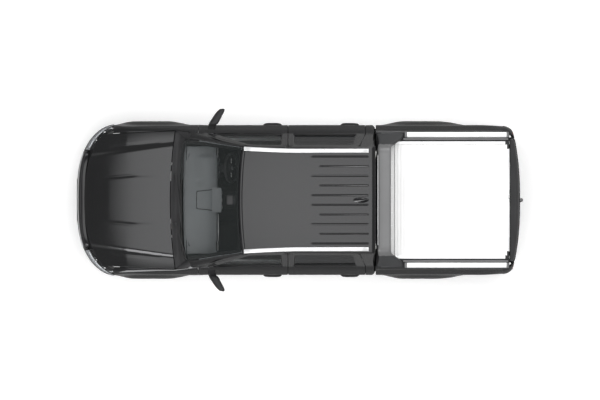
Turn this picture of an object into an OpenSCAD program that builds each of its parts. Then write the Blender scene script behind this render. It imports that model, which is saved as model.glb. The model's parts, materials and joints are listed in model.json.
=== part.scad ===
// Double-cab pickup truck, right-hand drive, with a sports bar and a roll-up cover over the load bed.
// X runs rearward, Y to the vehicle's right and Z up; the origin is on the ground, under the middle of
// the vehicle's length. Inside the modules, s is the distance behind the foremost point of the nose.

/* [Overall] */
// Nose to front axle
front_overhang = 900; // [860:1:1080]
// Front axle to rear axle
wheelbase = 3270; // [3200:1:3930]
// Rear axle to the outside of the tailgate
rear_overhang = 1205; // [1150:1:1450]
// Width over the doors
door_width = 1832; // [1760:1:2200]
// How far each wheel-arch flare stands out from the doors
flare_out = 44; // [20:1:60]
// Top of the roof's crown above the ground
roof_top = 1842; // [1800:1:2200]
// Underside of the doors and sills above the ground
sill_z = 396; // [360:1:420]

/* [Wheels] */
// Outer radius of a tyre
tyre_r = 394; // [370:1:410]
// Width of a tyre
tyre_w = 255; // [215:1:275]
// Radius of the rim's bead seat
rim_r = 254; // [228:1:280]
// Distance between the middles of two wheels on one axle
track = 1620; // [1560:1:1640]
// Gap between the tyre's tread and the wheel arch
arch_gap = 61; // [40:1:80]

/* [Cab] */
// Front axle to the front door's leading edge
door_start = 577; // [560:1:640]
// Length of a front door
front_door_l = 1083; // [1000:1:1300]
// Length of a rear door
rear_door_l = 933; // [860:1:1120]
// Thickness of a door
door_t = 60; // [45:1:70]
// Gap between neighbouring outer panels
shut_gap = 7; // [5:0.5:8]
// Length of the corner panel behind the rear door
corner_l = 118; // [110:1:160]
// Thickness of the door glass
glass_t = 5; // [4:0.5:6]

/* [Load bed] */
// Top of the bed floor above the ground
bed_floor_z = 850; // [820:1:880]
// Top of the bed sides above the ground
bed_top_z = 1335; // [1310:1:1360]
// Width of the bed between its side walls
bed_in_w = 1440; // [1400:1:1480]
// Gap between the cab and the bed
bed_gap = 8; // [6:1:30]
// Length of one slat of the roll cover
slat_pitch = 39.5; // [30:0.5:60]

/* [Hitch] */
// Diameter of the tow ball
ball_d = 50; // [48:0.5:52]
// Height of the tow ball's middle above the ground
ball_z = 440; // [400:1:480]

/* [Hidden] */
$fn = 48;

paint = "#2b2c2f";
trim = "#1c1d1f";
metal = "#b9bbbe";
steel = "#4a4c50";
cloth = "#3b3c40";

// Stations along the vehicle
front_s = front_overhang;
door1_s = front_s + door_start;
door2_s = door1_s + front_door_l + shut_gap;
corner_s = door2_s + rear_door_l + shut_gap;
cab_end = corner_s + corner_l;
bed_s = cab_end + bed_gap;
arch_r = tyre_r + arch_gap;
// The rear axle also stays behind a longer cab
rear_s = max(front_s + wheelbase, bed_s + arch_r + 80);
tail = rear_s + rear_overhang;
ball_past = 30;
nose_x = -(tail + ball_past + ball_d / 2) / 2;
bonnet_s0 = front_s - 815;
bonnet_s1 = front_s + 290;
roof_s0 = front_s + 1106;
hub_z = tyre_r;
wheel_y = track / 2;

// The skin of the body
half_w = door_width / 2;
nose_l = 420;
waist_z = 850;
belt_z = 1250;
belt_in = 108;
// The side windows lean in by roof_in from the belt to the doors' upper edge
roof_in = 161.3;
lean = roof_in / (roof_top - 65 - belt_z);
skin_t = 18;
tail_in = 49;
gate_y = 742;

function clamp01(t) = min(1, max(0, t));
function ease(t) = let (u = clamp01(t)) u * u * (3 - 2 * u);
function mix(a, b, t) = a + (b - a) * t;
function bend(a, b, c, t) = (1 - t) * (1 - t) * a + 2 * t * (1 - t) * b + t * t * c;

// How far the front leans back, and how far the sides pull in, at a height
function nose_rake(z) = 110 * pow(max(0, z - 780) / 300, 2) + 60 * pow(max(0, 560 - z) / 230, 2);
function side_in(z) = 66 * pow(max(0, waist_z - z) / 490, 2.2)
    + belt_in * pow(max(0, min(z, belt_z) - waist_z) / (belt_z - waist_z), 3) + lean * max(0, z - belt_z);
// Half width of the body in plan, without its flares
function plan_y(s) = half_w * pow(1 - pow(clamp01(1 - s / nose_l), 1.6), 1 / 3)
    - 32 * pow(max(0, s - tail + 500) / 380, 2);
// The flare follows the arch: full at its lip, gone at flare_r, and fading out along the body
flare_r = 650;
function flare_at(s, z, axle, ahead, behind) = let (d = s - axle, reach = d < 0 ? ahead : behind)
    flare_out * ease((reach - abs(d)) / (reach - 200)) * ease((flare_r - norm([d, z - hub_z])) / 140);
function flare(s, z) = flare_at(s, z, front_s, 500, 560) + flare_at(s, z, rear_s, 525, 720);
function side_y(s, z) = max(0, plan_y(s - nose_rake(z)) - side_in(z)) + flare(s, z);
// Station of the nose at a distance from the centre line and a height
function nose_s(y, z) = nose_rake(z)
    + nose_l * (1 - pow(1 - pow(min(1, (abs(y) + side_in(z)) / half_w), 3), 1 / 1.6));
function tail_s(y) = tail - 75 * pow(abs(y) / 790, 2.4);

// The roof: height of its crown line, and of the top edge of the doors
function roof_line(s) = let (m = (roof_s0 + cab_end) / 2 - 65)
    roof_top - (s < m ? 45 * pow((m - s) / 780, 2) : 22 * pow((s - m) / 860, 2));
function door_top(s) = roof_line(s) - 72;
roof_y = half_w - 279;

// The bonnet: half width, front and rear edges, and its crowned top with a raised middle
function bonnet_y(s) = half_w - 116 + 38 * clamp01((s - bonnet_s0 - 219) / (bonnet_s1 - bonnet_s0 - 219));
function bonnet_front(v) = bonnet_s0 + 219 * pow(abs(v), 2.4);
function bonnet_rear(v) = bonnet_s1 - 60 * (1 - v * v);
function bonnet_line(s) = 1215 - 150 * pow(max(0, bonnet_s1 - s) / 1105, 2.2)
    - 40 * pow(max(0, bonnet_s0 + 305 - s) / 305, 2);
function bonnet_z(s, y) = let (
        e = bonnet_y(s), p = mix(522, 650, clamp01((s - bonnet_s0 - 97) / 970)), a = abs(y),
        drop = 45 + 30 * clamp01((bonnet_s0 + 515 - s) / 300))
    bonnet_line(s) - drop * (0.12 * pow(min(a, p) / p, 2) + 0.45 * ease((a - p) / 55)
        + 0.43 * pow(max(0, a - p) / (e - p), 2));

// A closed solid between two sheets of points, given as rows of equal length; with wrap, each row is
// a closed loop. Faces are turned outward from the way the first sheet lies over the second.
module panel(outer, inner, wrap = false) {
    rows = len(outer);
    cols = len(outer[0]);
    r = floor((rows - 1) / 2);
    c = floor((cols - 1) / 2);
    over = cross(outer[r + 1][c] - outer[r][c], outer[r][c + 1] - outer[r][c])
        * (outer[r][c] - inner[r][c]);
    n = rows * cols;
    m = rows - 1;
    last = wrap ? cols - 1 : cols - 2;
    function id(i, j) = i * cols + j % cols;
    skins = [for (i = [0:rows - 2], j = [0:last]) each [
        [id(i, j), id(i, j + 1), id(i + 1, j + 1)],
        [id(i, j), id(i + 1, j + 1), id(i + 1, j)],
        [n + id(i, j), n + id(i + 1, j + 1), n + id(i, j + 1)],
        [n + id(i, j), n + id(i + 1, j), n + id(i + 1, j + 1)]]];
    rims = [for (j = [0:last]) each [
        [id(0, j + 1), id(0, j), n + id(0, j)],
        [id(0, j + 1), n + id(0, j), n + id(0, j + 1)],
        [id(m, j), id(m, j + 1), n + id(m, j + 1)],
        [id(m, j), n + id(m, j + 1), n + id(m, j)]]];
    ends = wrap ? [] : [for (i = [0:rows - 2]) each [
        [id(i, 0), id(i + 1, 0), n + id(i + 1, 0)],
        [id(i, 0), n + id(i + 1, 0), n + id(i, 0)],
        [id(i + 1, cols - 1), id(i, cols - 1), n + id(i, cols - 1)],
        [id(i + 1, cols - 1), n + id(i, cols - 1), n + id(i + 1, cols - 1)]]];
    all = concat(skins, rims, ends);
    polyhedron(points = concat([for (row = outer) each row], [for (row = inner) each row]),
        faces = over > 0 ? all : [for (f = all) [f[2], f[1], f[0]]]);
}
function shifted(sheet, by) = [for (row = sheet) [for (p = row) p + by]];

module at_nose() { translate([nose_x, 0, 0]) children(); }
module both_sides() { children(); mirror([0, 1, 0]) children(); }
module box(lo, hi) { translate(lo) cube(hi - lo); }
// A round rod between two points
module rod(p, q, r) {
    d = q - p;
    translate(p) rotate([0, acos(d[2] / norm(d)), atan2(d[1], d[0])]) cylinder(r = r, h = norm(d));
}
module tube_y(s, z, y0, y1, r) { translate([s, y0, z]) rotate([-90, 0, 0]) cylinder(r = r, h = y1 - y0); }

// ---------------------------------------------------------------- chassis

rail_y0 = 350;
rail_y1 = 425;
rail_z0 = 425;
rail_z1 = 560;
kick_z = 170;

module rail_run(s0, z0, s1, z1) {
    hull() { for (e = [[s0, z0], [s1, z1]])
        translate([e[0], rail_y0, e[1]]) cube([1, rail_y1 - rail_y0, rail_z1 - rail_z0]); }
}
module ladder_frame() {
    color(steel) at_nose() union() {
        both_sides() {
            rail_run(250, rail_z0 + 40, front_s - 330, rail_z0 + 40);
            rail_run(front_s - 330, rail_z0 + 40, front_s + 500, rail_z0);
            rail_run(front_s + 500, rail_z0, cab_end + 10, rail_z0);
            rail_run(cab_end + 10, rail_z0, rear_s - 150, rail_z0 + kick_z);
            rail_run(rear_s - 150, rail_z0 + kick_z, rear_s + 380, rail_z0 + kick_z);
            rail_run(rear_s + 380, rail_z0 + kick_z, tail - 190, rail_z0 + 110);
        }
        // Cross members: two of them pass under the gearbox and the propeller shaft
        for (c = [[290, rail_z0 + 50, rail_z1 + 20], [front_s + 700, rail_z0 - 28, rail_z0 + 4],
                [front_s + 1350, rail_z0 - 28, rail_z0 + 2],
                [rear_s - 110, rail_z0 + kick_z + 10, rail_z1 + kick_z - 10],
                [rear_s + 460, rail_z0 + kick_z + 5, rail_z1 + kick_z - 20],
                [tail - 240, rail_z0 + 120, rail_z1 + 95]])
            box([c[0], -rail_y0 - 5, c[1]], [c[0] + 70, rail_y0 + 5, c[2]]);
    }
}

engine_z = 1030;
module powertrain() {
    color("#5d5f63") at_nose() union() {
        box([front_s - 300, -230, 470], [front_s + 340, 230, engine_z]);
        box([front_s + 340, -120, 440], [front_s + 1000, 120, 566]);
        tube_x(front_s + 1000, rear_s - 150, 0, 480, 405, 38);
        // Exhaust: down pipe, silencer and tail pipe on the left
        tube_x(front_s + 1000, front_s + 1650, -235, 470, 470, 30);
        box([front_s + 940, -262, 440], [front_s + 1000, -100, 500]);
        box([front_s + 1650, -300, 420], [front_s + 2150, -130, 540]);
        tube_x(front_s + 2150, rear_s - 250, -235, 480, 480, 30);
    }
}
// A round pipe along the vehicle from s0 to s1 at y, its middle going from height z0 to z1
module tube_x(s0, s1, y, z0, z1, r) {
    run = norm([s1 - s0, z1 - z0]);
    translate([s0, y, z0]) rotate([0, 90 + atan2(z0 - z1, s1 - s0), 0]) translate([0, 0, -4])
        cylinder(r = r, h = run + 8);
}

king_y = wheel_y - 50;
king_r = 26;
knuckle_half = 150;
module front_suspension() {
    color(steel) at_nose() union() {
        box([front_s - 160, -rail_y0 + 2, 285], [front_s + 160, rail_y0 - 2, 345]);
        both_sides() {
            // Lower and upper wishbones with their ball-joint eyes
            arm(hub_z - knuckle_half - 27, 330, 300, 25, 130);
            arm(hub_z + knuckle_half + 2, rail_y1 + 6, hub_z + knuckle_half + 12, 20, 90);
            // Strut from the lower wishbone up to the arch liner's tower
            tube_y(front_s, 285, 495, 565, 16);
            rod([front_s - 45, 530, 283], [front_s + 45, 530, 283], 16);
            translate([front_s, 530, 280]) cylinder(r = 40, h = hub_z + arch_r - 280);
            // Link from the frame to the subframe
            box([front_s - 60, 300, 330], [front_s + 60, 345, rail_z0 + 60]);
        }
        // Steering rack and its tie rods, ahead of the axle
        tube_y(front_s - 190, 370, -rail_y0 - 60, rail_y0 + 60, 26);
        box([front_s - 200, -120, 340], [front_s - 150, 120, 375]);
    }
}
// One wishbone: an eye on the steering axis and two legs to the frame at inner_y and inner_z
module arm(eye_z, inner_y, inner_z, t, spread) {
    translate([front_s, king_y, eye_z]) cylinder(r = king_r, h = t);
    for (d = [-spread, spread])
        rod([front_s, king_y - 12, eye_z + t / 2], [front_s + d, inner_y + 10, inner_z + t / 2], 7.5);
}

spring_y = 520;
spring_half = 600;
function spring_z(k) = hub_z - 58 + 135 * k * k;
module rear_axle() {
    color(steel) at_nose() union() {
        tube_y(rear_s, hub_z, -wheel_y + 22, wheel_y - 22, 42);
        both_sides() tube_y(rear_s, hub_z, wheel_y - 180, wheel_y - 150, 150);
        translate([rear_s, 0, hub_z]) sphere(r = 145);
        both_sides() {
            translate([rear_s, spring_y + 30, 0]) rotate([90, 0, 0]) linear_extrude(60) polygon(concat(
                [for (i = [-8:8]) [i * spring_half / 8, spring_z(i / 8)]],
                [for (i = [8:-1:-8]) [i * spring_half / 8, spring_z(i / 8) + 34 - 14 * abs(i) / 8]]));
            box([rear_s - 50, spring_y - 34, hub_z - 62], [rear_s + 50, spring_y + 34, hub_z + 50]);
            // Hangers from the frame rails to the ends of each spring
            for (h = [[rear_s - spring_half, 555], [rear_s + spring_half, 640]])
                box([h[0] - 20, rail_y1 + 1, 470], [h[0] + 20, spring_y + 28, h[1]]);
        }
    }
}

module fuel_tank() {
    color(trim) at_nose() hull() {
        box([front_s + 1250, rail_y1 + 30, 400], [front_s + 2250, post_y - 100, 545]);
        box([front_s + 1280, rail_y1 + 50, 360], [front_s + 2220, post_y - 120, 380]);
    }
}

spare_r = min(tyre_r - 20, (rear_overhang - 350) / 2);
module spare_wheel() {
    color(trim) at_nose() translate([tail - 180 - spare_r, 0, 300]) difference() {
        cylinder(r = spare_r, h = 190);
        translate([0, 0, -1]) cylinder(r = rim_r - 30, h = 100);
    }
}

// ---------------------------------------------------------------- body

// Outline of the cab's cross-section in (y, z), pulled in by a thickness
function cab_half(s, t) = concat(
    [for (z = [sill_z : (belt_z - sill_z) / 9 : belt_z + 1]) [side_y(s, z) - t, z]],
    [[side_y(s, door_top(s)) - t, door_top(s)], [roof_y - t, roof_line(s) - 34 - t * 0.5],
     [roof_y * 0.6 - t, roof_line(s) - 14 - t * 0.9], [0, roof_line(s) - t]]);
module cab_hoop(s0, s1, t0, t1) {
    h = cab_half((s0 + s1) / 2, t0);
    g = cab_half((s0 + s1) / 2, t1);
    translate([s0, 0, 0]) rotate([90, 0, 90]) linear_extrude(s1 - s0) difference() {
        polygon(concat(h, [for (i = [len(h) - 2 : -1 : 0]) [-h[i][0], h[i][1]]]));
        polygon(concat([[g[0][0], 0]], g, [for (i = [len(g) - 2 : -1 : 0]) [-g[i][0], g[i][1]]],
            [[-g[0][0], 0]]));
    }
}

floor_z = 600;
post_in = door_t + 14;
rear_win_y = 560;
module rear_wall() {
    h = cab_half(cab_end - 20, 10);
    difference() {
        translate([cab_end - 45, 0, 0]) rotate([90, 0, 90]) linear_extrude(40)
            polygon(concat([for (p = h) if (p[1] > floor_z - 30) p],
                [for (i = [len(h) - 2 : -1 : 0]) if (h[i][1] > floor_z - 30) [-h[i][0], h[i][1]]]));
        box([cab_end - 60, -rear_win_y, belt_z + 70], [cab_end + 10, rear_win_y, roof_top - 140]);
    }
}

roof_cols = 14;
// Height of the roof's skin over its crowned part
function roof_at(s, y) = max(roof_line(s), roof_line(s - 60)) - 30 * pow(y / roof_y, 2);
function roof_point(s, v, t) = let (a = abs(v), e = side_y(s, door_top(s) + shut_gap))
    a < 0.86 ? [s, v / 0.86 * roof_y, roof_line(s) - 30 * pow(a / 0.86, 2) - t]
    : let (k = (a - 0.86) / 0.14, g = v < 0 ? -1 : 1)
      [s, g * (mix(roof_y, e, k) - t * ease(k)),
       mix(roof_line(s) - 30, door_top(s) + shut_gap, k) - t * (1 - ease(k))];
module roof_panel() {
    vs = [for (j = [-roof_cols : roof_cols]) let (a = j / roof_cols) a];
    stations = [for (i = [0:10]) mix(roof_s0, corner_s + 20, i / 10)];
    panel([for (s = stations) [for (v = vs) roof_point(s, v, 0)]],
        [for (s = stations) [for (v = vs) roof_point(s, v, 36)]]);
}

// Windscreen sheet: u from its base to its top edge, v across; t moves it inward
ws_base_s = front_s + 340;
ws_top_s = front_s + 1070;
function screen_point(u, v, t) = let (
        base = [ws_base_s + 20 * v * v + 65 * pow(abs(v), 12), (half_w - 163) * v, 1207 + 8 * v * v],
        top = [ws_top_s + 36 * v * v, (roof_y + 3) * v, roof_line(ws_top_s) - 27 * v * v],
        bow = 72 * u * (1 - u) - t, n = [-0.63, 0, 0.777])
    mix(base, top, u) + bow * n;
module windscreen() {
    us = [for (i = [0:8]) 0.012 + 0.976 * i / 8];
    vs = [for (j = [-8:8]) 0.985 * j / 8];
    panel([for (u = us) [for (v = vs) screen_point(u, v, 0)]],
        [for (u = us) [for (v = vs) screen_point(u, v, 6)]]);
}

// The scuttle closes the gap between the bonnet and the windscreen
module scuttle() {
    vs = [for (j = [-10:10]) j / 10];
    function edge(v, k, t) = let (b = screen_point(0, v, 0))
        k == 0 ? [bonnet_rear(v) + shut_gap, v * (bonnet_y(bonnet_s1) - 6),
            min(1194, bonnet_z(bonnet_s1, v * bonnet_y(bonnet_s1)) - 6) - t]
        : [b[0] + 24, b[1] * 1.015, b[2] - 12 - t];
    panel([for (k = [0, 1]) [for (v = vs) edge(v, k, 0)]],
        [for (k = [0, 1]) [for (v = vs) edge(v, k, 25)]]);
}

post_y = half_w - belt_in - post_in;
module cab_shell() {
    color(paint) at_nose() union() {
        roof_panel();
        scuttle();
        rear_wall();
        cab_hoop(corner_s, cab_end, 0, 45);
        cab_hoop(door2_s - 45, door2_s + 38, post_in, post_in + 50);
        // Header over the windscreen and rear edge of the roof
        hull() { both_sides() {
            box([ws_top_s + 42, 0, roof_line(ws_top_s) - 60],
                [roof_s0 + 60, roof_y - 77, roof_line(ws_top_s) - 40]);
        } }
        both_sides() {
            // Windscreen pillar, hinge pillar, sill and cant rail
            hull() {
                translate(screen_point(0.02, 1, 0) + [10, -6, -40]) cube([50, 22, 30]);
                translate(screen_point(1, 1, 0) + [20, -62, -30]) cube([40, 20, 20]);
            }
            hull() {
                box([door1_s - 20, post_y - 60, sill_z + 10], [door1_s + 60, post_y - 5, sill_z + 20]);
                box([door1_s - 20, post_y - 60, belt_z - 50], [door1_s + 60, post_y - 5, belt_z - 40]);
            }
            hull() {
                box([door1_s - 20, post_y - 60, belt_z - 60], [door1_s + 60, post_y - 5, belt_z - 40]);
                translate(screen_point(0.02, 1, 0) + [10, -20, -40]) cube([60, 10, 30]);
            }
            hull() {
                box([door1_s - 20, post_y - 90, sill_z + 10], [cab_end - 10, post_y + 15, sill_z + 40]);
                box([door1_s - 20, post_y - 90, floor_z - 40], [cab_end - 10, post_y + 15, floor_z - 10]);
            }
            hull() { for (e = [[roof_s0 + 40, roof_line(roof_s0)], [cab_end - 60, roof_line(cab_end)]])
                box([e[0], roof_y - 102, e[1] - 70], [e[0] + 20, roof_y - 77, e[1] - 40]);
            }
        }
        // Floor, footwell and bulkhead
        hull() { box([door1_s - 70, -post_y + 10, floor_z - 26], [cab_end - 20, post_y - 10, floor_z]); }
        hull() {
            box([front_s + 395, -740, floor_z + 170], [front_s + 425, 740, floor_z + 180]);
            box([front_s + 395, -740, 1140], [front_s + 425, 740, 1175]);
        }
        hull() {
            box([front_s + 395, -740, floor_z + 165], [front_s + 420, 740, floor_z + 175]);
            box([door1_s - 70, -740, floor_z - 26], [door1_s - 40, 740, floor_z - 16]);
        }
        // Fin aerial at the back of the roof
        hull() {
            box([cab_end - 275, -32, roof_line(cab_end) - 10],
                [cab_end - 105, 32, roof_line(cab_end) + 12]);
            box([cab_end - 150, -5, roof_line(cab_end)], [cab_end - 112, 5, roof_top + 40]);
        }
    }
}

module cab_glass() {
    color("#20262a", 0.6) at_nose() {
        windscreen();
        box([cab_end - 30, -rear_win_y + 4, belt_z + 74], [cab_end - 25, rear_win_y - 4, roof_top - 144]);
    }
}

// ---------------------------------------------------------------- nose

// The bay's inner sides, the struts' towers and the radiator with its support
module engine_bay() {
    color(trim) at_nose() union() {
        both_sides() {
            box([front_s - 440, 462, hub_z + 12], [front_s + 440, 474, hub_z + arch_r * 0.2]);
            hull() { box([front_s - 430, 462, hub_z + 330], [front_s + 380, 474, hub_z + 600]); }
            hull() { box([front_s - 430, 462, hub_z + 588], [front_s + 380, 720, hub_z + 600]); }
        }
        box([300, -390, 620], [360, 390, 980]);
        box([300, -720, 985], [350, 720, 1000]);
    }
}

lamp_end = front_s - arch_r - 5;
lamp_y = 525;
lamp_z0 = 835;
bumper_z0 = 335;
bumper_z1 = lamp_z0 - shut_gap;
// A stretch of the nose's skin between two distances from the centre line or round to station end_s
function nose_ring(z, y0, end_s, n, t) = let (y1 = side_y(end_s, z))
    [for (i = [0:n]) let (k = i / n, y = mix(y0, y1, sin(90 * k)),
            s = i == n ? end_s : min(end_s, nose_s(y, z)))
        [s + t * (1 - k * k), y - t * k * k, z]];
module nose_panel(z0, z1, y0, end_s, n, rows, t) {
    zs = [for (i = [0:rows]) mix(z0, z1, i / rows)];
    panel([for (z = zs) nose_ring(z, y0, end_s, n, 0)], [for (z = zs) nose_ring(z, y0, end_s, n, t)]);
}
module front_bumper() {
    color(paint) at_nose() both_sides() {
        nose_panel(bumper_z0, 640, 0, lamp_end, 14, 6, 70);
        nose_panel(640, bumper_z1, 575, lamp_end, 10, 4, 60);
    }
}
module grille() {
    zs = [for (i = [0:6]) mix(648, bonnet_line(bonnet_s0) - 34, i / 6)];
    ys = [for (j = [-8:8]) 517 * j / 8];
    color(trim) at_nose()
        panel([for (z = zs) [for (y = ys) [nose_s(y, z) + 6, y, z]]],
            [for (z = zs) [for (y = ys) [nose_s(y, z) + 56, y, z]]]);
}
lamp_z1 = 1003;
module headlamps() {
    color("#9aa4ad") at_nose() both_sides() nose_panel(lamp_z0, lamp_z1, lamp_y, lamp_end, 10, 4, 80);
}

function arch_z(s, axle) = let (d = abs(s - axle))
    d < arch_r ? max(sill_z, hub_z + sqrt(arch_r * arch_r - d * d)) : sill_z;
function arch_stations(axle, n) = [for (i = [0:n]) axle - arch_r * cos(180 * i / n)];

// The wing rises from the arch up the side, then rolls over to the bonnet's edge or the pillar's foot
function wing_top(s) = s < bonnet_s1
    ? [bonnet_y(s) + shut_gap, bonnet_z(s, bonnet_y(s))]
    : let (k = (s - bonnet_s1) / (door1_s - bonnet_s1), z = mix(bonnet_z(bonnet_s1, bonnet_y(bonnet_s1)),
          belt_z - 14, k)) [mix(bonnet_y(bonnet_s1) + shut_gap, side_y(s, belt_z - 14) - 2, k), z];
function wing_column(s, t) = let (
        top = wing_top(s), z0 = arch_z(s, front_s), z1 = top[1] - 42, y1 = side_y(s, z1))
    concat([for (i = [0:7]) let (z = mix(z0, z1, i / 7)) [s, side_y(s, z) - t, z]],
        [for (i = [1:4]) let (k = i / 4)
            [s, bend(y1, max(top[0] + 4, side_y(s, top[1] - 4)), top[0], k) - t * (1 - k),
             bend(z1, top[1] - 3, top[1], k) - t * k]]);
module front_wings() {
    stations = concat(arch_stations(front_s, 18), [for (i = [1:4]) mix(front_s + arch_r,
        door1_s - shut_gap, i / 4)]);
    color(paint) at_nose() both_sides()
        panel([for (s = stations) wing_column(s, 0)], [for (s = stations) wing_column(s, skin_t)]);
}

module bonnet() {
    rows = 14;
    vs = [for (j = [-12:12]) j / 12];
    function point(u, v, t) = let (s = mix(bonnet_front(v), bonnet_rear(v), u), y = v * bonnet_y(s))
        [s, y, bonnet_z(s, y) - t];
    us = [for (i = [0:rows]) i / rows];
    color(paint) at_nose()
        panel([for (u = us) [for (v = vs) point(u, v, 0)]], [for (u = us) [for (v = vs) point(u, v, 22)]]);
}

// ---------------------------------------------------------------- doors

// Corner points of a door's outline and of its window, in (s, z), in the same order: front bottom,
// front at the belt, front top, rear top, rear at the belt, rear bottom
function front_door_line() = [[door1_s, sill_z], [door1_s, belt_z - 14],
    [roof_s0 + 62, door_top(roof_s0 + 62)], [door1_s + front_door_l, door_top(door1_s + front_door_l)],
    [door1_s + front_door_l, belt_z], [door1_s + front_door_l, sill_z]];
function front_window_line() = [[door1_s + 190, belt_z + 12], [door1_s + 165, belt_z + 30],
    [roof_s0 + 85, door_top(roof_s0 + 85) - 48],
    [door1_s + front_door_l - 75, door_top(door1_s + front_door_l) - 50],
    [door1_s + front_door_l - 70, belt_z + 40], [door1_s + front_door_l - 70, belt_z + 26]];
function rear_door_line() = let (e = door2_s + rear_door_l) [[door2_s, sill_z], [door2_s, belt_z],
    [door2_s, door_top(door2_s)], [e - 70, door_top(e - 70)], [e, belt_z + 20], [e, sill_z]];
function rear_window_line() = let (e = door2_s + rear_door_l) [[door2_s + 70, belt_z + 28],
    [door2_s + 70, belt_z + 44], [door2_s + 75, door_top(door2_s) - 50],
    [e - 150, door_top(e - 150) - 50], [e - 105, belt_z + 70], [e - 115, belt_z + 40]];

// Points all round a loop of corners, n to a side
function round_loop(c, n) = [for (i = [0:len(c) - 1], k = [0:n - 1]) mix(c[i], c[(i + 1) % len(c)], k / n)];
function on_side(p, t) = [p[0], side_y(p[0], p[1]) - t, p[1]];
// A door's inner face is shorter than its outer one at the rear edge, so that the edge swings out past
// the pillar or door behind it
door_draft = 0.32 * door_t;
module door(line, window) {
    n = 6;
    rows = 6;
    end_s = max([for (p = line) p[0]]);
    function inner(p) = on_side(p, door_t) - [door_draft * clamp01((p[0] - end_s + 70) / 70), 0, 0];
    a = round_loop(window, n);
    b = round_loop(line, n);
    sheet = [for (i = [0:rows]) [for (j = [0:len(a) - 1]) mix(a[j], b[j], i / rows)]];
    panel([for (row = sheet) [for (p = row) on_side(p, 0)]],
        [for (row = sheet) [for (p = row) inner(p)]], wrap = true);
}
// Door glass: a pane a little smaller than its window, set back into the door
module pane(window) {
    mid = (window[1] + window[2] + window[3] + window[4]) / 4;
    c = [for (p = window) p + (mid - p) * 2 / norm(mid - p)];
    low = [c[0], c[5]];
    rows = 6;
    cols = 8;
    function at(i, j) = let (k = i / rows,
            left = k < 0.15 ? mix(c[0], c[1], k / 0.15) : mix(c[1], c[2], (k - 0.15) / 0.85),
            right = k < 0.15 ? mix(c[5], c[4], k / 0.15) : mix(c[4], c[3], (k - 0.15) / 0.85))
        mix(left, right, j / cols);
    set_in = 14;
    panel([for (i = [0:rows]) [for (j = [0:cols]) on_side(at(i, j), set_in)]],
        [for (i = [0:rows]) [for (j = [0:cols]) on_side(at(i, j), set_in + glass_t)]]);
}
module door_front_right() { color(paint) at_nose() door(front_door_line(), front_window_line()); }
module door_front_left() { mirror([0, 1, 0]) door_front_right(); }
module door_rear_right() { color(paint) at_nose() door(rear_door_line(), rear_window_line()); }
module door_rear_left() { mirror([0, 1, 0]) door_rear_right(); }
module glass_front_right() { color("#20262a", 0.6) at_nose() pane(front_window_line()); }
module glass_front_left() { mirror([0, 1, 0]) glass_front_right(); }
module glass_rear_right() { color("#20262a", 0.6) at_nose() pane(rear_window_line()); }
module glass_rear_left() { mirror([0, 1, 0]) glass_rear_right(); }

mirror_out = 188;
module mirror_right() {
    color(trim) at_nose() {
        hull() {
            translate([door1_s + 140, half_w - 30, belt_z + 40]) sphere(r = 28, $fn = 16);
            translate([door1_s + 125, half_w + mirror_out - 34, belt_z + 45]) sphere(r = 34, $fn = 16);
            translate([door1_s + 140, half_w - 10, belt_z + 185]) sphere(r = 28, $fn = 16);
            translate([door1_s + 135, half_w + mirror_out - 48, belt_z + 165]) sphere(r = 30, $fn = 16);
            translate([door1_s + 170, half_w + 70, belt_z + 110]) sphere(r = 40, $fn = 16);
        }
        hull() {
            translate([door1_s + 120, half_w - belt_in + 33, belt_z - 40]) cube([90, 5, 30]);
            translate([door1_s + 120, half_w - 20, belt_z + 20]) cube([40, 30, 30]);
        }
    }
}
module mirror_left() { mirror([0, 1, 0]) mirror_right(); }

// ---------------------------------------------------------------- load bed

lamp2_z0 = 800;
lamp2_z1 = 1262;
corner_l0 = tail - 200;
// The rear corner in plan at a height: k from the side round to the tailgate's gap
function corner_point(k, z, t) = let (y0 = side_y(corner_l0, z), y1 = gate_y + shut_gap)
    [bend(corner_l0, tail_s(790) + 12, tail_s(y1), k) - t * sin(90 * k),
     bend(y0, y0 - 12, y1, k) - t * cos(90 * k), z];
module corner_piece(z0, z1, t) {
    ks = [for (i = [0:8]) i / 8];
    zs = [for (i = [0:4]) mix(z0, z1, i / 4)];
    // The inner face keeps out of the tailgate's gap
    function kept(p) = [p[0], max(p[1], gate_y + shut_gap), p[2]];
    panel([for (z = zs) [for (k = ks) corner_point(k, z, 0)]],
        [for (z = zs) [for (k = ks) kept(corner_point(k, z, t))]]);
}
wall_y = bed_in_w / 2;
side_top_y = half_w - 78;
module bed_side() {
    stations = concat([bed_s, rear_s - arch_r - 1], arch_stations(rear_s, 18),
        [for (i = [1:4]) mix(rear_s + arch_r, corner_l0 - 1, i / 4)]);
    function column(s, t) = let (z0 = max(arch_z(s, rear_s), mix(sill_z, 500,
            clamp01((s - rear_s - arch_r) / (corner_l0 - rear_s - arch_r)))), z1 = bed_top_z - 30)
        concat([for (i = [0:8]) let (z = mix(z0, z1, i / 8)) [s, max(side_y(s, min(z, belt_z)),
                side_top_y) - t, z]],
            [for (i = [1:3]) let (k = i / 3) [s, side_top_y - 14 * k * k - t * (1 - k),
                mix(z1, bed_top_z, sin(90 * k)) - t * k]]);
    panel([for (s = stations) column(s, 0)], [for (s = stations) column(s, skin_t)]);
}
module bed_sides() {
    color(paint) at_nose() both_sides() {
        bed_side();
        corner_piece(lamp2_z1 + 3, bed_top_z, 42);
        corner_piece(738, lamp2_z0 - 3, 42);
        // Post that ties the side to the rear corner
        box([corner_l0 - 30, wall_y + 2, 745], [tail - 150, side_top_y + 10, 790]);
    }
}
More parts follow.
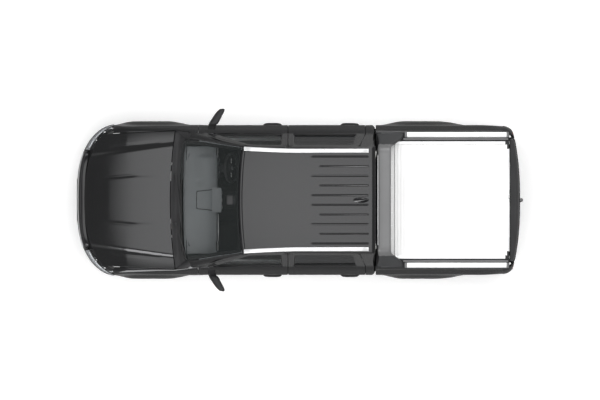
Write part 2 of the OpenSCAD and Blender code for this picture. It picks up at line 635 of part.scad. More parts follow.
module cargo_bed() {
    bearer_h = 60;
    color(paint) at_nose() union() {
        both_sides() {
            box([bed_s, wall_y - 5, bed_top_z - 30], [corner_l0 - 6, side_top_y - skin_t, bed_top_z]);
            box([bed_s, wall_y, bed_floor_z - bed_wall], [tail - 118, wall_y + 18, bed_top_z - 5]);
        }
        box([bed_s, -wall_y - 10, bed_floor_z - bed_wall], [tail - 118, wall_y + 10, bed_floor_z]);
        box([bed_s, skin_t - side_top_y, bed_floor_z - 30],
            [bed_s + 45, side_top_y - skin_t, bed_top_z]);
        for (s = [bed_s + 200, rear_s - 500, rear_s + 520])
            box([s, -rail_y1, bed_floor_z - bed_wall - bearer_h + 20],
                [s + 60, rail_y1, bed_floor_z - 20]);
    }
}

// Arch of sheet over a wheel, from y0 to y1, its radii r0 and r1
module arch_sheet(s, y0, y1, r0, r1) {
    translate([s, y0, hub_z]) rotate([-90, 0, 0]) linear_extrude(y1 - y0) difference() {
        circle(r = r1);
        circle(r = r0);
        translate([-700, -10]) square([1400, 700]);
    }
}
bed_wall = 40;
module wheel_liners() {
    color(trim) at_nose() both_sides() {
        arch_sheet(front_s, 475, half_w - 128, arch_r + 4, arch_r + 16);
        // Rear ones end under the load floor and go on outside its wall
        difference() {
            union() {
                arch_sheet(rear_s, 556, half_w - 78, arch_r + 7, arch_r + 22);
                translate([rear_s, 556, hub_z]) rotate([-90, 0, 0]) linear_extrude(14) difference() {
                    circle(r = arch_r + 22);
                    translate([-700, 0]) square([1400, 1400]);
                    circle(r = arch_r - 90);
                }
            }
            box([rear_s - 700, 500, bed_floor_z - bed_wall - 1], [rear_s + 700, wall_y + 19, bed_top_z]);
        }
    }
}
module tail_lamps() {
    color("#7d1418") at_nose() both_sides() corner_piece(lamp2_z0, lamp2_z1, 28);
}

gate_s = tail - 113;
gate_z0 = bed_floor_z - 15;
module tailgate() {
    ys = [for (j = [-10:10]) gate_y * j / 10];
    zs = [gate_z0, gate_z0 + 60, gate_z0 + 150, gate_z0 + 260, gate_z0 + 370, bed_top_z - 70,
        bed_top_z - 30, bed_top_z];
    function face(y, z) = tail_s(y) - 26 * ease((z - gate_z0 - 130) / 60) * ease((bed_top_z - 75 - z) / 60);
    color(paint) at_nose()
        panel([for (y = ys) [for (z = zs) [face(y, z), y, z]]],
            [for (y = ys) [for (z = zs) [gate_s, y, z]]]);
}

bumper2_z1 = gate_z0 - (tail - gate_s - 15) - 14;
module rear_bumper() {
    ks = [for (i = [0:8]) i / 8];
    ys = [for (j = [0:8]) (gate_y + shut_gap) * (1 - j / 8)];
    function ring(z, t) = concat([for (k = ks) corner_point(k, z, t)],
        [for (j = [1:8]) [tail_s(ys[j]) - t, ys[j], z]]);
    zs = [500, 540, 600, 660, bumper2_z1];
    color(trim) at_nose() both_sides()
        panel([for (z = zs) ring(z, z < 520 ? 20 : 0)], [for (z = zs) ring(z, 90)]);
}

module tow_ball() {
    s = tail + ball_past;
    color(metal) at_nose() union() {
        translate([s, 0, ball_z]) sphere(r = ball_d / 2);
        translate([s, 0, ball_z - 90]) cylinder(d = 28, h = 90);
        box([s - 22, -24, ball_z - 100], [s + 20, 24, ball_z - 68]);
        box([tail - 165, -24, ball_z - 100], [s - 10, 24, ball_z - 68]);
        box([tail - 165, -24, ball_z - 100], [tail - 120, 24, ball_z + 96]);
        box([tail - 165, -300, ball_z + 18], [tail - 120, 300, ball_z + 92]);
    }
}

bar_z = 1660;
module sports_bar() {
    foot_y = side_top_y - 62;
    color("#55575b") at_nose() union() {
        hull() {
            box([bed_s + 22, -640, bar_z - 52], [bed_s + 150, 640, bar_z - 20]);
            box([bed_s + 40, -610, bar_z - 56], [bed_s + 120, 610, bar_z]);
        }
        both_sides() {
            hull() {
                box([bed_s + 22, 560, bar_z - 56], [bed_s + 150, 640, bar_z - 22]);
                box([bed_s + 50, foot_y - 16, bed_top_z + 3], [bed_s + 330, foot_y + 34, bed_top_z + 6]);
            }
            box([bed_s + 60, foot_y - 10, bed_top_z], [bed_s + 260, foot_y + 30, bed_top_z + 4]);
        }
    }
}

rail_s0 = bed_s + 345;
module bed_rails() {
    y = side_top_y - 46;
    color(metal) at_nose() both_sides() union() {
        hull() {
            box([rail_s0, y - 26, bed_top_z + 22], [tail - 130, y + 26, bed_top_z + 34]);
            box([rail_s0 + 8, y - 20, bed_top_z + 16], [tail - 138, y + 20, bed_top_z + 46]);
        }
        for (k = [0.02, 0.34, 0.66, 0.97])
            box([mix(rail_s0, tail - 200, k), y - 20, bed_top_z], [mix(rail_s0, tail - 200, k) + 60, y + 20,
                bed_top_z + 20]);
    }
}

module roll_cover() {
    track_y = wall_y - 45;
    slats = floor((tail - 122 - (bed_s + 225)) / slat_pitch);
    color("#d9dadc") at_nose() union() {
        box([bed_s + 50, -track_y, bed_top_z - 16], [tail - 122, track_y, bed_top_z - 4]);
        for (i = [0:slats - 1])
            box([bed_s + 225 + i * slat_pitch, -track_y, bed_top_z - 5],
                [bed_s + 225 + i * slat_pitch + slat_pitch - 5, track_y, bed_top_z + 2]);
        both_sides() box([bed_s + 50, track_y - 1, bed_top_z - 40],
            [tail - 122, wall_y - 6, bed_top_z + 8]);
        // Housing that the slats roll up into
        box([bed_s + 50, -track_y, bed_top_z - 210], [bed_s + 222, track_y, bed_top_z - 2]);
    }
}

module roof_rails() {
    color(metal) at_nose() both_sides() union() {
        for (i = [0:5]) {
            a = mix(roof_s0 + 22, cab_end - 85, i / 6);
            b = mix(roof_s0 + 22, cab_end - 85, (i + 1) / 6);
            hull() {
                translate([a, rail_at(a), roof_line(a) - 6]) cube([2, 34, 30]);
                translate([b, rail_at(b), roof_line(b) - 6]) cube([2, 34, 30]);
            }
        }
        for (s = [roof_s0 + 40, cab_end - 150])
            translate([s, rail_at(s) + 3, roof_at(s + 60, rail_at(s) + 3) + 1.5]) cube([60, 26, 22]);
    }
}
function rail_at(s) = 578 + 28 * pow(clamp01((roof_s0 + 700 - s) / 700), 1.5);

// ---------------------------------------------------------------- cabin

wheel_pos = [front_s + 975, 389, 1150];
module dashboard() {
    color(trim) at_nose() union() {
        hull() {
            box([ws_base_s + 105, -640, 960], [ws_base_s + 125, 640, 1160]);
            box([ws_base_s + 380, -650, 960], [ws_base_s + 420, 650, 1150]);
            box([ws_base_s + 440, -640, 1010], [ws_base_s + 470, 640, 1090]);
        }
        hull() {
            box([ws_base_s + 260, 225, 1140], [ws_base_s + 470, 560, 1150]);
            box([ws_base_s + 300, 260, 1195], [ws_base_s + 440, 520, 1200]);
        }
        box([ws_base_s + 400, -150, 1000], [ws_base_s + 500, 150, 1190]);
        hull() {
            box([ws_base_s + 380, -112, floor_z + 2], [ws_base_s + 500, 112, 1010]);
            box([ws_base_s + 1300, -105, floor_z + 2], [ws_base_s + 1340, 105, 880]);
        }
        // Steering column
        translate(wheel_pos + [-26, 0, -14]) rotate([0, -115, 0]) cylinder(r = 30, h = 160);
    }
}
module steering_wheel() {
    color(trim) at_nose() translate(wheel_pos) rotate([0, -25, 0]) rotate([0, 90, 0]) union() {
        rotate_extrude($fn = 64) translate([175, 0]) circle(r = 15, $fn = 16);
        translate([0, 0, -24]) cylinder(r = 62, h = 34);
        for (a = [0, 90, 180, 270]) rotate([0, 0, a]) translate([50, -18, -12]) cube([118, 36, 14]);
    }
}

// A seat for one: cushion, back and headrest on a base, its middle at y
module seat(s, y, w) {
    z = floor_z + 2;
    hull() {
        box([s, y - w / 2 + 40, z], [s + 440, y + w / 2 - 40, z + 20]);
        box([s + 20, y - w / 2 + 50, z + 150], [s + 400, y + w / 2 - 50, z + 175]);
    }
    hull() {
        for (a = [-1, 1], b = [0, 1]) translate([s - 30 + b * 440, y + a * (w / 2 - 45), z + 225 - b * 35])
            sphere(r = 45, $fn = 16);
    }
    hull() {
        for (a = [-1, 1]) {
            translate([s + 430, y + a * (w / 2 - 50), z + 200]) sphere(r = 48, $fn = 16);
            translate([s + 620, y + a * (w / 2 - 80), z + 770]) sphere(r = 40, $fn = 16);
        }
    }
    hull() {
        for (a = [-1, 1]) translate([s + 655, y + a * 90, z + 880]) sphere(r = 42, $fn = 16);
        for (a = [-1, 1]) translate([s + 665, y + a * 85, z + 960]) sphere(r = 34, $fn = 16);
    }
    for (a = [-1, 1]) translate([s + 615, y + a * 50, z + 740]) cylinder(r = 8, h = 130, $fn = 16);
}
module front_seats() {
    color(cloth) at_nose() both_sides() seat(front_s + 1120, 385, 520);
}
module rear_seat() {
    s = cab_end - 760;
    z = floor_z + 2;
    color(cloth) at_nose() union() {
        hull() { box([s + 40, -560, z], [s + 420, 560, z + 180]); }
        hull() { for (a = [-1, 1], b = [0, 1]) translate([s + 10 + b * 430, a * 600, z + 225 - b * 30])
            sphere(r = 50, $fn = 16); }
        hull() { for (a = [-1, 1]) {
            translate([s + 500, a * 600, z + 220]) sphere(r = 48, $fn = 16);
            translate([s + 625, a * 560, z + 720]) sphere(r = 40, $fn = 16);
        } }
        for (y = [-390, 0, 390]) hull() {
            for (a = [-1, 1]) translate([s + 645, y + a * 85, z + 740]) sphere(r = 36, $fn = 16);
            for (a = [-1, 1]) translate([s + 650, y + a * 80, z + 840]) sphere(r = 32, $fn = 16);
        }
    }
}

// ---------------------------------------------------------------- wheels

module tyre() {
    h = tyre_w / 2;
    rotate([-90, 0, 0]) rotate_extrude($fn = 72) polygon([[rim_r + 1, -h + 22], [rim_r + 22, -h + 8],
        [tyre_r - 62, -h], [tyre_r - 20, -h + 8], [tyre_r - 5, -h + 30], [tyre_r, -h + 60],
        [tyre_r, h - 60], [tyre_r - 5, h - 30], [tyre_r - 20, h - 8], [tyre_r - 62, h],
        [rim_r + 22, h - 8], [rim_r + 1, h - 22]]);
}
// A rim about its middle, its face toward +Y, on a hub with a bore for the axle's stub
stub_r = 34;
module rim() {
    h = tyre_w / 2;
    rotate([-90, 0, 0]) difference() {
        union() {
            rotate_extrude($fn = 72) polygon([[rim_r - 16, -h + 14], [rim_r - 2, -h + 14], [rim_r, -h + 22],
                [rim_r, h - 22], [rim_r - 2, h - 14], [rim_r - 16, h - 14]]);
            translate([0, 0, h - 70]) cylinder(r = 82, h = 45);
            for (a = [0:60:300]) rotate([0, 0, a]) {
                translate([60, -34, h - 62]) cube([rim_r - 66, 22, 34]);
                translate([60, 12, h - 62]) cube([rim_r - 66, 22, 34]);
            }
        }
        translate([0, 0, -h]) cylinder(r = stub_r + 1, h = 2 * h - 48);
    }
}
module wheel_at(s) { translate([nose_x + s, wheel_y, hub_z]) children(); }
module tyre_front_right() { color(trim) wheel_at(front_s) tyre(); }
module tyre_front_left() { mirror([0, 1, 0]) tyre_front_right(); }
module tyre_rear_right() { color(trim) wheel_at(rear_s) tyre(); }
module tyre_rear_left() { mirror([0, 1, 0]) tyre_rear_right(); }
module rim_front_right() { color(steel) wheel_at(front_s) rim(); }
module rim_front_left() { mirror([0, 1, 0]) rim_front_right(); }
module rim_rear_right() { color(steel) wheel_at(rear_s) rim(); }
module rim_rear_left() { mirror([0, 1, 0]) rim_rear_right(); }

// Upright between the ball joints, with the wheel's stub axle, brake disc and track-rod arm
module knuckle_right() {
    stub_y = wheel_y + tyre_w / 2 - 74;
    color(steel) at_nose() union() {
        translate([front_s, king_y, hub_z - knuckle_half]) cylinder(r = king_r, h = 2 * knuckle_half);
        tube_y(front_s, hub_z, king_y - 40, king_y + 30, 70);
        tube_y(front_s, hub_z, king_y + 20, stub_y, stub_r - 1);
        tube_y(front_s, hub_z, king_y + 28, king_y + 50, 165);
        rod([front_s - 10, king_y - 10, hub_z - 60], [front_s - 150, king_y - 45, hub_z - 60], 13);
    }
}
module knuckle_left() { mirror([0, 1, 0]) knuckle_right(); }

ladder_frame();
powertrain();
front_suspension();
rear_axle();
fuel_tank();
spare_wheel();
cab_shell();
engine_bay();
wheel_liners();
front_wings();
front_bumper();
grille();
headlamps();
tail_lamps();
cab_glass();
cargo_bed();
bed_sides();
rear_bumper();
tow_ball();
sports_bar();
bed_rails();
roll_cover();
roof_rails();
dashboard();
steering_wheel();
front_seats();
rear_seat();
bonnet();
tailgate();
door_front_left();
door_front_right();
door_rear_left();
door_rear_right();
glass_front_left();
glass_front_right();
glass_rear_left();
glass_rear_right();
mirror_left();
mirror_right();
knuckle_left();
knuckle_right();
tyre_front_left();
tyre_front_right();
tyre_rear_left();
tyre_rear_right();
rim_front_left();
rim_front_right();
rim_rear_left();
rim_rear_right();
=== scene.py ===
import json
import math
import bmesh
import bpy
import numpy as np
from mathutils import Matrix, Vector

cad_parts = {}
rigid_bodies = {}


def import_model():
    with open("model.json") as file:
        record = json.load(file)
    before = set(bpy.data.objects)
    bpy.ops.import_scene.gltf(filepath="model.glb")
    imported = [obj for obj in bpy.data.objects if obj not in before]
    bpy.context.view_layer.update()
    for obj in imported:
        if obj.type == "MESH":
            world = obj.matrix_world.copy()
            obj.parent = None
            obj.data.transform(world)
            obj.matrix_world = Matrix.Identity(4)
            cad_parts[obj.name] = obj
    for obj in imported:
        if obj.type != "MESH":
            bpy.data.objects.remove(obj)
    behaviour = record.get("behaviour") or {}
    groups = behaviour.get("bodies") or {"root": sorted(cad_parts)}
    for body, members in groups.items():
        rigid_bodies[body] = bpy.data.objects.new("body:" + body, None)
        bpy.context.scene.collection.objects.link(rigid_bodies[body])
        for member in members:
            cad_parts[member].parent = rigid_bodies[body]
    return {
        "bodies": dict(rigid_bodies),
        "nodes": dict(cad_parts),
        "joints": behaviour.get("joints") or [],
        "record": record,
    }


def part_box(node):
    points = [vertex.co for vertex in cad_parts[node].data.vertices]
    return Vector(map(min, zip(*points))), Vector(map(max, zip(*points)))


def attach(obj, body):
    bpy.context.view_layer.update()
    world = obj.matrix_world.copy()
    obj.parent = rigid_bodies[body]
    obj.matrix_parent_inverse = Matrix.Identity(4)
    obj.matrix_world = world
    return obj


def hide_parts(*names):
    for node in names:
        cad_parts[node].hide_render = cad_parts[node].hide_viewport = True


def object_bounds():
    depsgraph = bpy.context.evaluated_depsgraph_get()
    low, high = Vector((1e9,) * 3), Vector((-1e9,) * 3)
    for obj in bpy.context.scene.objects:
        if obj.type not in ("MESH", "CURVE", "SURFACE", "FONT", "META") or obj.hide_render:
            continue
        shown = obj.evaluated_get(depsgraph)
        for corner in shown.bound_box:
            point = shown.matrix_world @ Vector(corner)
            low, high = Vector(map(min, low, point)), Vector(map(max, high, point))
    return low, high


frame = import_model()
cad_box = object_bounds()

# ---------------------------------------------------------------- places, from the frame
# Everything is in metres. s is the distance behind the foremost point of the nose.


def span(node, axis):
    """Lowest and highest value of a CAD node along one axis."""
    lo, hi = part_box(node)
    return lo[axis], hi[axis]


NOSE = cad_box[0].x
TAIL = span("tailgate", 0)[1] - NOSE
FRONT = sum(span("tyre_front_right", 0)) / 2 - NOSE
REAR = sum(span("tyre_rear_right", 0)) / 2 - NOSE
HUB_Z = sum(span("tyre_front_right", 2)) / 2
TYRE_R = (span("tyre_front_right", 2)[1] - span("tyre_front_right", 2)[0]) / 2
WHEEL_Y = sum(span("tyre_front_right", 1)) / 2
TYRE_W = span("tyre_front_right", 1)[1] - span("tyre_front_right", 1)[0]
RIM_R = (span("rim_front_right", 2)[1] - span("rim_front_right", 2)[0]) / 2
DOOR1, DOOR1_END = (v - NOSE for v in span("door_front_right", 0))
DOOR2, DOOR2_END = (v - NOSE for v in span("door_rear_right", 0))
GAP = DOOR2 - DOOR1_END
CAB_END = span("cab_shell", 0)[1] - NOSE
BED = span("cargo_bed", 0)[0] - NOSE
SILL = span("door_front_right", 2)[0]
HALF_W = span("door_rear_right", 1)[1]
FLARE = span("front_wings", 1)[1] - HALF_W
BED_TOP = span("cargo_bed", 2)[1]
GATE_S = span("tailgate", 0)[0] - NOSE
GATE_Z = span("tailgate", 2)[0]
GATE_Y = span("tailgate", 1)[1]
FLOOR = span("rear_seat", 2)[0] - 0.002
BONNET0 = span("bonnet", 0)[0] - NOSE
BONNET1 = span("bonnet", 0)[1] - NOSE
BELT = 1.25
WAIST = 0.85
ARCH_R = 0.455
ROOF0 = FRONT + 1.106
ROOF_Y = 0.637
ROOF_TOP = 1.842
SCREEN_S = FRONT + 0.34
SCREEN_TOP = FRONT + 1.07
WALL_Y = 0.72
SIDE_TOP = HALF_W - 0.078


def clamp(t):
    """t held between 0 and 1."""
    return np.clip(t, 0.0, 1.0)


def ease(t):
    """A smooth step: 3t^2 - 2t^3 of t held between 0 and 1."""
    t = clamp(t)
    return t * t * (3 - 2 * t)


def mix(a, b, t):
    """The point a fraction t of the way from a to b."""
    return a + (b - a) * t


def bend(a, b, c, t):
    """A quadratic curve from a to c that leans toward b."""
    return (1 - t) ** 2 * a + 2 * t * (1 - t) * b + t * t * c


def ridge(x, width):
    """1 at x = 0, falling smoothly to 0 at x = width on either side."""
    return ease(1 - np.abs(x) / width)


def rake(z):
    """How far the nose leans back at a height: a parabola above 0.78 m and one below 0.56 m."""
    return 0.11 * (np.maximum(0, z - 0.78) / 0.3) ** 2 + 0.06 * (np.maximum(0, 0.56 - z) / 0.23) ** 2


def side_in(z):
    """How far the sides pull in: a power curve below the waist, a cubic up to the belt, a straight
    lean above it."""
    low = 0.066 * (np.maximum(0, WAIST - z) / 0.49) ** 2.2
    mid = 0.108 * (np.maximum(0, np.minimum(z, BELT) - WAIST) / (BELT - WAIST)) ** 3
    return low + mid + 0.306 * np.maximum(0, z - BELT)


def plan_y(s):
    """Half width of the body in plan: a superellipse over the nose, straight sides, a taper at the tail."""
    nose = (1 - clamp(1 - s / 0.42) ** 1.6) ** (1 / 3)
    return HALF_W * nose - 0.032 * (np.maximum(0, s - TAIL + 0.5) / 0.38) ** 2


def flare_at(s, z, axle, ahead, behind):
    """A wheel-arch flare: full at the arch's lip, fading with the distance from the axle both along the
    body and outward from the hub."""
    d = s - axle
    reach = np.where(d < 0, ahead, behind)
    return FLARE * ease((reach - np.abs(d)) / (reach - 0.2)) * ease((0.65 - np.hypot(d, z - HUB_Z))
                                                                    / 0.14)


def side_y(s, z):
    """Distance of the body's side skin from the centre line: the plan's half width, less the pull-in at
    that height, plus the two flares."""
    base = np.maximum(0, plan_y(s - rake(z)) - side_in(z))
    return base + flare_at(s, z, FRONT, 0.5, 0.56) + flare_at(s, z, REAR, 0.525, 0.72)


def nose_s(y, z):
    """Station of the nose's skin: the plan's superellipse solved for s, plus the rake."""
    share = np.minimum(1, (np.abs(y) + side_in(z)) / HALF_W)
    return rake(z) + 0.42 * (1 - (1 - share ** 3) ** (1 / 1.6))


def tail_s(y):
    """Station of the tail's skin: it bows forward as a power of the distance from the centre line."""
    return TAIL - 0.075 * (np.abs(y) / 0.79) ** 2.4


def roof_line(s):
    """Height of the roof's crown: two parabolas that meet at its highest station."""
    m = (ROOF0 + CAB_END) / 2 - 0.065
    return ROOF_TOP - np.where(s < m, 0.045 * ((m - s) / 0.78) ** 2, 0.022 * ((s - m) / 0.86) ** 2)


def door_top(s):
    """Height of the doors' upper edge, a fixed drop below the roof's crown."""
    return roof_line(s) - 0.072


def bonnet_y(s):
    """Half width of the bonnet, widening rearward."""
    return HALF_W - 0.116 + 0.038 * clamp((s - BONNET0 - 0.219) / (BONNET1 - BONNET0 - 0.219))


def bonnet_front(v):
    """Station of the bonnet's front edge at v, the distance from the centre line over its half width."""
    return BONNET0 + 0.219 * np.abs(v) ** 2.4


def bonnet_rear(v):
    """Station of the bonnet's rear edge, bowed forward in the middle."""
    return BONNET1 - 0.06 * (1 - v * v)


def bonnet_line(s):
    """Height of the bonnet on the centre line: a slow rise with a steeper drop at the front."""
    return (1.215 - 0.15 * (np.maximum(0, BONNET1 - s) / 1.105) ** 2.2
            - 0.04 * (np.maximum(0, BONNET0 + 0.305 - s) / 0.305) ** 2)


def plateau(s):
    """Half width of the bonnet's raised middle, widening rearward."""
    return mix(0.522, 0.65, clamp((s - BONNET0 - 0.097) / 0.97))


def bonnet_z(s, y):
    """Height of the bonnet: the centre line less a drop that is gentle on the raised middle, quick over
    the chamfer beside it and gentle again to the edge."""
    e, p, a = bonnet_y(s), plateau(s), np.abs(y)
    drop = 0.045 + 0.03 * clamp((BONNET0 + 0.515 - s) / 0.3)
    return bonnet_line(s) - drop * (0.12 * (np.minimum(a, p) / p) ** 2 + 0.45 * ease((a - p) / 0.055)
                                    + 0.43 * (np.maximum(0, a - p) / (e - p)) ** 2)


def screen(u, v, inward=0.0):
    """A point of the windscreen: straight from its base curve at u = 0 to its top curve at u = 1, with v
    across it, bowed outward by a parabola in u."""
    u, v = np.broadcast_arrays(u, v)
    top_z = roof_line(np.array(SCREEN_TOP))
    base = np.stack([SCREEN_S + 0.02 * v * v + 0.065 * np.abs(v) ** 12, 0.753 * v, 1.207 + 0.008 * v * v],
                    -1)
    top = np.stack([SCREEN_TOP + 0.036 * v * v, 0.64 * v, top_z - 0.027 * v * v], -1)
    bow = 0.072 * u * (1 - u) - inward
    return base + (top - base) * u[..., None] + bow[..., None] * np.array([-0.63, 0, 0.777])


# ---------------------------------------------------------------- surfaces to meshes


def quads(nu, nv, wrap_u=False, wrap_v=False):
    """Corner numbers of the quads between neighbouring points of an nu by nv grid."""
    i = np.arange(nu if wrap_u else nu - 1)[:, None]
    j = np.arange(nv if wrap_v else nv - 1)[None, :]
    i2, j2 = (i + 1) % nu, (j + 1) % nv
    return np.stack(np.broadcast_arrays(i * nv + j, i2 * nv + j, i2 * nv + j2, i * nv + j2),
                    -1).reshape(-1, 4)


def outward(V, F):
    """The same faces, turned round if the volume they enclose comes out negative."""
    p = (V - V.mean(0))[F]
    six = np.einsum("ij,ij->i", np.cross(p[:, 0], p[:, 1]), p[:, 2])
    six += np.einsum("ij,ij->i", np.cross(p[:, 0], p[:, 2]), p[:, 3])
    return F[:, ::-1] if six.sum() < 0 else F


def slab(outer, inner, wrap=False, mats=(0, 0, 0)):
    """A closed solid between two grids of points, each [rows, columns, 3]: both skins and a strip round
    every open edge. With wrap, each row is a closed loop. mats: outer skin, inner skin, edges."""
    nu, nv = outer.shape[:2]
    n = nu * nv
    V = np.concatenate([outer.reshape(-1, 3), inner.reshape(-1, 3)])
    ids = np.arange(n).reshape(nu, nv)
    skin = quads(nu, nv, wrap_v=wrap)

    def strip(row):
        """Quads from a row of points to the row n points later."""
        return np.stack([row[:-1], row[1:], row[1:] + n, row[:-1] + n], -1)

    loop = np.append(ids[0], ids[0, 0]) if wrap else ids[0]
    last = np.append(ids[-1], ids[-1, 0]) if wrap else ids[-1]
    edges = [strip(loop), strip(last)[:, ::-1]]
    if not wrap:
        edges += [strip(ids[:, 0])[:, ::-1], strip(ids[:, -1])]
    edges = np.concatenate(edges)
    F = np.concatenate([skin, skin[:, ::-1] + n, edges])
    M = np.repeat([mats[0], mats[1], mats[2]], [len(skin), len(skin), len(edges)])
    return V, outward(V, F), M


def normals(P, wrap=False):
    """Unit normals of a grid: the cross product of its two central differences."""
    du = np.gradient(P, axis=0)
    dv = (np.roll(P, -1, 1) - np.roll(P, 1, 1)) if wrap else np.gradient(P, axis=1)
    n = np.cross(du, dv)
    return n / np.maximum(np.linalg.norm(n, axis=-1, keepdims=True), 1e-12)


def skin(P, t, mats=(0, 0, 0), wrap=False, away=(0, 0, 1)):
    """A sheet t thick under the grid P, inward along its normals; away is a direction that is roughly
    outward, which settles the side."""
    n = normals(P, wrap)
    side = np.sign((n * np.asarray(away, float)).sum(-1).mean())
    return slab(P, P - side * t * n, wrap, mats)


def tube(path, radius, n=12, mat=0, flat=1.0, up=(0, 0, 1)):
    """A circle carried along a path: rings square to the path's tangent, flattened by flat along the
    up direction, closed by rings of almost no radius."""
    path = np.asarray(path, float)
    r = np.broadcast_to(np.asarray(radius, float), len(path))
    path = np.concatenate([path[:1], path, path[-1:]])
    r = np.concatenate([[0.0], r, [0.0]])
    t = np.gradient(path[1:-1], axis=0)
    t = np.concatenate([t[:1], t, t[-1:]])
    t /= np.linalg.norm(t, axis=1, keepdims=True)
    side = np.cross(t, np.asarray(up, float))
    side /= np.maximum(np.linalg.norm(side, axis=1, keepdims=True), 1e-9)
    top = np.cross(side, t)
    a = np.linspace(0, 2 * np.pi, n, endpoint=False)
    ring = side[:, None] * np.cos(a)[None, :, None] + top[:, None] * (flat * np.sin(a))[None, :, None]
    P = path[:, None] + ring * r[:, None, None]
    V = P.reshape(-1, 3)
    F = quads(len(path), n, wrap_v=True)
    return V, outward(V, F), np.full(len(F), mat)


def carried(path, profile, mat=0, up=(0, 0, 1)):
    """A closed profile of (across, up) points carried along a path, its ends closed by shrinking it to
    its middle."""
    path, profile = np.asarray(path, float), np.asarray(profile, float)
    t = np.gradient(path, axis=0)
    t /= np.linalg.norm(t, axis=1, keepdims=True)
    side = np.cross(t, np.asarray(up, float))
    side /= np.linalg.norm(side, axis=1, keepdims=True)
    top = np.cross(side, t)
    P = path[:, None] + side[:, None] * profile[None, :, :1] + top[:, None] * profile[None, :, 1:]
    mid = P.mean(1, keepdims=True)
    ends = [mid[:1] + 0 * P[:1], P, mid[-1:] + 0 * P[-1:]]
    P = np.concatenate(ends)
    V = P.reshape(-1, 3)
    F = quads(P.shape[0], P.shape[1], wrap_v=True)
    return V, outward(V, F), np.full(len(F), mat)


def turned(profile, centre, n=96, mat=0, axis=1):
    """A profile of (radius, along) points turned about an axis through centre; the profile's ends lie on
    the axis or meet, so that the surface is closed."""
    profile = np.asarray(profile, float)
    a = np.linspace(0, 2 * np.pi, n, endpoint=False)
    P = np.zeros((len(profile), n, 3))
    others = [k for k in range(3) if k != axis]
    P[..., others[0]] = profile[:, :1] * np.cos(a)
    P[..., others[1]] = profile[:, :1] * np.sin(a)
    P[..., axis] = profile[:, 1:]
    V = (P + np.asarray(centre, float)).reshape(-1, 3)
    F = quads(len(profile), n, wrap_v=True)
    return V, outward(V, F), np.full(len(F), mat)


def block(lo, hi, r=0.004, n=2, mat=0):
    """A box with rounded edges: the eighths of a small sphere of radius r, pushed apart to the corners,
    as one grid of longitude by latitude, with its two poles closed by a quad."""
    lo, hi = np.minimum(lo, hi).astype(float), np.maximum(lo, hi).astype(float)
    r = min(r, 0.49 * (hi - lo).min())
    k = np.linspace(0, np.pi / 2, n + 1)
    lon = np.concatenate([q * np.pi / 2 + k for q in range(4)])
    sx = np.repeat([1, -1, -1, 1], n + 1)
    sy = np.repeat([1, 1, -1, -1], n + 1)
    lat = np.concatenate([k - np.pi / 2, k])
    sz = np.repeat([-1, 1], n + 1)
    half, mid = (hi - lo) / 2 - r, (hi + lo) / 2
    P = np.stack([
        mid[0] + half[0] * sx[None] + r * np.cos(lat)[:, None] * np.cos(lon)[None],
        mid[1] + half[1] * sy[None] + r * np.cos(lat)[:, None] * np.sin(lon)[None],
        (mid[2] + half[2] * sz + r * np.sin(lat))[:, None] + 0 * lon[None]], -1)
    V = P.reshape(-1, 3)
    m = len(lon)
    corners = np.arange(4) * (n + 1)
    F = np.concatenate([quads(len(lat), m, wrap_v=True), [corners], [corners[::-1] + (len(lat) - 1) * m]])
    return V, outward(V, F), np.full(len(F), mat)


def placed(part, turn=None, move=(0, 0, 0)):
    """A part turned by a 3 by 3 matrix and then moved."""
    V, F, M = part
    V = V if turn is None else V @ np.asarray(turn).T
    return V + np.asarray(move, float), F, M


def about(axis, degrees):
    """The matrix of a turn about x, y or z."""
    c, s = math.cos(math.radians(degrees)), math.sin(math.radians(degrees))
    i, j = {"x": (1, 2), "y": (2, 0), "z": (0, 1)}[axis]
    R = np.eye(3)
    R[i, i], R[i, j], R[j, i], R[j, j] = c, -s, s, c
    return R


def flip(part):
    """The part's mirror image across the centre line, with its faces turned back outward."""
    V, F, M = part
    return V * np.array([1, -1, 1]), F[:, ::-1], M


def both(parts):
    """The parts and their mirror images."""
    return list(parts) + [flip(p) for p in parts]


# A piece of more faces than this that isn't painted bodywork has its flattest edges collapsed, to this share
THIN_ABOVE = 7000
THIN_RATIO = 0.45


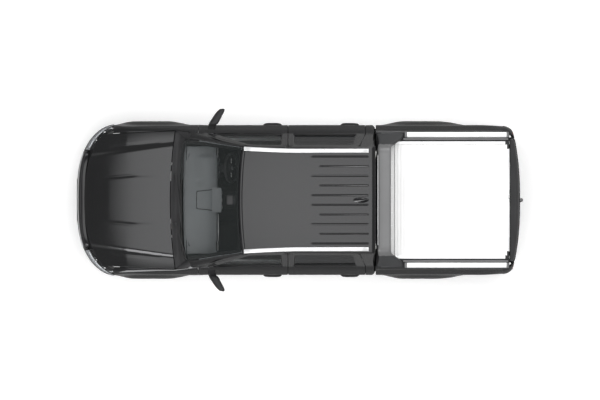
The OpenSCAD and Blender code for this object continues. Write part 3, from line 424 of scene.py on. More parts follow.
def piece(name, parts, mats, body, stands_for=(), bevel=0.0, sharp=38, segments=2, smooth=0):
    """One mesh object from closed parts, riding on a body. V goes in by foreach_set, doubled points at
    poles and seams are merged, and edges sharper than sharp degrees stay sharp."""
    V = np.concatenate([p[0] for p in parts])
    starts = np.cumsum([0] + [len(p[0]) for p in parts[:-1]])
    F = np.concatenate([p[1] + k for p, k in zip(parts, starts)])
    M = np.concatenate([p[2] for p in parts])
    V = V + np.array([NOSE, 0, 0])
    mesh = bpy.data.meshes.new(name)
    mesh.vertices.add(len(V))
    mesh.vertices.foreach_set("co", V.astype(np.float32).ravel())
    mesh.loops.add(F.size)
    mesh.loops.foreach_set("vertex_index", F.astype(np.int32).ravel())
    mesh.polygons.add(len(F))
    mesh.polygons.foreach_set("loop_start", np.arange(0, F.size, 4, dtype=np.int32))
    mesh.polygons.foreach_set("material_index", M.astype(np.int32))
    mesh.update(calc_edges=True)
    bm = bmesh.new()
    bm.from_mesh(mesh)
    bmesh.ops.remove_doubles(bm, verts=bm.verts, dist=1e-6)
    bmesh.ops.dissolve_degenerate(bm, edges=bm.edges, dist=1e-7)
    bm.to_mesh(mesh)
    bm.free()
    for m in mats if isinstance(mats, (list, tuple)) else [mats]:
        mesh.materials.append(m)
    mesh.shade_smooth()
    mesh.set_sharp_from_angle(angle=math.radians(sharp))
    obj = bpy.data.objects.new(name, mesh)
    bpy.context.scene.collection.objects.link(obj)
    if len(F) > THIN_ABOVE and mesh.materials[0] is not PAINT:
        m = obj.modifiers.new("thinned", "DECIMATE")
        m.ratio = THIN_RATIO
    if bevel:
        m = obj.modifiers.new("rounded_edges", "BEVEL")
        m.width, m.segments, m.limit_method = bevel, segments, "ANGLE"
        m.angle_limit = math.radians(sharp)
    if smooth:
        m = obj.modifiers.new("smoothed", "SUBSURF")
        m.levels = m.render_levels = smooth
    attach(obj, body)
    if stands_for:
        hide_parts(*([stands_for] if isinstance(stands_for, str) else stands_for))
    return obj


# ---------------------------------------------------------------- finishes


def finish(name, color, rough=0.5, metallic=0.0, coat=0.0, vary=0.12, grain=0.0, scale=200.0,
           pattern="noise",
           stretch=(1, 1, 1), alpha=1.0, sheen=0.0, spec=0.5, transmission=0.0, emit=0.0, blotch=3.0,
           rough_vary=0.08):
    """A finish worked out from Object coordinates: a broad noise shifts its colour and roughness a little,
    and a fine pattern (noise, cells, weave, ribs or flakes) gives its relief, grain metres deep."""
    m = bpy.data.materials.new(name)
    m.use_nodes = True
    nodes, links = m.node_tree.nodes, m.node_tree.links
    shader = nodes["Principled BSDF"]
    coords = nodes.new("ShaderNodeTexCoord").outputs["Object"]
    mapping = nodes.new("ShaderNodeMapping")
    mapping.inputs["Scale"].default_value = stretch
    links.new(coords, mapping.inputs["Vector"])
    broad = nodes.new("ShaderNodeTexNoise")
    broad.inputs["Scale"].default_value = blotch
    broad.inputs["Detail"].default_value = 6
    links.new(coords, broad.inputs["Vector"])
    ramp = nodes.new("ShaderNodeValToRGB")
    ramp.color_ramp.elements[0].position = 0.3
    ramp.color_ramp.elements[1].position = 0.7
    ramp.color_ramp.elements[0].color = [c * (1 - vary) for c in color] + [1]
    ramp.color_ramp.elements[1].color = [min(1, c * (1 + vary)) for c in color] + [1]
    if pattern == "noise":
        fine = nodes.new("ShaderNodeTexNoise")
        fine.inputs["Detail"].default_value = 4
        height = fine.outputs["Fac"]
    elif pattern in ("cells", "flakes"):
        fine = nodes.new("ShaderNodeTexVoronoi")
        height = fine.outputs["Distance" if pattern == "cells" else "Color"]
    else:
        fine = nodes.new("ShaderNodeTexWave")
        fine.bands_direction = "X"
        fine.inputs["Distortion"].default_value = 0.4 if pattern == "weave" else 0.0
        height = fine.outputs["Fac"]
    fine.inputs["Scale"].default_value = scale
    links.new(mapping.outputs["Vector"], fine.inputs["Vector"])
    if pattern == "weave":
        cross = nodes.new("ShaderNodeTexWave")
        cross.bands_direction = "Y"
        cross.inputs["Scale"].default_value = scale
        cross.inputs["Distortion"].default_value = 0.4
        links.new(mapping.outputs["Vector"], cross.inputs["Vector"])
        both_ways = nodes.new("ShaderNodeMath")
        both_ways.operation = "MAXIMUM"
        links.new(height, both_ways.inputs[0])
        links.new(cross.outputs["Fac"], both_ways.inputs[1])
        height = both_ways.outputs[0]
    if pattern == "flakes":
        # Each flake tilts the light a little its own way, and a few are brighter
        spark = nodes.new("ShaderNodeMix")
        spark.data_type = "RGBA"
        spark.blend_type = "OVERLAY"
        spark.inputs["Factor"].default_value = 0.22
        links.new(ramp.outputs["Color"], spark.inputs["A"])
        links.new(height, spark.inputs["B"])
        links.new(spark.outputs["Result"], shader.inputs["Base Color"])
    else:
        links.new(ramp.outputs["Color"], shader.inputs["Base Color"])
    links.new(broad.outputs["Fac"], ramp.inputs["Fac"])
    if rough_vary:
        span_r = nodes.new("ShaderNodeMapRange")
        span_r.inputs["To Min"].default_value = max(0.0, rough - rough_vary)
        span_r.inputs["To Max"].default_value = min(1.0, rough + rough_vary)
        links.new(broad.outputs["Fac"], span_r.inputs["Value"])
        links.new(span_r.outputs["Result"], shader.inputs["Roughness"])
    else:
        shader.inputs["Roughness"].default_value = rough
    if grain:
        bump = nodes.new("ShaderNodeBump")
        bump.inputs["Strength"].default_value = 1.0
        bump.inputs["Distance"].default_value = grain
        links.new(height, bump.inputs["Height"])
        links.new(bump.outputs["Normal"], shader.inputs["Normal"])
    shader.inputs["Metallic"].default_value = metallic
    shader.inputs["Coat Weight"].default_value = coat
    shader.inputs["Coat Roughness"].default_value = 0.03
    shader.inputs["Alpha"].default_value = alpha
    shader.inputs["Sheen Weight"].default_value = sheen
    shader.inputs["Specular IOR Level"].default_value = spec
    shader.inputs["Transmission Weight"].default_value = transmission
    if emit:
        shader.inputs["Emission Color"].default_value = list(color) + [1]
        shader.inputs["Emission Strength"].default_value = emit
    return m


PAINT = finish("graphite_paint", (0.036, 0.0365, 0.038), 0.22, 0.75, 1.0, 0.05, 0.00002, 1400, "flakes")
TRIM = finish("moulded_black", (0.020, 0.020, 0.021), 0.62, vary=0.2, grain=0.00025, scale=900,
              pattern="cells")
GLOSS = finish("piano_black", (0.010, 0.010, 0.011), 0.12, coat=0.6, vary=0.1, rough_vary=0.04)
RUBBER = finish("seal_rubber", (0.013, 0.013, 0.013), 0.75, vary=0.25, grain=0.0002, scale=500)
TYRE = finish("tyre_rubber", (0.017, 0.017, 0.0175), 0.82, vary=0.25, grain=0.0003, scale=260, blotch=9)
GLASS = finish("tinted_glass", (0.020, 0.024, 0.024), 0.03, vary=0.02, alpha=0.30, spec=0.9,
               rough_vary=0.01)
DARK_GLASS = finish("privacy_glass", (0.012, 0.013, 0.014), 0.03, vary=0.02, alpha=0.82, spec=0.9,
                    rough_vary=0.01)
SATIN = finish("satin_aluminium", (0.90, 0.905, 0.91), 0.30, 0.55, vary=0.04, grain=0.00003, scale=500,
               stretch=(0.04, 1, 1))
SLAT = finish("anodised_slats", (0.78, 0.78, 0.78), 0.42, 0.30, vary=0.03, grain=0.00003, scale=600,
              stretch=(1, 0.03, 1))
BAR = finish("bar_powder_coat", (0.165, 0.166, 0.168), 0.45, 0.3, vary=0.08, grain=0.00008, scale=900)
DARK_BAR = finish("bar_textured", (0.045, 0.046, 0.048), 0.55, 0.2, vary=0.1, grain=0.0002, scale=700,
                  pattern="cells")
STEEL = finish("bright_steel", (0.62, 0.62, 0.63), 0.22, 1.0, vary=0.08, grain=0.00004, scale=700)
IRON = finish("cast_iron", (0.11, 0.108, 0.105), 0.68, 0.6, vary=0.3, grain=0.0006, scale=160, blotch=14)
DISC = finish("brake_disc", (0.45, 0.44, 0.43), 0.38, 1.0, vary=0.15, grain=0.00008, scale=500)
CHASSIS = finish("chassis_black", (0.028, 0.028, 0.03), 0.5, 0.2, vary=0.3, grain=0.0003, scale=90,
                 blotch=8)
ALLOY = finish("rim_graphite", (0.16, 0.162, 0.165), 0.28, 0.85, 0.7, 0.06, 0.00002, 900)
MACHINED = finish("rim_machined", (0.66, 0.665, 0.67), 0.2, 1.0, 0.5, 0.05, 0.00002, 700)
CABIN = finish("cabin_plastic", (0.315, 0.335, 0.345), 0.6, vary=0.08, grain=0.0003, scale=700,
               pattern="cells")
DARK_CABIN = finish("cabin_black", (0.026, 0.026, 0.027), 0.55, vary=0.12, grain=0.0003, scale=700,
                    pattern="cells")
LEATHER = finish("black_leather", (0.036, 0.036, 0.037), 0.42, vary=0.15, grain=0.0006, scale=260,
                 pattern="cells")
CLOTH = finish("seat_weave", (0.050, 0.051, 0.055), 0.9, vary=0.18, grain=0.0006, scale=140,
               pattern="weave",
               sheen=0.4)
CARPET = finish("floor_carpet", (0.02, 0.02, 0.021), 0.97, vary=0.35, grain=0.002, scale=420, sheen=0.3)
LINING = finish("roof_lining", (0.32, 0.32, 0.31), 0.95, vary=0.06, grain=0.0004, scale=500, sheen=0.2)
LENS = finish("lamp_lens", (0.72, 0.75, 0.78), 0.04, vary=0.02, alpha=0.25, spec=0.8, rough_vary=0.01)
REFLECTOR = finish("lamp_chrome", (0.86, 0.87, 0.88), 0.08, 1.0, vary=0.03, rough_vary=0.03)
RED = finish("lamp_red", (0.42, 0.012, 0.014), 0.12, coat=0.8, vary=0.08, grain=0.0004, scale=160,
             pattern="ribs",
             rough_vary=0.03)
AMBER = finish("lamp_amber", (0.75, 0.25, 0.02), 0.15, coat=0.6, vary=0.06, grain=0.0003, scale=200,
               pattern="ribs")
SCREEN = finish("display_glass", (0.012, 0.014, 0.017), 0.08, coat=0.8, vary=0.1, rough_vary=0.03)
WHITE = finish("dial_white", (0.7, 0.7, 0.7), 0.5, vary=0.03)
LINER = finish("bed_liner", (0.018, 0.018, 0.019), 0.7, vary=0.2, grain=0.0008, scale=340,
               pattern="cells")

# ---------------------------------------------------------------- camera, floor and light

CAMERA_HEIGHT = 150.0
VIEW_WIDTH = 7.296
CAMERA_X = -0.006
# Brightness of the sky by height, from straight down (0) through the horizon (0.5) to overhead (1)
SKY = [(0.0, 0.14), (0.49, 0.15), (0.52, 0.30), (0.62, 0.16), (0.80, 0.09), (0.955, 0.09), (0.985, 0.86),
       (1.0, 0.92)]
SKY_STRENGTH = 1.5


def stage_set():
    """A camera straight above the truck, a pale floor, one broad soft light overhead and two at the sides."""
    cam = bpy.data.cameras.new("camera")
    cam.sensor_width = 36
    cam.lens = 36 * (CAMERA_HEIGHT - 1.05) / VIEW_WIDTH
    cam.clip_end = 600
    eye = bpy.data.objects.new("camera", cam)
    eye.location = (CAMERA_X, 0.0, CAMERA_HEIGHT)
    bpy.context.scene.collection.objects.link(eye)
    bpy.context.scene.camera = eye
    x, y = np.meshgrid(np.linspace(-40, 40, 9), np.linspace(-40, 40, 9), indexing="ij")
    P = np.stack([x, y, 0 * x - 0.0005], -1)
    mesh = bpy.data.meshes.new("floor")
    mesh.from_pydata(P.reshape(-1, 3).tolist(), [], quads(9, 9).tolist())
    floor = bpy.data.objects.new("floor", mesh)
    bpy.context.scene.collection.objects.link(floor)
    mesh.materials.append(finish("pale_floor", (0.95, 0.95, 0.95), 0.8, vary=0.004, spec=0.1, emit=0.22))
    floor.visible_glossy = False
    # The studio's sky: bright straight overhead, dim round it, a little lighter at the horizon
    world = bpy.data.worlds.new("studio")
    world.use_nodes = True
    nodes, links = world.node_tree.nodes, world.node_tree.links
    height = nodes.new("ShaderNodeSeparateXYZ")
    links.new(nodes.new("ShaderNodeTexCoord").outputs["Generated"], height.inputs["Vector"])
    level = nodes.new("ShaderNodeMapRange")
    level.inputs["From Min"].default_value = -1
    links.new(height.outputs["Z"], level.inputs["Value"])
    sky = nodes.new("ShaderNodeValToRGB")
    sky.color_ramp.elements.remove(sky.color_ramp.elements[1])
    for at, light in SKY:
        stop = sky.color_ramp.elements.new(at)
        stop.color = (light, light, light, 1)
    links.new(level.outputs["Result"], sky.inputs["Fac"])
    links.new(sky.outputs["Color"], nodes["Background"].inputs["Color"])
    nodes["Background"].inputs["Strength"].default_value = SKY_STRENGTH
    bpy.context.scene.world = world
    bpy.context.scene.view_settings.view_transform = "Standard"
    for name, size, power, at, look, glossy in [
            ("overhead_softbox", 12.0, 1250, (0.4, 0.0, 10.0), (0, 0, 0), False),
            ("left_softbox", 5.0, 330, (-3.0, -8.0, 5.0), (1.0, 0, -0.35), True),
            ("right_softbox", 5.0, 330, (3.0, 8.0, 5.0), (-1.0, 0, 0.35), True)]:
        data = bpy.data.lights.new(name, "AREA")
        data.size, data.energy = size, power
        lamp = bpy.data.objects.new(name, data)
        lamp.location, lamp.rotation_euler = at, look
        lamp.visible_glossy = glossy
        bpy.context.scene.collection.objects.link(lamp)


stage_set()

# ---------------------------------------------------------------- nose


def arch_z(s, axle):
    """Height of the body's lower edge: the wheel-arch circle near the axle, the sill elsewhere."""
    d = np.abs(s - axle)
    return np.where(d < ARCH_R, np.maximum(SILL, HUB_Z + np.sqrt(np.maximum(0, ARCH_R ** 2 - d * d))),
                    SILL)


def arch_stations(axle, n):
    """Stations spaced by equal angles round the arch, so that its edge is even."""
    return axle - ARCH_R * np.cos(np.linspace(0, np.pi, n))


def press(s, z):
    """The pressed shape of the side panels: a shoulder line that swells 9 mm under the belt, a hollow
    below it, and a soft swell above the sill."""
    shoulder = 0.009 * ridge(z - 1.075, 0.075)
    hollow = -0.007 * ridge(z - 0.90, 0.16)
    low = 0.010 * ridge(z - 0.56, 0.10)
    near = ease((s - 0.55) / 0.4) * ease((TAIL - 0.12 - s) / 0.3)
    return (shoulder + hollow + low) * near


def side(s, z):
    """The side skin with its pressed shape, as points on the right-hand side."""
    s, z = np.broadcast_arrays(s, z)
    return np.stack([s, side_y(s, z) + press(s, z), z], -1)


def wing_top(s):
    """The wing's inner edge: along the bonnet's gap, then from its rear corner to the pillar's foot."""
    edge_z = bonnet_z(s, bonnet_y(s))
    z1 = bonnet_z(np.array(BONNET1), bonnet_y(BONNET1))
    k = (s - BONNET1) / (DOOR1 - BONNET1)
    y = np.where(s < BONNET1, bonnet_y(s) + GAP,
                 mix(bonnet_y(BONNET1) + GAP, side_y(s, BELT - 0.014) - 0.002, k))
    return y, np.where(s < BONNET1, edge_z, mix(z1, BELT - 0.014, k))


def wings():
    """Each wing rises from the arch's edge up the side skin and rolls over to the bonnet along a
    quadratic curve; a lip turns in round the arch."""
    s = np.concatenate([arch_stations(FRONT, 44), np.linspace(FRONT + ARCH_R, DOOR1 - GAP, 12)[1:]])[:,
                                                                                                     None]
    ty, tz = wing_top(s)
    z1 = tz - 0.042
    k = np.linspace(0, 1, 56)[None]
    z = mix(arch_z(s, FRONT), z1, k)
    low = side(s, z)
    k = np.linspace(0, 1, 16)[None, 1:]
    y1 = side(s, z1)[..., 1]
    roll = np.stack(np.broadcast_arrays(s, bend(y1, np.maximum(ty + 0.004, side_y(s, tz - 0.004)), ty, k),
                                        bend(z1, tz - 0.003, tz, k)), -1)
    P = np.concatenate([low, roll], 1)
    shell = skin(P, 0.012, away=(0, 1, 0.3))
    a = np.linspace(0.03, np.pi - 0.03, 48)
    ring = np.stack([FRONT - ARCH_R * np.cos(a), 0 * a, HUB_Z + ARCH_R * np.sin(a)], -1)
    ring[:, 1] = side_y(ring[:, 0], ring[:, 2])
    depth = np.linspace(0, 1, 5)[None, :, None]
    lip = ring[:, None] - depth * np.array([0, 0.045, 0])
    lip = lip + 0 * depth
    centre = np.array([FRONT, 0, HUB_Z])
    out = (lip - centre) * np.array([1, 0, 1])
    out /= np.linalg.norm(out, axis=-1, keepdims=True)
    edge = slab(lip - 0.001 * out, lip + 0.012 * out)
    piece("front_wing_panels", both([shell, edge]), PAINT, "chassis", "front_wings",
          bevel=0.002)
    # A slim side repeater with an air vent behind each wheel
    vent_s, vent_z = FRONT + 0.47, 0.985
    ss, zz = np.meshgrid(np.linspace(vent_s, vent_s + 0.16, 14), np.linspace(0, 1, 8), indexing="ij")
    zz = vent_z + (zz - 0.5) * 0.052 * np.sqrt(np.maximum(0.02, 1 - ((ss - vent_s - 0.08) / 0.082) ** 2))
    plate = side(ss, zz)
    plate[..., 1] += 0.006
    parts = [skin(plate, 0.008, away=(0, 1, 0))]
    for k in range(3):
        line = side(np.linspace(vent_s + 0.03, vent_s + 0.135 - 0.01 * k, 8), vent_z + 0.012 - 0.012 * k)
        line[:, 1] += 0.007
        parts.append(tube(line, 0.0025, 8, mat=1))
    piece("wing_vents", both(parts), [GLOSS, SATIN], "chassis", bevel=0.001)


def bonnet_skin(u, v):
    """A point of the bonnet's top, u along it and v across, with two shallow creases each side of the
    middle and one outside the chamfer."""
    u, v = np.broadcast_arrays(u, v)
    s = mix(bonnet_front(v), bonnet_rear(v), u)
    y = v * bonnet_y(s)
    z = bonnet_z(s, y)
    a = np.abs(y)
    inner = mix(0.272, 0.300, clamp((s - 0.35) / 0.35))
    z = z - 0.0050 * ridge(a - inner, 0.020) * ease((s - 0.30) / 0.08) * ease((BONNET1 - 0.40 - s) / 0.20)
    z = z + 0.0035 * ease((inner - a) / 0.03) * ease((s - 0.30) / 0.08) * ease((BONNET1 - 0.12 - s) / 0.2)
    outer = mix(0.632, 0.690, clamp((s - 0.43) / 0.56))
    z = z - 0.0050 * ridge(a - outer - 0.012, 0.022) * ease((s - 0.38) / 0.1) * ease((1.05 - s) / 0.1)
    return np.stack([s, y, z], -1)


def bonnet():
    """The bonnet's outer skin over an inner panel whose stiffening hollows are a product of two waves."""
    u = np.linspace(0, 1, 58)[:, None]
    v = np.linspace(-1, 1, 119)[None]
    P = bonnet_skin(u, v)
    frame_in = ease(u / 0.1) * ease((1 - u) / 0.1) * ease((1 - np.abs(v)) / 0.08)
    wave = np.clip(np.sin(np.pi * (u * 3 + 0.0)) ** 2 * np.cos(np.pi * v * 3.5) ** 2 * 2.2, 0, 1)
    depth = 0.020 - 0.012 * frame_in * wave
    under = P - np.stack([0 * depth, 0 * depth, depth], -1)
    piece("bonnet_panel", [slab(P, under, mats=(0, 1, 0))], [PAINT, TRIM], "bonnet", "bonnet",
          bevel=0.003)
    # Chrome-free leading strip and the rubber seal near the rear edge, under the skin
    v1 = np.linspace(-0.93, 0.93, 52)
    seal = bonnet_skin(np.full_like(v1, 0.965), v1) - np.array([0, 0, 0.024])
    front = bonnet_skin(np.full_like(v1, 0.03), v1) - np.array([0, 0, 0.022])
    latch = block((BONNET0 + 0.075, -0.03, 0.99), (BONNET0 + 0.10, 0.03, 1.03), 0.004, mat=1)
    piece("bonnet_seal_and_latch", [tube(seal, 0.005, 8), tube(front, 0.004, 8), latch], [RUBBER, STEEL],
          "bonnet")


def nose_skin(y, z):
    """A point of the nose at a distance from the centre line and a height."""
    y, z = np.broadcast_arrays(y, z)
    return np.stack([nose_s(y, z), y, z], -1)


LAMP_END = FRONT - ARCH_R - 0.005
LAMP_Y = 0.525


def nose_path(z, y0, k):
    """Along the nose from y0 outward and round to the wheel arch at k = 1, evenly by the sine of k."""
    z = np.asarray(z, float)
    y1 = side_y(LAMP_END, z)
    y = mix(y0, y1, np.sin(np.pi / 2 * k))
    s = np.minimum(LAMP_END, nose_s(y, z))
    s = np.where(k >= 1, LAMP_END, s)
    return np.stack(np.broadcast_arrays(s, y, z), -1)


def bumper():
    """The painted bumper: a skin round the nose, deepest at the middle, with a raised centre bar, an
    open lower grille between two corner vents, and a satin guard under it."""
    z0, z1 = span("front_bumper", 2)
    k = np.linspace(0, 1, 52)[None]
    z = np.linspace(0.0, 1.0, 30)[:, None]
    parts = []
    # Below the grille: a band from 0.49 to 0.645 over the middle, wrapping round as the corners
    zz = mix(0.49, 0.645, z)
    P = nose_path(zz, 0.0, k)
    P[..., 0] -= 0.012 * ridge(zz - 0.60, 0.03) * (k < 0.96)
    parts.append(skin(P, 0.03, away=(-1, 0.5, 0)))
    # Corners beside the grille, up to the headlamps
    zz = mix(0.645, z1, z)
    P = nose_path(zz, 0.60, np.linspace(0, 1, 50)[None])
    parts.append(skin(P, 0.03, away=(-0.6, 1, 0)))
    # Lower corners beside the lower intake
    zz = mix(z0 + 0.02, 0.49, z)
    P = nose_path(zz, 0.66, np.linspace(0, 1, 50)[None])
    parts.append(skin(P, 0.03, away=(-0.6, 1, 0)))
    piece("front_bumper_skin", both(parts), PAINT, "chassis", "front_bumper", bevel=0.003)
    # Lower intake: a recessed black bay with slats, and a skid guard under it
    ys = np.linspace(-0.67, 0.67, 40)[None]
    zz = np.linspace(z0 + 0.03, 0.50, 12)[:, None]
    bay = nose_skin(ys, zz)
    bay[..., 0] += 0.035
    parts = [skin(bay, 0.02, away=(-1, 0, 0))]
    for height in np.linspace(0.395, 0.475, 4):
        line = nose_skin(np.linspace(-0.66, 0.66, 50), np.full(50, height))
        line[:, 0] += 0.018
        parts.append(tube(line, 0.008, 10, flat=0.7))
    guard = nose_skin(ys * 0.72, np.linspace(z0, 0.375, 8)[:, None])
    guard[..., 0] += 0.004
    parts.append(skin(guard, 0.016, mats=(1, 1, 1), away=(-1, 0, 0)))
    for y in (-0.52, 0.52):
        ring = turned([(0.001, 0.0), (0.036, 0.0), (0.044, 0.012), (0.044, 0.03), (0.001, 0.03)],
                      (float(nose_s(np.array(y), np.array(0.43))) + 0.016, y, 0.43), 40, 2, axis=0)
        parts.append(ring)
    plate = nose_skin(np.linspace(-0.26, 0.26, 24)[None], np.linspace(0.515, 0.62, 6)[:, None])
    plate[..., 0] = plate[..., 0].min() - 0.014
    parts.append(skin(plate, 0.006, mats=(3, 3, 3), away=(-1, 0, 0)))
    piece("lower_grille_and_guard", parts, [TRIM, SATIN, LENS, WHITE], "chassis",
          bevel=0.0015)


def grille():
    """A black surround, five cross bars carried along the nose, upright rods behind them and a black sheet at
    the back.
    """
    z0, z1 = span("grille", 2)
    ys = np.linspace(-0.585, 0.585, 46)
    half = 0.585
    parts = []
    back = nose_skin(ys[None], np.linspace(z0, z1, 16)[:, None])
    back[..., 0] += 0.052
    parts.append(skin(back, 0.012, away=(-1, 0, 0)))
    for k, z in enumerate(np.linspace(z0 + 0.05, z1 - 0.045, 5)):
        line = nose_skin(ys * 0.965, np.full_like(ys, z))
        line[:, 0] += 0.020
        parts.append(carried(line,
                             [(-0.018, -0.011), (-0.022, 0.0), (-0.016, 0.013), (0.016, 0.010),
                              (0.016, -0.010)],
                             mat=1 if k != 2 else 2))
    for y in np.linspace(-half, half, 40):
        z = np.linspace(z0 + 0.01, z1 - 0.01, 12)
        line = nose_skin(np.full_like(z, y), z)
        line[:, 0] += 0.038
        parts.append(tube(line, 0.004, 6, up=(1, 0, 0)))
    a = np.linspace(0, 2 * np.pi, 120, endpoint=False)
    c, w = np.cos(a), np.sin(a)
    ry = np.sign(c) * np.abs(c) ** 0.35 * 0.588
    rz = (z0 + z1) / 2 + np.sign(w) * np.abs(w) ** 0.35 * ((z1 - z0) / 2 - 0.008)
    loop = nose_skin(ry, rz)
    loop[:, 0] += 0.008
    rim = np.array([(0.0, 0.0), (0.012, 0.006), (0.016, 0.018), (0.012, 0.030), (0.0, 0.036)])
    centre = loop.mean(0)
    inward = (centre - loop) * np.array([0, 1, 1])
    inward /= np.linalg.norm(inward, axis=1, keepdims=True)
    P = loop[None] + inward[None] * rim[:, 1, None, None] - np.array([1.0, 0, 0]) * rim[:, 0, None, None]
    parts.append(slab(P, P + np.array([0.03, 0, 0]), wrap=True, mats=(1, 1, 1)))
    piece("radiator_grille", parts, [TRIM, GLOSS, SATIN], "chassis", "grille",
          bevel=0.0012)


def headlamps():
    """Each headlamp: a clear cover that follows the nose, a dark bowl behind it, two round projectors
    and a light guide bent like a hook."""
    z0, z1 = span("headlamps", 2)
    k = np.linspace(0.02, 1, 60)[None]
    z = np.linspace(0, 1, 16)[:, None]
    zz = mix(z0 + 0.012 + 0.05 * k ** 2, z1 + 0.0 * k, z)
    cover = nose_path(zz, LAMP_Y + 0.072, k)
    edge = np.minimum(1, ease(np.minimum(z, 1 - z) / 0.12) + 0.3)
    cover[..., 0] += 0.006 * (1 - edge)
    inward = np.stack([1 - 0.8 * k ** 2, -0.2 - 0.8 * k ** 2, 0 * k], -1)
    outer = skin(cover, 0.004, away=(-0.7, 0.7, 0))
    back = cover + inward * 0.055
    bowl = skin(back, 0.01, mats=(1, 1, 1), away=(-0.7, 0.7, 0))
    rim_path = np.concatenate([cover[0, ::2], cover[1:-1, -1], cover[-1, ::-2], cover[::-1, 0]])
    rim = tube(rim_path + inward.mean((0, 1)) * 0.004, 0.006, 8, mat=3)
    parts = [outer, bowl, rim]
    for t, r in ((0.30, 0.042), (0.60, 0.038)):
        p = back[8, int(t * 59)]
        for radius, mat, ahead in ((r, 2, 0.0), (r * 0.72, 4, 0.012)):
            profile = [(0.0005, -0.028), (radius * 0.6, -0.024), (radius, -0.006), (radius * 0.96, 0.012),
                       (0.0005, 0.014)]
            parts.append(turned(profile, p - np.array([0.012 + ahead, 0, -0.003]), 36, mat, axis=0))
    guide = np.concatenate([back[2, 4:52:2], back[3:13, 52]]) - inward.mean((0, 1)) * 0.022
    parts.append(tube(guide, 0.006, 8, mat=5))
    lens_white = finish("light_guide", (0.9, 0.93, 0.96), 0.2, vary=0.02, emit=0.15)
    piece("headlamp_units", both(parts), [LENS, DARK_CABIN, REFLECTOR, RUBBER, LENS, lens_white],
          "chassis",
          "headlamps")


def engine_bay():
    """Under the bonnet: liners round the arches, the radiator with its tanks, the cross panel that holds
    the lock, a cover over the engine with ribs, a battery and two filler caps."""
    parts = []
    a = np.linspace(0.03, np.pi - 0.03, 40)[:, None]
    y = np.linspace(0.47, 0.785, 12)[None]
    r = ARCH_R + 0.006 - 0.004 * np.sin(np.pi * 8 * (y - 0.47) / 0.315) ** 2
    P = np.stack(np.broadcast_arrays(FRONT - r * np.cos(a), y, HUB_Z + r * np.sin(a)), -1)
    parts += both([slab(P, P + 0.008 * (P - np.array([FRONT, 0, HUB_Z])) * np.array([1, 0, 1]) / ARCH_R)])
    parts += both([block((FRONT - 0.42, 0.458, HUB_Z + 0.06), (FRONT + 0.37, 0.470, 0.99), 0.005),
                   block((FRONT - 0.42, 0.458, 0.975), (FRONT + 0.37, 0.72, 0.99), 0.006)])
    parts.append(block((0.300, -0.715, 0.975), (0.350, 0.715, 0.998), 0.006))
    for y in np.linspace(-0.36, 0.36, 25):
        parts.append(block((0.312, y - 0.009, 0.632), (0.350, y + 0.009, 0.955), 0.004, 1, mat=2))
    parts.append(block((0.300, -0.39, 0.60), (0.362, 0.39, 0.635), 0.01, mat=0))
    parts.append(block((0.300, -0.39, 0.95), (0.362, 0.39, 0.976), 0.008, mat=0))
    parts.append(block((FRONT - 0.36, 0.27, 0.80), (FRONT - 0.08, 0.445, 0.985), 0.012, mat=0))
    parts.append(block((FRONT + 0.02, -0.44, 0.82), (FRONT + 0.24, -0.27, 0.97), 0.03, mat=3))
    for at in ((FRONT + 0.13, -0.36, 0.965), (0.33, 0.30, 0.985)):
        parts.append(turned([(0.0005, 0.0), (0.03, 0.0), (0.032, 0.012), (0.026, 0.02), (0.0005, 0.02)],
                            at, 24, 0, axis=2))
    piece("engine_bay_fittings", parts, [TRIM, IRON, STEEL, WHITE], "chassis", "engine_bay",
          bevel=0.001)
    parts = [block((FRONT - 0.29, -0.22, 1.0295), (FRONT + 0.33, 0.22, 1.052), 0.012)]
    for y in np.linspace(-0.15, 0.15, 5):
        parts.append(block((FRONT - 0.24, y - 0.01, 1.050), (FRONT + 0.28, y + 0.01, 1.060), 0.004))
    piece("engine_cover", parts, DARK_CABIN, "chassis")


wings()
bonnet()
bumper()
grille()
headlamps()
engine_bay()

# ---------------------------------------------------------------- cab


def outline(corners, radii, side_n=14, arc_n=6, closed=True):
    """A polygon with its corners cut by quadratic curves: radii says how far from each corner its curve
    starts. Points run evenly along every side and curve."""
    c = np.asarray(corners, float)
    n = len(c)
    out = []
    for i in range(n if closed else n - 1):
        a, b = c[i], c[(i + 1) % n]
        u = (b - a) / np.linalg.norm(b - a)
        ra = radii[i] if closed or i else 0.0
        rb = radii[(i + 1) % n] if closed or i < n - 2 else 0.0
        t = np.linspace(0, 1, side_n)[:, None]
        out.append(mix(a + u * ra, b - u * rb, t))
        if closed or i < n - 2:
            d = c[(i + 2) % n] - b
            d = d / np.linalg.norm(d)
            t = np.linspace(0, 1, arc_n + 2)[1:-1, None]
            out.append(bend(b - u * rb, b, b + d * rb, t))
    return np.concatenate(out)


def ring_between(inner, outer, n):
    """Rows of points from the inner line to the outer one, n of them."""
    t = np.linspace(0, 1, n)[:, None, None]
    return inner[None] + (outer - inner)[None] * t


def roof_edge(s):
    """The roof's side edge above the doors, as distance from the centre line and height."""
    z = door_top(s) + GAP
    return side_y(s, z), z


def groove(s, y):
    """Depth of the ten pressed grooves: each a narrow trough along the roof, the starts staggered."""
    k = np.arange(5)
    at = 0.059 + 0.1176 * k
    start = ROOF0 + np.where(k % 2 == 0, 0.83, 0.93)
    across = ridge(np.abs(y)[..., None] - at, 0.010)
    along = ease((s[..., None] - start) / 0.02) * ease((CAB_END - 0.075 - s[..., None]) / 0.02)
    return 0.0055 * (across * along).sum(-1)


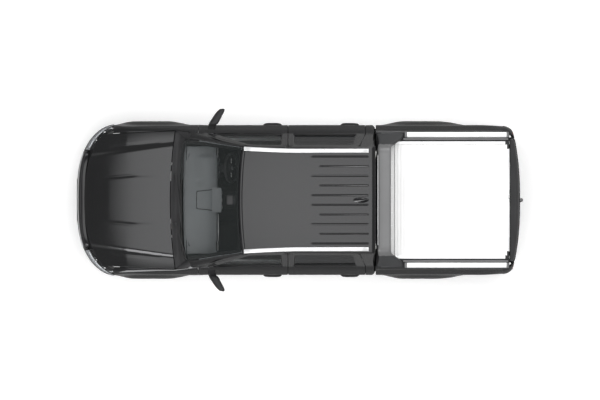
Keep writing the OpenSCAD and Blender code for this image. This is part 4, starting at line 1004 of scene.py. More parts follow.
def roof_skin(s, v):
    """A point of the roof: a crowned sheet with grooves, rolled over to the doors' upper edge over the
    last seventh of v, and down a little at the rear edge."""
    s, v = np.broadcast_arrays(s, v)
    a, g = np.abs(v), np.sign(v)
    e, ez = roof_edge(s)
    crown = roof_line(s)
    k = clamp((a - 0.86) / 0.14)
    flat_y = np.minimum(a / 0.86, 1) * ROOF_Y
    y = np.where(a < 0.86, flat_y, bend(ROOF_Y, mix(ROOF_Y, e, 0.8), e, k))
    z0 = crown - 0.030
    z = np.where(a < 0.86, crown - 0.030 * np.minimum(a / 0.86, 1) ** 2, bend(z0, z0 - 0.004, ez, k))
    z = z - groove(s, y) - 0.022 * clamp((s - CAB_END + 0.05) / 0.05) ** 2
    return np.stack([s, g * y, z], -1)


def roof():
    """The roof: roof_skin's grid in station and width, with its ribs, and a sheet just under it."""
    v = np.concatenate([np.linspace(-1, -0.86, 9)[:-1], np.linspace(-0.86, 0.86, 159),
                        np.linspace(0.86, 1, 9)[1:]])
    k = np.concatenate([np.linspace(0, 0.5, 16)[:-1], np.linspace(0.5, 0.64, 24)[:-1],
                        np.linspace(0.64, 0.93, 20)[:-1], np.linspace(0.93, 1, 16)])[:, None]
    front = ROOF0 + 0.004 + 0.055 * v[None] ** 2
    P = roof_skin(mix(front, CAB_END - 0.004, k), v[None])
    under = P.copy()
    under[..., 2] = P[..., 2] + groove(P[..., 0], P[..., 1]) - 0.014
    under[..., 1] *= 0.985
    piece("roof_skin", [slab(P, under)], PAINT, "chassis", "cab_shell", bevel=0.002)
    # Head lining, a smooth sheet under the roof, with two grab handles a side and a lamp unit
    v2 = np.linspace(-0.84, 0.84, 40)[None]
    s2 = np.linspace(ROOF0 + 0.07, CAB_END - 0.06, 40)[:, None]
    L = roof_skin(s2, v2)
    L[..., 2] = roof_line(s2) - 0.047 - 0.045 * (np.abs(v2) / 0.86) ** 4
    lining = slab(L, L - np.array([0, 0, 0.006]))
    parts = [lining, block((ROOF0 + 0.12, -0.09, ROOF_TOP - 0.112),
                           (ROOF0 + 0.28, 0.09, ROOF_TOP - 0.088), 0.01, mat=1)]
    for s0 in (2.28, 3.02):
        s = np.linspace(s0, s0 + 0.17, 14)
        drop = 0.022 * np.sin(np.linspace(0, np.pi, 14)) ** 0.5
        path = np.stack([s, np.full(14, 0.545), ROOF_TOP - 0.115 - drop], -1)
        parts += both([tube(path, 0.009, 10, mat=1)])
    piece("head_lining", parts, [LINING, CABIN], "chassis")


def pillars():
    """The windscreen pillars: strips from the door's edge to the glass, bowed out a little, with the
    wedge between the wing, the scuttle and the glass at their feet."""
    k = np.linspace(0, 1, 42)
    top_z = door_top(np.array(ROOF0 + 0.062))
    sA = np.interp(k, [0, 0.12, 1], [BONNET1 + 0.17, DOOR1, ROOF0 + 0.060])
    ty, tz = wing_top(np.minimum(sA, DOOR1))
    zA = np.where(sA < DOOR1, tz,
                  mix(BELT - 0.014, top_z, (sA - DOOR1) / (ROOF0 + 0.062 - DOOR1)) + 0.009)
    yA = np.where(sA < DOOR1, ty, side_y(sA, zA))
    A = np.stack([sA, yA, zA], -1)
    B = screen(clamp((k - 0.02) / 0.97), np.full_like(k, 1.0))
    w = np.linspace(0, 1, 14)[None, :, None]
    P = mix(A[:, None], B[:, None], w)
    bow = 4 * w * (1 - w) * (0.014 * ease(k / 0.15) + 0.004)[:, None, None]
    P = P + bow * np.array([-0.35, 0.70, 0.62])
    strip = skin(P, 0.022, away=(-0.3, 0.7, 0.6))
    # The foot: from the wing's edge to the scuttle's end
    piece("windscreen_pillars", both([strip]), PAINT, "chassis", bevel=0.002)
    # Inner trim of the pillars
    inner = P - np.array([-0.30, 0.62, 0.62]) * 0.030
    inner = mix(inner[:, :1], inner[:, -1:], np.linspace(0.1, 1.0, 6)[None, :, None])
    trim = skin(inner[4:], 0.012, away=(0.3, -0.7, -0.4))
    # Rounded grip on each pillar
    grip = mix(inner[22:40, 0], inner[22:40, -1], 0.55) + np.array([0.012, -0.03, -0.018])
    grip[0] += np.array([-0.010, 0.028, 0.012])
    grip[-1] += np.array([-0.010, 0.028, 0.012])
    piece("pillar_trim", both([trim, tube(grip, 0.010, 10)]), CABIN, "chassis")
    # Header over the glass, gloss black, and its inner trim
    v = np.linspace(-1, 1, 40)
    glass_edge = screen(np.full_like(v, 1.0), v)
    roof_front = roof_skin(ROOF0 + 0.004 + 0.055 * v ** 2, v)
    roof_front[:, 0] -= 0.003
    w = np.linspace(0, 1, 8)[:, None, None]
    H = mix(glass_edge[None], roof_front[None], w) + np.array([-0.3, 0, 0.9]) * (0.005 * 4 * w * (1 - w))
    parts = [skin(H, 0.020, mats=(0, 1, 0), away=(-0.3, 0, 1))]
    piece("windscreen_header", parts, [GLOSS, LINING], "chassis", bevel=0.0015)


def corners():
    """The cab's rear corners: the side's skin, then a quarter round, then a flat strip of the rear wall
    up to the window's frame."""
    s0 = DOOR2_END + GAP
    turn = np.linspace(0, np.pi / 2, 12)
    r = 0.045
    z = np.linspace(0, 1, 40)[None]
    ez = door_top(np.array(CAB_END)) + GAP
    z = mix(SILL, ez, z)
    # Above the belt its front edge follows the rear door's, which leans forward
    lead = 0.070 * clamp((z - BELT - 0.018) / (door_top(s0) - BELT - 0.018))
    flat = mix(s0 - lead, CAB_END - r - 0.004, np.linspace(0, 1, 10)[:, None])
    s = np.concatenate([flat[:-1], CAB_END - r - 0.004 + r * np.sin(turn)[:, None] + 0 * z])
    y = side_y(s, z) + press(s, z) * ease((s - s0 + 0.3) / 0.05)
    y = y - np.concatenate([np.zeros(9), r * (1 - np.cos(turn))])[:, None]
    P = np.stack(np.broadcast_arrays(s, y, z), -1)
    wall_n = 10
    w = np.linspace(0, 1, wall_n + 1)[1:, None]
    rear_y = mix(P[-1:, :, 1], 0.60, w)
    rear = np.stack([np.full_like(rear_y, CAB_END - 0.004), rear_y, np.broadcast_to(z, rear_y.shape)], -1)
    P = np.concatenate([P, rear])
    piece("cab_corner_panels", both([skin(P, 0.014, away=(0.5, 1, 0))]), PAINT, "chassis", bevel=0.002)
    # Rear wall: between the window's frame and the roof, floor and corner strips
    window = np.array([[-0.55, 1.325], [0.55, 1.325], [0.50, 1.70], [-0.50, 1.70]])
    wall = np.array([[-0.60, FLOOR - 0.03], [0.60, FLOOR - 0.03], [0.60, 1.79], [-0.60, 1.79]])
    wi, wo = outline(window, [0.05] * 4), outline(wall, [0.01] * 4)
    yz = ring_between(wi, wo, 14)
    crown = roof_line(np.array(CAB_END)) - 0.030 - 0.03 * (yz[..., 0] / ROOF_Y) ** 2
    P = np.stack([np.full(yz.shape[:2], CAB_END - 0.004), yz[..., 0], np.minimum(yz[..., 1], crown)], -1)
    piece("cab_rear_wall", [skin(P, 0.014, wrap=True, mats=(0, 1, 0), away=(1, 0, 0))], [PAINT, LINING],
          "chassis", bevel=0.002)
    seal = np.stack([np.full(len(wi), CAB_END - 0.006), wi[:, 0], wi[:, 1]], -1)
    seal = np.concatenate([seal, seal[:2]])
    trim = slab(ring_between(seal, seal * np.array([1, 0.965, 1]) + np.array([-0.008, 0, 0.001]), 4),
                ring_between(seal, seal * np.array([1, 0.965, 1]), 4) - np.array([0.02, 0, 0]))
    piece("rear_window_seal", [trim, tube(seal, 0.006, 8)], RUBBER, "chassis")


def glazing():
    """The windscreen, one curved sheet with a dark printed border; the rear window, a plain pane."""
    u = np.linspace(0.012, 0.988, 40)[:, None]
    v = np.linspace(-0.985, 0.985, 46)[None]
    pane = slab(screen(u, v), screen(u, v, 0.005))
    piece("windscreen_glass", [pane], GLASS, "chassis", "cab_glass")
    # The border lies just under the glass
    a = outline([[0.012, -0.985], [0.988, -0.985], [0.988, 0.985], [0.012, 0.985]],
                [0.02, 0.02, 0.02, 0.02], 24)
    b = outline([[0.070, -0.925], [0.955, -0.925], [0.955, 0.925], [0.070, 0.925]],
                [0.05, 0.05, 0.05, 0.05], 24)
    uv = ring_between(b, a, 5)
    border = slab(screen(uv[..., 0], uv[..., 1], 0.0056), screen(uv[..., 0], uv[..., 1], 0.0066),
                  wrap=True)
    piece("windscreen_border", [border], GLOSS, "chassis")
    y = np.linspace(-0.545, 0.545, 30)[None]
    z = np.linspace(1.328, 1.697, 12)[:, None]
    k = 1 - 0.07 * (z - 1.328) / 0.37
    R = np.stack(np.broadcast_arrays(CAB_END - 0.024, y * k, z), -1)
    piece("rear_window_glass", [slab(R, R - np.array([0.005, 0, 0]))], DARK_GLASS, "chassis")
    # Sensor housing and mirror behind the windscreen
    root = screen(np.array(0.93), np.array(0.0), 0.010)
    parts = [block(root + np.array([-0.10, -0.055, -0.055]), root + np.array([0.02, 0.055, -0.012]),
                   0.012)]
    stem = np.array([root + (0.0, 0, -0.03), root + (0.02, 0, -0.075), root + (0.035, 0, -0.09)])
    parts.append(tube(stem, 0.009, 10))
    yy = np.linspace(-0.125, 0.125, 40)
    half = 0.036 * (1 - (np.abs(yy) / 0.13) ** 4) ** 0.5
    a = np.linspace(0, 2 * np.pi, 28, endpoint=False)
    ring = np.stack([0.013 * np.cos(a)[None] + 0 * yy[:, None], yy[:, None] + 0 * a[None],
                     half[:, None] * np.sin(a)[None]], -1)
    body = ring + root + np.array([0.050, 0.03, -0.095])
    ends = body.mean(1, keepdims=True) + 0 * body
    grid = np.concatenate([ends[:1], body, ends[-1:]])
    V, F = grid.reshape(-1, 3), quads(len(grid), 28, wrap_v=True)
    parts.append((V, outward(V, F), np.zeros(len(F), int)))
    face = np.stack(np.broadcast_arrays(0.0155 + 0 * yy[None], yy[None] * 0.93,
                                        half[None] * np.linspace(-0.86, 0.86, 6)[:, None]), -1)
    parts.append(skin(face + root + np.array([0.050, 0.03, -0.095]), 0.002, mats=(1, 1, 1),
                      away=(1, 0, 0)))
    piece("rear_view_mirror", parts, [DARK_CABIN, REFLECTOR], "chassis")


def scuttle():
    """The black cowl between bonnet and windscreen with louvres, and two wipers lying on it."""
    v = np.linspace(-1, 1, 81)[None]
    w = np.linspace(0, 1, 24)[:, None]
    edge = screen(np.zeros_like(v), v * 0.985)
    near_y = v * (bonnet_y(BONNET1) - 0.004)
    near_s = bonnet_rear(v) + GAP
    near_z = bonnet_z(np.full_like(v, BONNET1), near_y) - 0.012
    P = np.stack([mix(near_s, edge[..., 0] + 0.016, w), mix(near_y, edge[..., 1] * 1.01, w),
                  mix(near_z, edge[..., 2] - 0.012, w) - 0.014 * np.sin(np.pi * w) ** 2], -1)
    louvre = np.clip(np.sin(v * 118), 0, 1) * ease(w / 0.3) * ease((0.75 - w) / 0.2) * (np.abs(v) < 0.8)
    P[..., 2] -= 0.005 * louvre
    # A panel from the wing's inner edge to the windscreen's side, at the foot of each front pillar
    k = np.linspace(0, 1, 40)[:, None]
    s_in = mix(BONNET1 + 0.004, DOOR1 - 0.004, k)
    y_in, z_in = wing_top(s_in)
    outer = np.stack([s_in, y_in + 0.002, z_in - 0.008], -1)
    inner = screen(0.26 * k, np.full_like(k, 0.985)) - np.array([0, 0, 0.012])
    foot = mix(outer, inner, np.linspace(0, 1, 10)[None, :, None])
    piece("scuttle_cowl", [skin(P, 0.012, away=(0, 0, 1))] + both([skin(foot, 0.006, away=(0, 0, 1))]),
          TRIM,
          "chassis", bevel=0.001)
    parts = []
    for y0, y1 in ((0.30, -0.34), (-0.28, -0.735)):
        pivot = screen(np.array(0.0), np.array(y0 / 0.753)) + np.array([-0.045, 0, 0.006])
        tip = screen(np.array(0.045), np.array(y1 / 0.753)) + np.array([-0.004, 0, 0.016])
        t = np.linspace(0, 1, 24)[:, None]
        arm = mix(pivot, tip, t) + np.array([0.0, 0, 0.018]) * np.sin(np.pi * t)
        parts.append(tube(arm, np.linspace(0.010, 0.005, 24), 10, flat=0.6))
        parts.append(turned([(0.0004, 0.012), (0.014, 0.010), (0.018, 0.0), (0.018, -0.02),
                             (0.0004, -0.02)],
                            pivot, 20, 0, axis=2))
        vv = np.linspace(y0 - 0.05, max(y1 - 0.02, -0.73), 40) / 0.753
        blade = screen(np.full(40, 0.045), vv) + np.array([-0.005, 0, 0.010])
        parts.append(carried(blade, [(-0.005, 0.008), (0.005, 0.008), (0.0035, -0.004), (0.001, -0.009),
                                     (-0.001, -0.009), (-0.0035, -0.004)], mat=1))
    piece("wipers", parts, [TRIM, RUBBER], "chassis")


def aerial_and_rails():
    """The fin aerial: ellipse rings that shrink and lean back as they rise. The roof rails: a rounded bar
    carried along the roof on three feet."""
    h = np.linspace(0, 1, 20)
    a = np.linspace(0, 2 * np.pi, 40, endpoint=False)
    length = 0.090 * (1 - h ** 1.6) + 0.006
    width = 0.034 * (1 - h) ** 1.1 + 0.0035
    mid = CAB_END - 0.190 + 0.066 * h ** 0.8
    base = roof_line(np.array(CAB_END - 0.19)) - 0.003
    P = np.stack([mid[:, None] + length[:, None] * np.cos(a), width[:, None] * np.sin(a),
                  base + 0.052 * h[:, None] + 0 * a[None]], -1)
    cap = P[-1:].mean(1, keepdims=True) + 0 * P[-1:]
    foot = P[:1].mean(1, keepdims=True) + 0 * P[:1]
    grid = np.concatenate([foot, P[:1] * 1.0, P, cap])
    V, F = grid.reshape(-1, 3), quads(len(grid), 40, wrap_v=True)
    piece("fin_aerial", [(V, outward(V, F), np.zeros(len(F), int))], GLOSS, "chassis", sharp=50)
    rails_s = span("roof_rails", 0)
    s = np.linspace(rails_s[0] - NOSE + 0.004, rails_s[1] - NOSE - 0.004, 90)
    y = 0.595 + 0.028 * clamp((ROOF0 + 0.70 - s) / 0.70) ** 1.5
    k = (s - s[0]) / (s[-1] - s[0])
    rise = ease(k / 0.06) * ease((1 - k) / 0.06)
    z = roof_line(s) - 0.030 * (y / ROOF_Y) ** 2 + 0.004 + 0.017 * rise
    path = np.stack([s, y, z], -1)
    a = np.linspace(0, 2 * np.pi, 20, endpoint=False)
    profile = np.stack([0.024 * np.sign(np.cos(a)) * np.abs(np.cos(a)) ** 0.6,
                        0.010 * np.sign(np.sin(a)) * np.abs(np.sin(a)) ** 0.7], -1)
    parts = [carried(path, profile)]
    for at in (0.03, 0.5, 0.97):
        i = int(at * 89)
        c = path[i]
        parts.append(block(c + np.array([-0.035, -0.018, -0.026]), c + np.array([0.035, 0.018, 0.0]),
                           0.006, mat=1))
    web = carried(path - np.array([0, 0, 0.014]),
                  [(-0.008, -0.010), (0.008, -0.010), (0.008, 0.008), (-0.008, 0.008)],
                  mat=1)
    piece("roof_rail_bars", both(parts + [web]), [SATIN, TRIM], "chassis", "roof_rails",
          bevel=0.001)


def cab_inside():
    """What shows through the doors: floor carpet with footwells, the bulkhead's trim, sill plates, the
    middle pillars' covers, belts and a parcel lining on the rear wall."""
    s = np.linspace(1.455, CAB_END - 0.05, 58)[:, None]
    y = np.linspace(-0.72, 0.72, 46)[None]
    tunnel = 0.10 * ease((0.20 - np.abs(y)) / 0.09) * ease((2.75 - s) / 0.4)
    well = FLOOR + 0.004 + tunnel + 0.012 * ease((np.abs(y) - 0.64) / 0.06)
    C = np.stack(np.broadcast_arrays(s, y, well), -1)
    toe_s = np.array([1.34, 1.37, 1.41])[:, None] + 0 * y
    toe = np.stack([toe_s, y + 0 * toe_s, np.array([0.775, 0.70, 0.63])[:, None] + tunnel[:1]], -1)
    C = np.concatenate([toe, C])
    carpet = skin(C, 0.012, away=(0, 0, 1))
    wall = np.stack(np.broadcast_arrays(1.335, y, np.linspace(0.77, 1.165, 12)[:, None]), -1)
    bulkhead = skin(wall, 0.008, away=(1, 0, 0))
    mats = []
    for g in (1, -1):
        for s0, s1 in ((1.52, 1.93), (2.62, 2.84)):
            M = np.stack(np.broadcast_arrays(np.linspace(s0, s1, 24)[:, None],
                                             g * np.linspace(0.25, 0.60, 20)[None], FLOOR + 0.016),
                         -1).copy()
            M[..., 2] += 0.0025 * np.sin(M[..., 0] * 300) ** 2
            mats.append(skin(M, 0.008, mats=(1, 1, 1), away=(0, 0, 1)))
    piece("cabin_carpet", [carpet, bulkhead] + mats, [CARPET, RUBBER], "chassis")
    # Middle pillar cover, a curved strip inside the doors' gap, and sill plates
    z = np.linspace(FLOOR + 0.02, 1.70, 40)[:, None]
    w = np.linspace(-1, 1, 14)[None]
    sB = (DOOR1_END + DOOR2) / 2 + 0.065 * w - 0.010
    B = np.stack(np.broadcast_arrays(sB, side_y(sB, z) - 0.080 - 0.030 * (1 - w ** 4), z), -1)
    pillar = skin(B, 0.006, mats=(0, 0, 0), away=(0, -1, 0))
    belt_z = np.linspace(FLOOR + 0.10, 1.55, 30)
    mid = (DOOR1_END + DOOR2) / 2 - 0.01
    belt = np.stack([np.full(30, mid), side_y(np.full(30, mid), belt_z) - 0.121, belt_z], -1)
    strap = carried(belt, [(-0.0012, -0.023), (0.0012, -0.023), (0.0012, 0.023), (-0.0012, 0.023)], mat=1,
                    up=(1, 0, 0))
    guide = block(belt[-1] - np.array([0.035, 0.004, 0.03]), belt[-1] + np.array([0.035, 0.016, 0.03]),
                  0.008)
    sill = []
    for s0, s1 in ((1.53, 2.50), (2.64, 3.48)):
        q = np.linspace(s0, s1, 30)[:, None]
        yy = np.linspace(0.668, 0.775, 10)[None]
        S = np.stack(np.broadcast_arrays(q, yy, FLOOR - 0.006 + 0.004 * np.sin(yy * 700) ** 2), -1)
        sill.append(skin(S, 0.006, mats=(2, 2, 2), away=(0, 0, 1)))
    shell = both([pillar, strap, guide] + sill)
    # Lining of the rear wall under the window
    yw = np.linspace(-0.70, 0.70, 30)[None]
    zw = np.linspace(FLOOR + 0.02, 1.31, 20)[:, None]
    L = np.stack(np.broadcast_arrays(CAB_END - 0.052, yw, zw), -1)
    shell.append(skin(L, 0.005, mats=(0, 0, 0), away=(-1, 0, 0)))
    piece("pillar_covers_and_belts", shell, [CABIN, DARK_CABIN, SATIN], "chassis")
    # Painted sills under the doors
    q = np.linspace(DOOR1 - 0.01, CAB_END - 0.01, 50)[:, None]
    t = np.linspace(0, 1, 12)[None]
    S = np.stack(np.broadcast_arrays(q, side_y(q, SILL + 0.01) - 0.085 - 0.05 * t ** 2,
                                     mix(FLOOR - 0.012, SILL + 0.012, t)), -1)
    # A flange under the doors' lower edges
    flange = np.stack(np.broadcast_arrays(q, mix(0.770, side_y(q, SILL + 0.01) - 0.010, t),
                                          SILL - 0.010 - 0.004 * t), -1)
    piece("sill_panels", both([skin(S, 0.01, away=(0, 1, 0)), skin(flange, 0.006, mats=(1, 1, 1))]),
          [PAINT, TRIM],
          "chassis", bevel=0.002)


roof()
pillars()
corners()
glazing()
scuttle()
aerial_and_rails()
cab_inside()

# ---------------------------------------------------------------- doors

DOOR_T = 0.060
DOOR_DRAFT = 0.32 * DOOR_T


def door_inner(P, end):
    """The door's inner face: the outer grid moved in by the door's thickness, and forward near its rear
    edge, so that the edge swings clear."""
    Q = P.copy()
    Q[..., 1] -= DOOR_T
    Q[..., 0] -= DOOR_DRAFT * clamp((P[..., 0] - end + 0.07) / 0.07)
    return Q


def belt_line(s, s0, s1, z0):
    """Height of the door's waist rail, rising gently rearward."""
    return mix(z0, BELT + 0.022, (s - s0) / (s1 - s0))


def door(tag, s0, s1, front_top, rear_top, rear_belt, window, body, node, belt_z0):
    """One right-hand door as separate sheets: the pressed lower panel, the window frame as a strip from
    the door's outline to the window's, rubber seals, the inner card and a pull handle."""
    s = np.linspace(s0, s1, 72)[:, None]
    k = np.concatenate([np.linspace(0, 0.06, 6)[:-1], np.linspace(0.06, 0.97, 52),
                        np.linspace(0.97, 1, 4)[1:]])[None]
    z = mix(SILL, belt_line(s, s0, s1, belt_z0), k)
    P = side(s, z)
    # A dished recess behind the handle
    hs, hz = s1 - 0.185, 1.035
    cup = ease(1.15 - np.hypot((P[..., 0] - hs) / 0.075, (P[..., 2] - hz) / 0.036))
    P[..., 1] -= 0.020 * cup
    inner = door_inner(side(s, z), s1)
    lower = slab(P, inner)
    frame_out = outline([[s0, belt_z0 - 0.004], front_top, rear_top, rear_belt], [0, 0.06, 0.05, 0], 24,
                        8, False)
    frame_in = outline([window[0], window[2], window[3], window[5]], [0, 0.07, 0.05, 0], 24, 8, False)
    sz = ring_between(frame_in, frame_out, 8)
    F = side(sz[..., 0], sz[..., 1])
    frame = slab(F, door_inner(F, s1))
    shell = [lower, frame]
    mats = [PAINT, GLOSS]
    # Belt moulding and gloss black middle pillar covers
    b = np.linspace(window[0][0] - 0.01, window[5][0] + 0.01, 40)
    zb = mix(window[0][1], window[5][1], (b - b[0]) / (b[-1] - b[0])) - 0.010
    mould = side(b, zb)
    mould[:, 1] += 0.001
    shell.append(carried(mould,
                         [(-0.004, -0.011), (0.004, -0.009), (0.005, 0.0), (0.003, 0.010),
                          (-0.006, 0.012)], mat=1))
    zz = np.linspace(0, 1, 30)[None]
    rear = tag.startswith("front")
    e0, e1 = (s1 - 0.064, s1 - 0.006) if rear else (s0 + 0.006, s0 + 0.060)
    ss = np.linspace(e0, e1, 8)[:, None]
    C = side(ss, mix(BELT + 0.045, door_top(ss) - 0.030, zz))
    C[..., 1] += 0.0022
    shell.append(skin(C, 0.003, mats=(1, 1, 1), away=(0, 1, 0)))
    # Sill moulding along the lower edge
    q = np.linspace(s0 + 0.006, s1 - 0.006, 40)[:, None]
    t = np.linspace(0, 1, 10)[None]
    L = side(q, SILL + 0.006 + 0.085 * t)
    L[..., 1] += 0.004 + 0.004 * np.sin(np.pi * t)
    shell.append(skin(L, 0.008, mats=(2, 2, 2), away=(0, 1, 0)))
    mats.append(TRIM)
    right = shell
    # Pull handle: a rounded bar bowed away from the door over its recess
    h = np.linspace(-1, 1, 40)
    line = side(hs + 0.105 * h, np.full(40, hz))
    line[:, 1] += 0.003 + 0.013 * np.sqrt(np.maximum(0, 1 - np.abs(h) ** 4))
    bar = tube(line, 0.0135 * (1 - 0.5 * np.abs(h) ** 6), 16, mat=0, flat=1.15)
    ends = [block(line[i] - np.array([0.012, 0.022, 0.013]), line[i] + np.array([0.012, 0.004, 0.013]),
                  0.006)
            for i in (1, -2)]
    right = right + [bar] + ends
    # Rubber lips behind the gaps at the door's rear and front edges
    lz = np.linspace(SILL + 0.012, BELT - 0.03, 40)[None]
    lip = side(np.linspace(s1 - 0.004, s1 + 0.0046, 4)[:, None], lz)
    lip[..., 1] -= 0.013
    front_lip = side(np.linspace(s0 - 0.0046, s0 + 0.004, 4)[:, None], lz)
    front_lip[..., 1] -= 0.013
    # Seals: a bead round the window and one round the door's inner edge
    loop = outline(window, [0.02, 0.02, 0.06, 0.05, 0.03, 0.02][:len(window)], 18)
    W = side(loop[:, 0], loop[:, 1])
    W[:, 1] -= 0.010
    W = np.concatenate([W, W[:2]])
    seals = [tube(W, 0.0075, 8), skin(lip, 0.0025, away=(0, 1, 0)),
             skin(front_lip, 0.0025, away=(0, 1, 0))]
    inner_loop = outline([[s0 + 0.03, SILL + 0.03], [s0 + 0.03, belt_z0 - 0.02],
                          [front_top[0] + 0.012, front_top[1] - 0.028],
                          [rear_top[0] - 0.03, rear_top[1] - 0.026], [rear_belt[0] - 0.05, rear_belt[1]],
                          [s1 - 0.05, SILL + 0.03]], [0.05] * 6, 20)
    W = side(inner_loop[:, 0], inner_loop[:, 1])
    W[:, 1] -= DOOR_T + 0.003
    seals.append(tube(np.concatenate([W, W[:2]]), 0.006, 8))
    # Inner card: a padded sheet with an armrest, a pull cup, a loudspeaker and a pocket
    cs = np.linspace(s0 + 0.045, s1 - 0.065, 46)[:, None]
    ck = np.linspace(0, 1, 40)[None]
    cz = mix(SILL + 0.10, belt_line(cs, s0, s1, belt_z0) - 0.012, ck)
    K = side(cs, cz)
    along = (cs - cs[0]) / (cs[-1] - cs[0])
    arm = ridge(cz - 0.935, 0.062) ** 0.6 * ease((along - 0.12) / 0.14) * ease((0.90 - along) / 0.10)
    pocket = ease((cz - 0.53) / 0.012) * ease((0.68 - cz) / 0.012) * ease((along - 0.18)
                                                                          / 0.06) * ease((0.85 - along)
                                                                                         / 0.06)
    K[..., 1] -= DOOR_T + 0.012 + 0.046 * arm + 0.020 * pocket
    card = skin(K, 0.010, mats=(0, 0, 0), away=(0, -1, 0))
    sp = np.array([s0 + 0.17, float(side_y(np.array(s0 + 0.17), np.array(0.60))) - DOOR_T - 0.014, 0.60])
    speaker = turned([(0.0005, -0.008), (0.075, -0.006), (0.082, 0.0), (0.082, 0.01), (0.0005, 0.01)], sp,
                     40, 1)
    insert = side(np.linspace(s0 + 0.20, s1 - 0.18, 40)[:, None], np.linspace(1.01, 1.14, 14)[None])
    insert[..., 1] -= DOOR_T + 0.020
    pad = skin(insert, 0.006, mats=(2, 2, 2), away=(0, -1, 0))
    lever = side(np.linspace(s0 + 0.20, s0 + 0.31, 12), np.full(12, 1.045))
    lever[:, 1] -= DOOR_T + 0.032
    cards = [card, speaker, pad, tube(lever, 0.007, 10, mat=3, flat=1.6)]
    # The pane
    c = np.asarray(window, float)
    rows = np.linspace(0, 1, 24)[:, None, None]
    low_l, low_r = mix(c[0], c[1], 0.0), mix(c[5], c[4], 0.0)
    left = np.where(rows < 0.12, mix(low_l, c[1], rows / 0.12), mix(c[1], c[2], (rows - 0.12) / 0.88))
    right_edge = np.where(rows < 0.12, mix(low_r, c[4], rows / 0.12),
                          mix(c[4], c[3], (rows - 0.12) / 0.88))
    pz = mix(left, right_edge, np.linspace(0, 1, 30)[None, :, None])
    G = side(pz[..., 0], pz[..., 1])
    G[..., 1] -= 0.014
    pane = slab(G, G - np.array([0, 0.005, 0]))
    for side_name, change in (("right", lambda x: x), ("left", flip)):
        where = body.format(side_name)
        piece(f"{tag}_door_shell_{side_name}", [change(p) for p in right], mats, where,
              node.format(side_name),
              bevel=0.0015)
        piece(f"{tag}_door_seals_{side_name}", [change(p) for p in seals], RUBBER, where)
        piece(f"{tag}_door_card_{side_name}", [change(p) for p in cards],
              [CABIN, DARK_CABIN, CLOTH, SATIN], where)
        piece(f"{tag}_door_glass_{side_name}", [change(pane)], GLASS if tag == "front" else DARK_GLASS,
              where,
              node.format(side_name).replace("door", "glass"))


def doors():
    """The four doors: each one's outline and window, as stations and heights, handed to door()."""
    t = door_top
    a = ROOF0 + 0.062
    door("front", DOOR1, DOOR1_END, [a, float(t(a))], [DOOR1_END, float(t(DOOR1_END))],
         [DOOR1_END, BELT + 0.018],
         [[DOOR1 + 0.190, BELT + 0.012], [DOOR1 + 0.165, BELT + 0.030],
          [ROOF0 + 0.085, float(t(ROOF0 + 0.085)) - 0.048],
          [DOOR1_END - 0.075, float(t(DOOR1_END)) - 0.050], [DOOR1_END - 0.070, BELT + 0.040],
          [DOOR1_END - 0.070, BELT + 0.026]],
         "front_{}_door", "door_front_{}", BELT - 0.014)
    e = DOOR2_END
    door("rear", DOOR2, e, [DOOR2, float(t(DOOR2))], [e - 0.070, float(t(e - 0.070))], [e, BELT + 0.018],
         [[DOOR2 + 0.070, BELT + 0.028], [DOOR2 + 0.070, BELT + 0.044],
          [DOOR2 + 0.075, float(t(DOOR2)) - 0.050],
          [e - 0.150, float(t(e - 0.150)) - 0.050], [e - 0.105, BELT + 0.070], [e - 0.115, BELT + 0.040]],
         "rear_{}_door", "door_rear_{}", BELT)


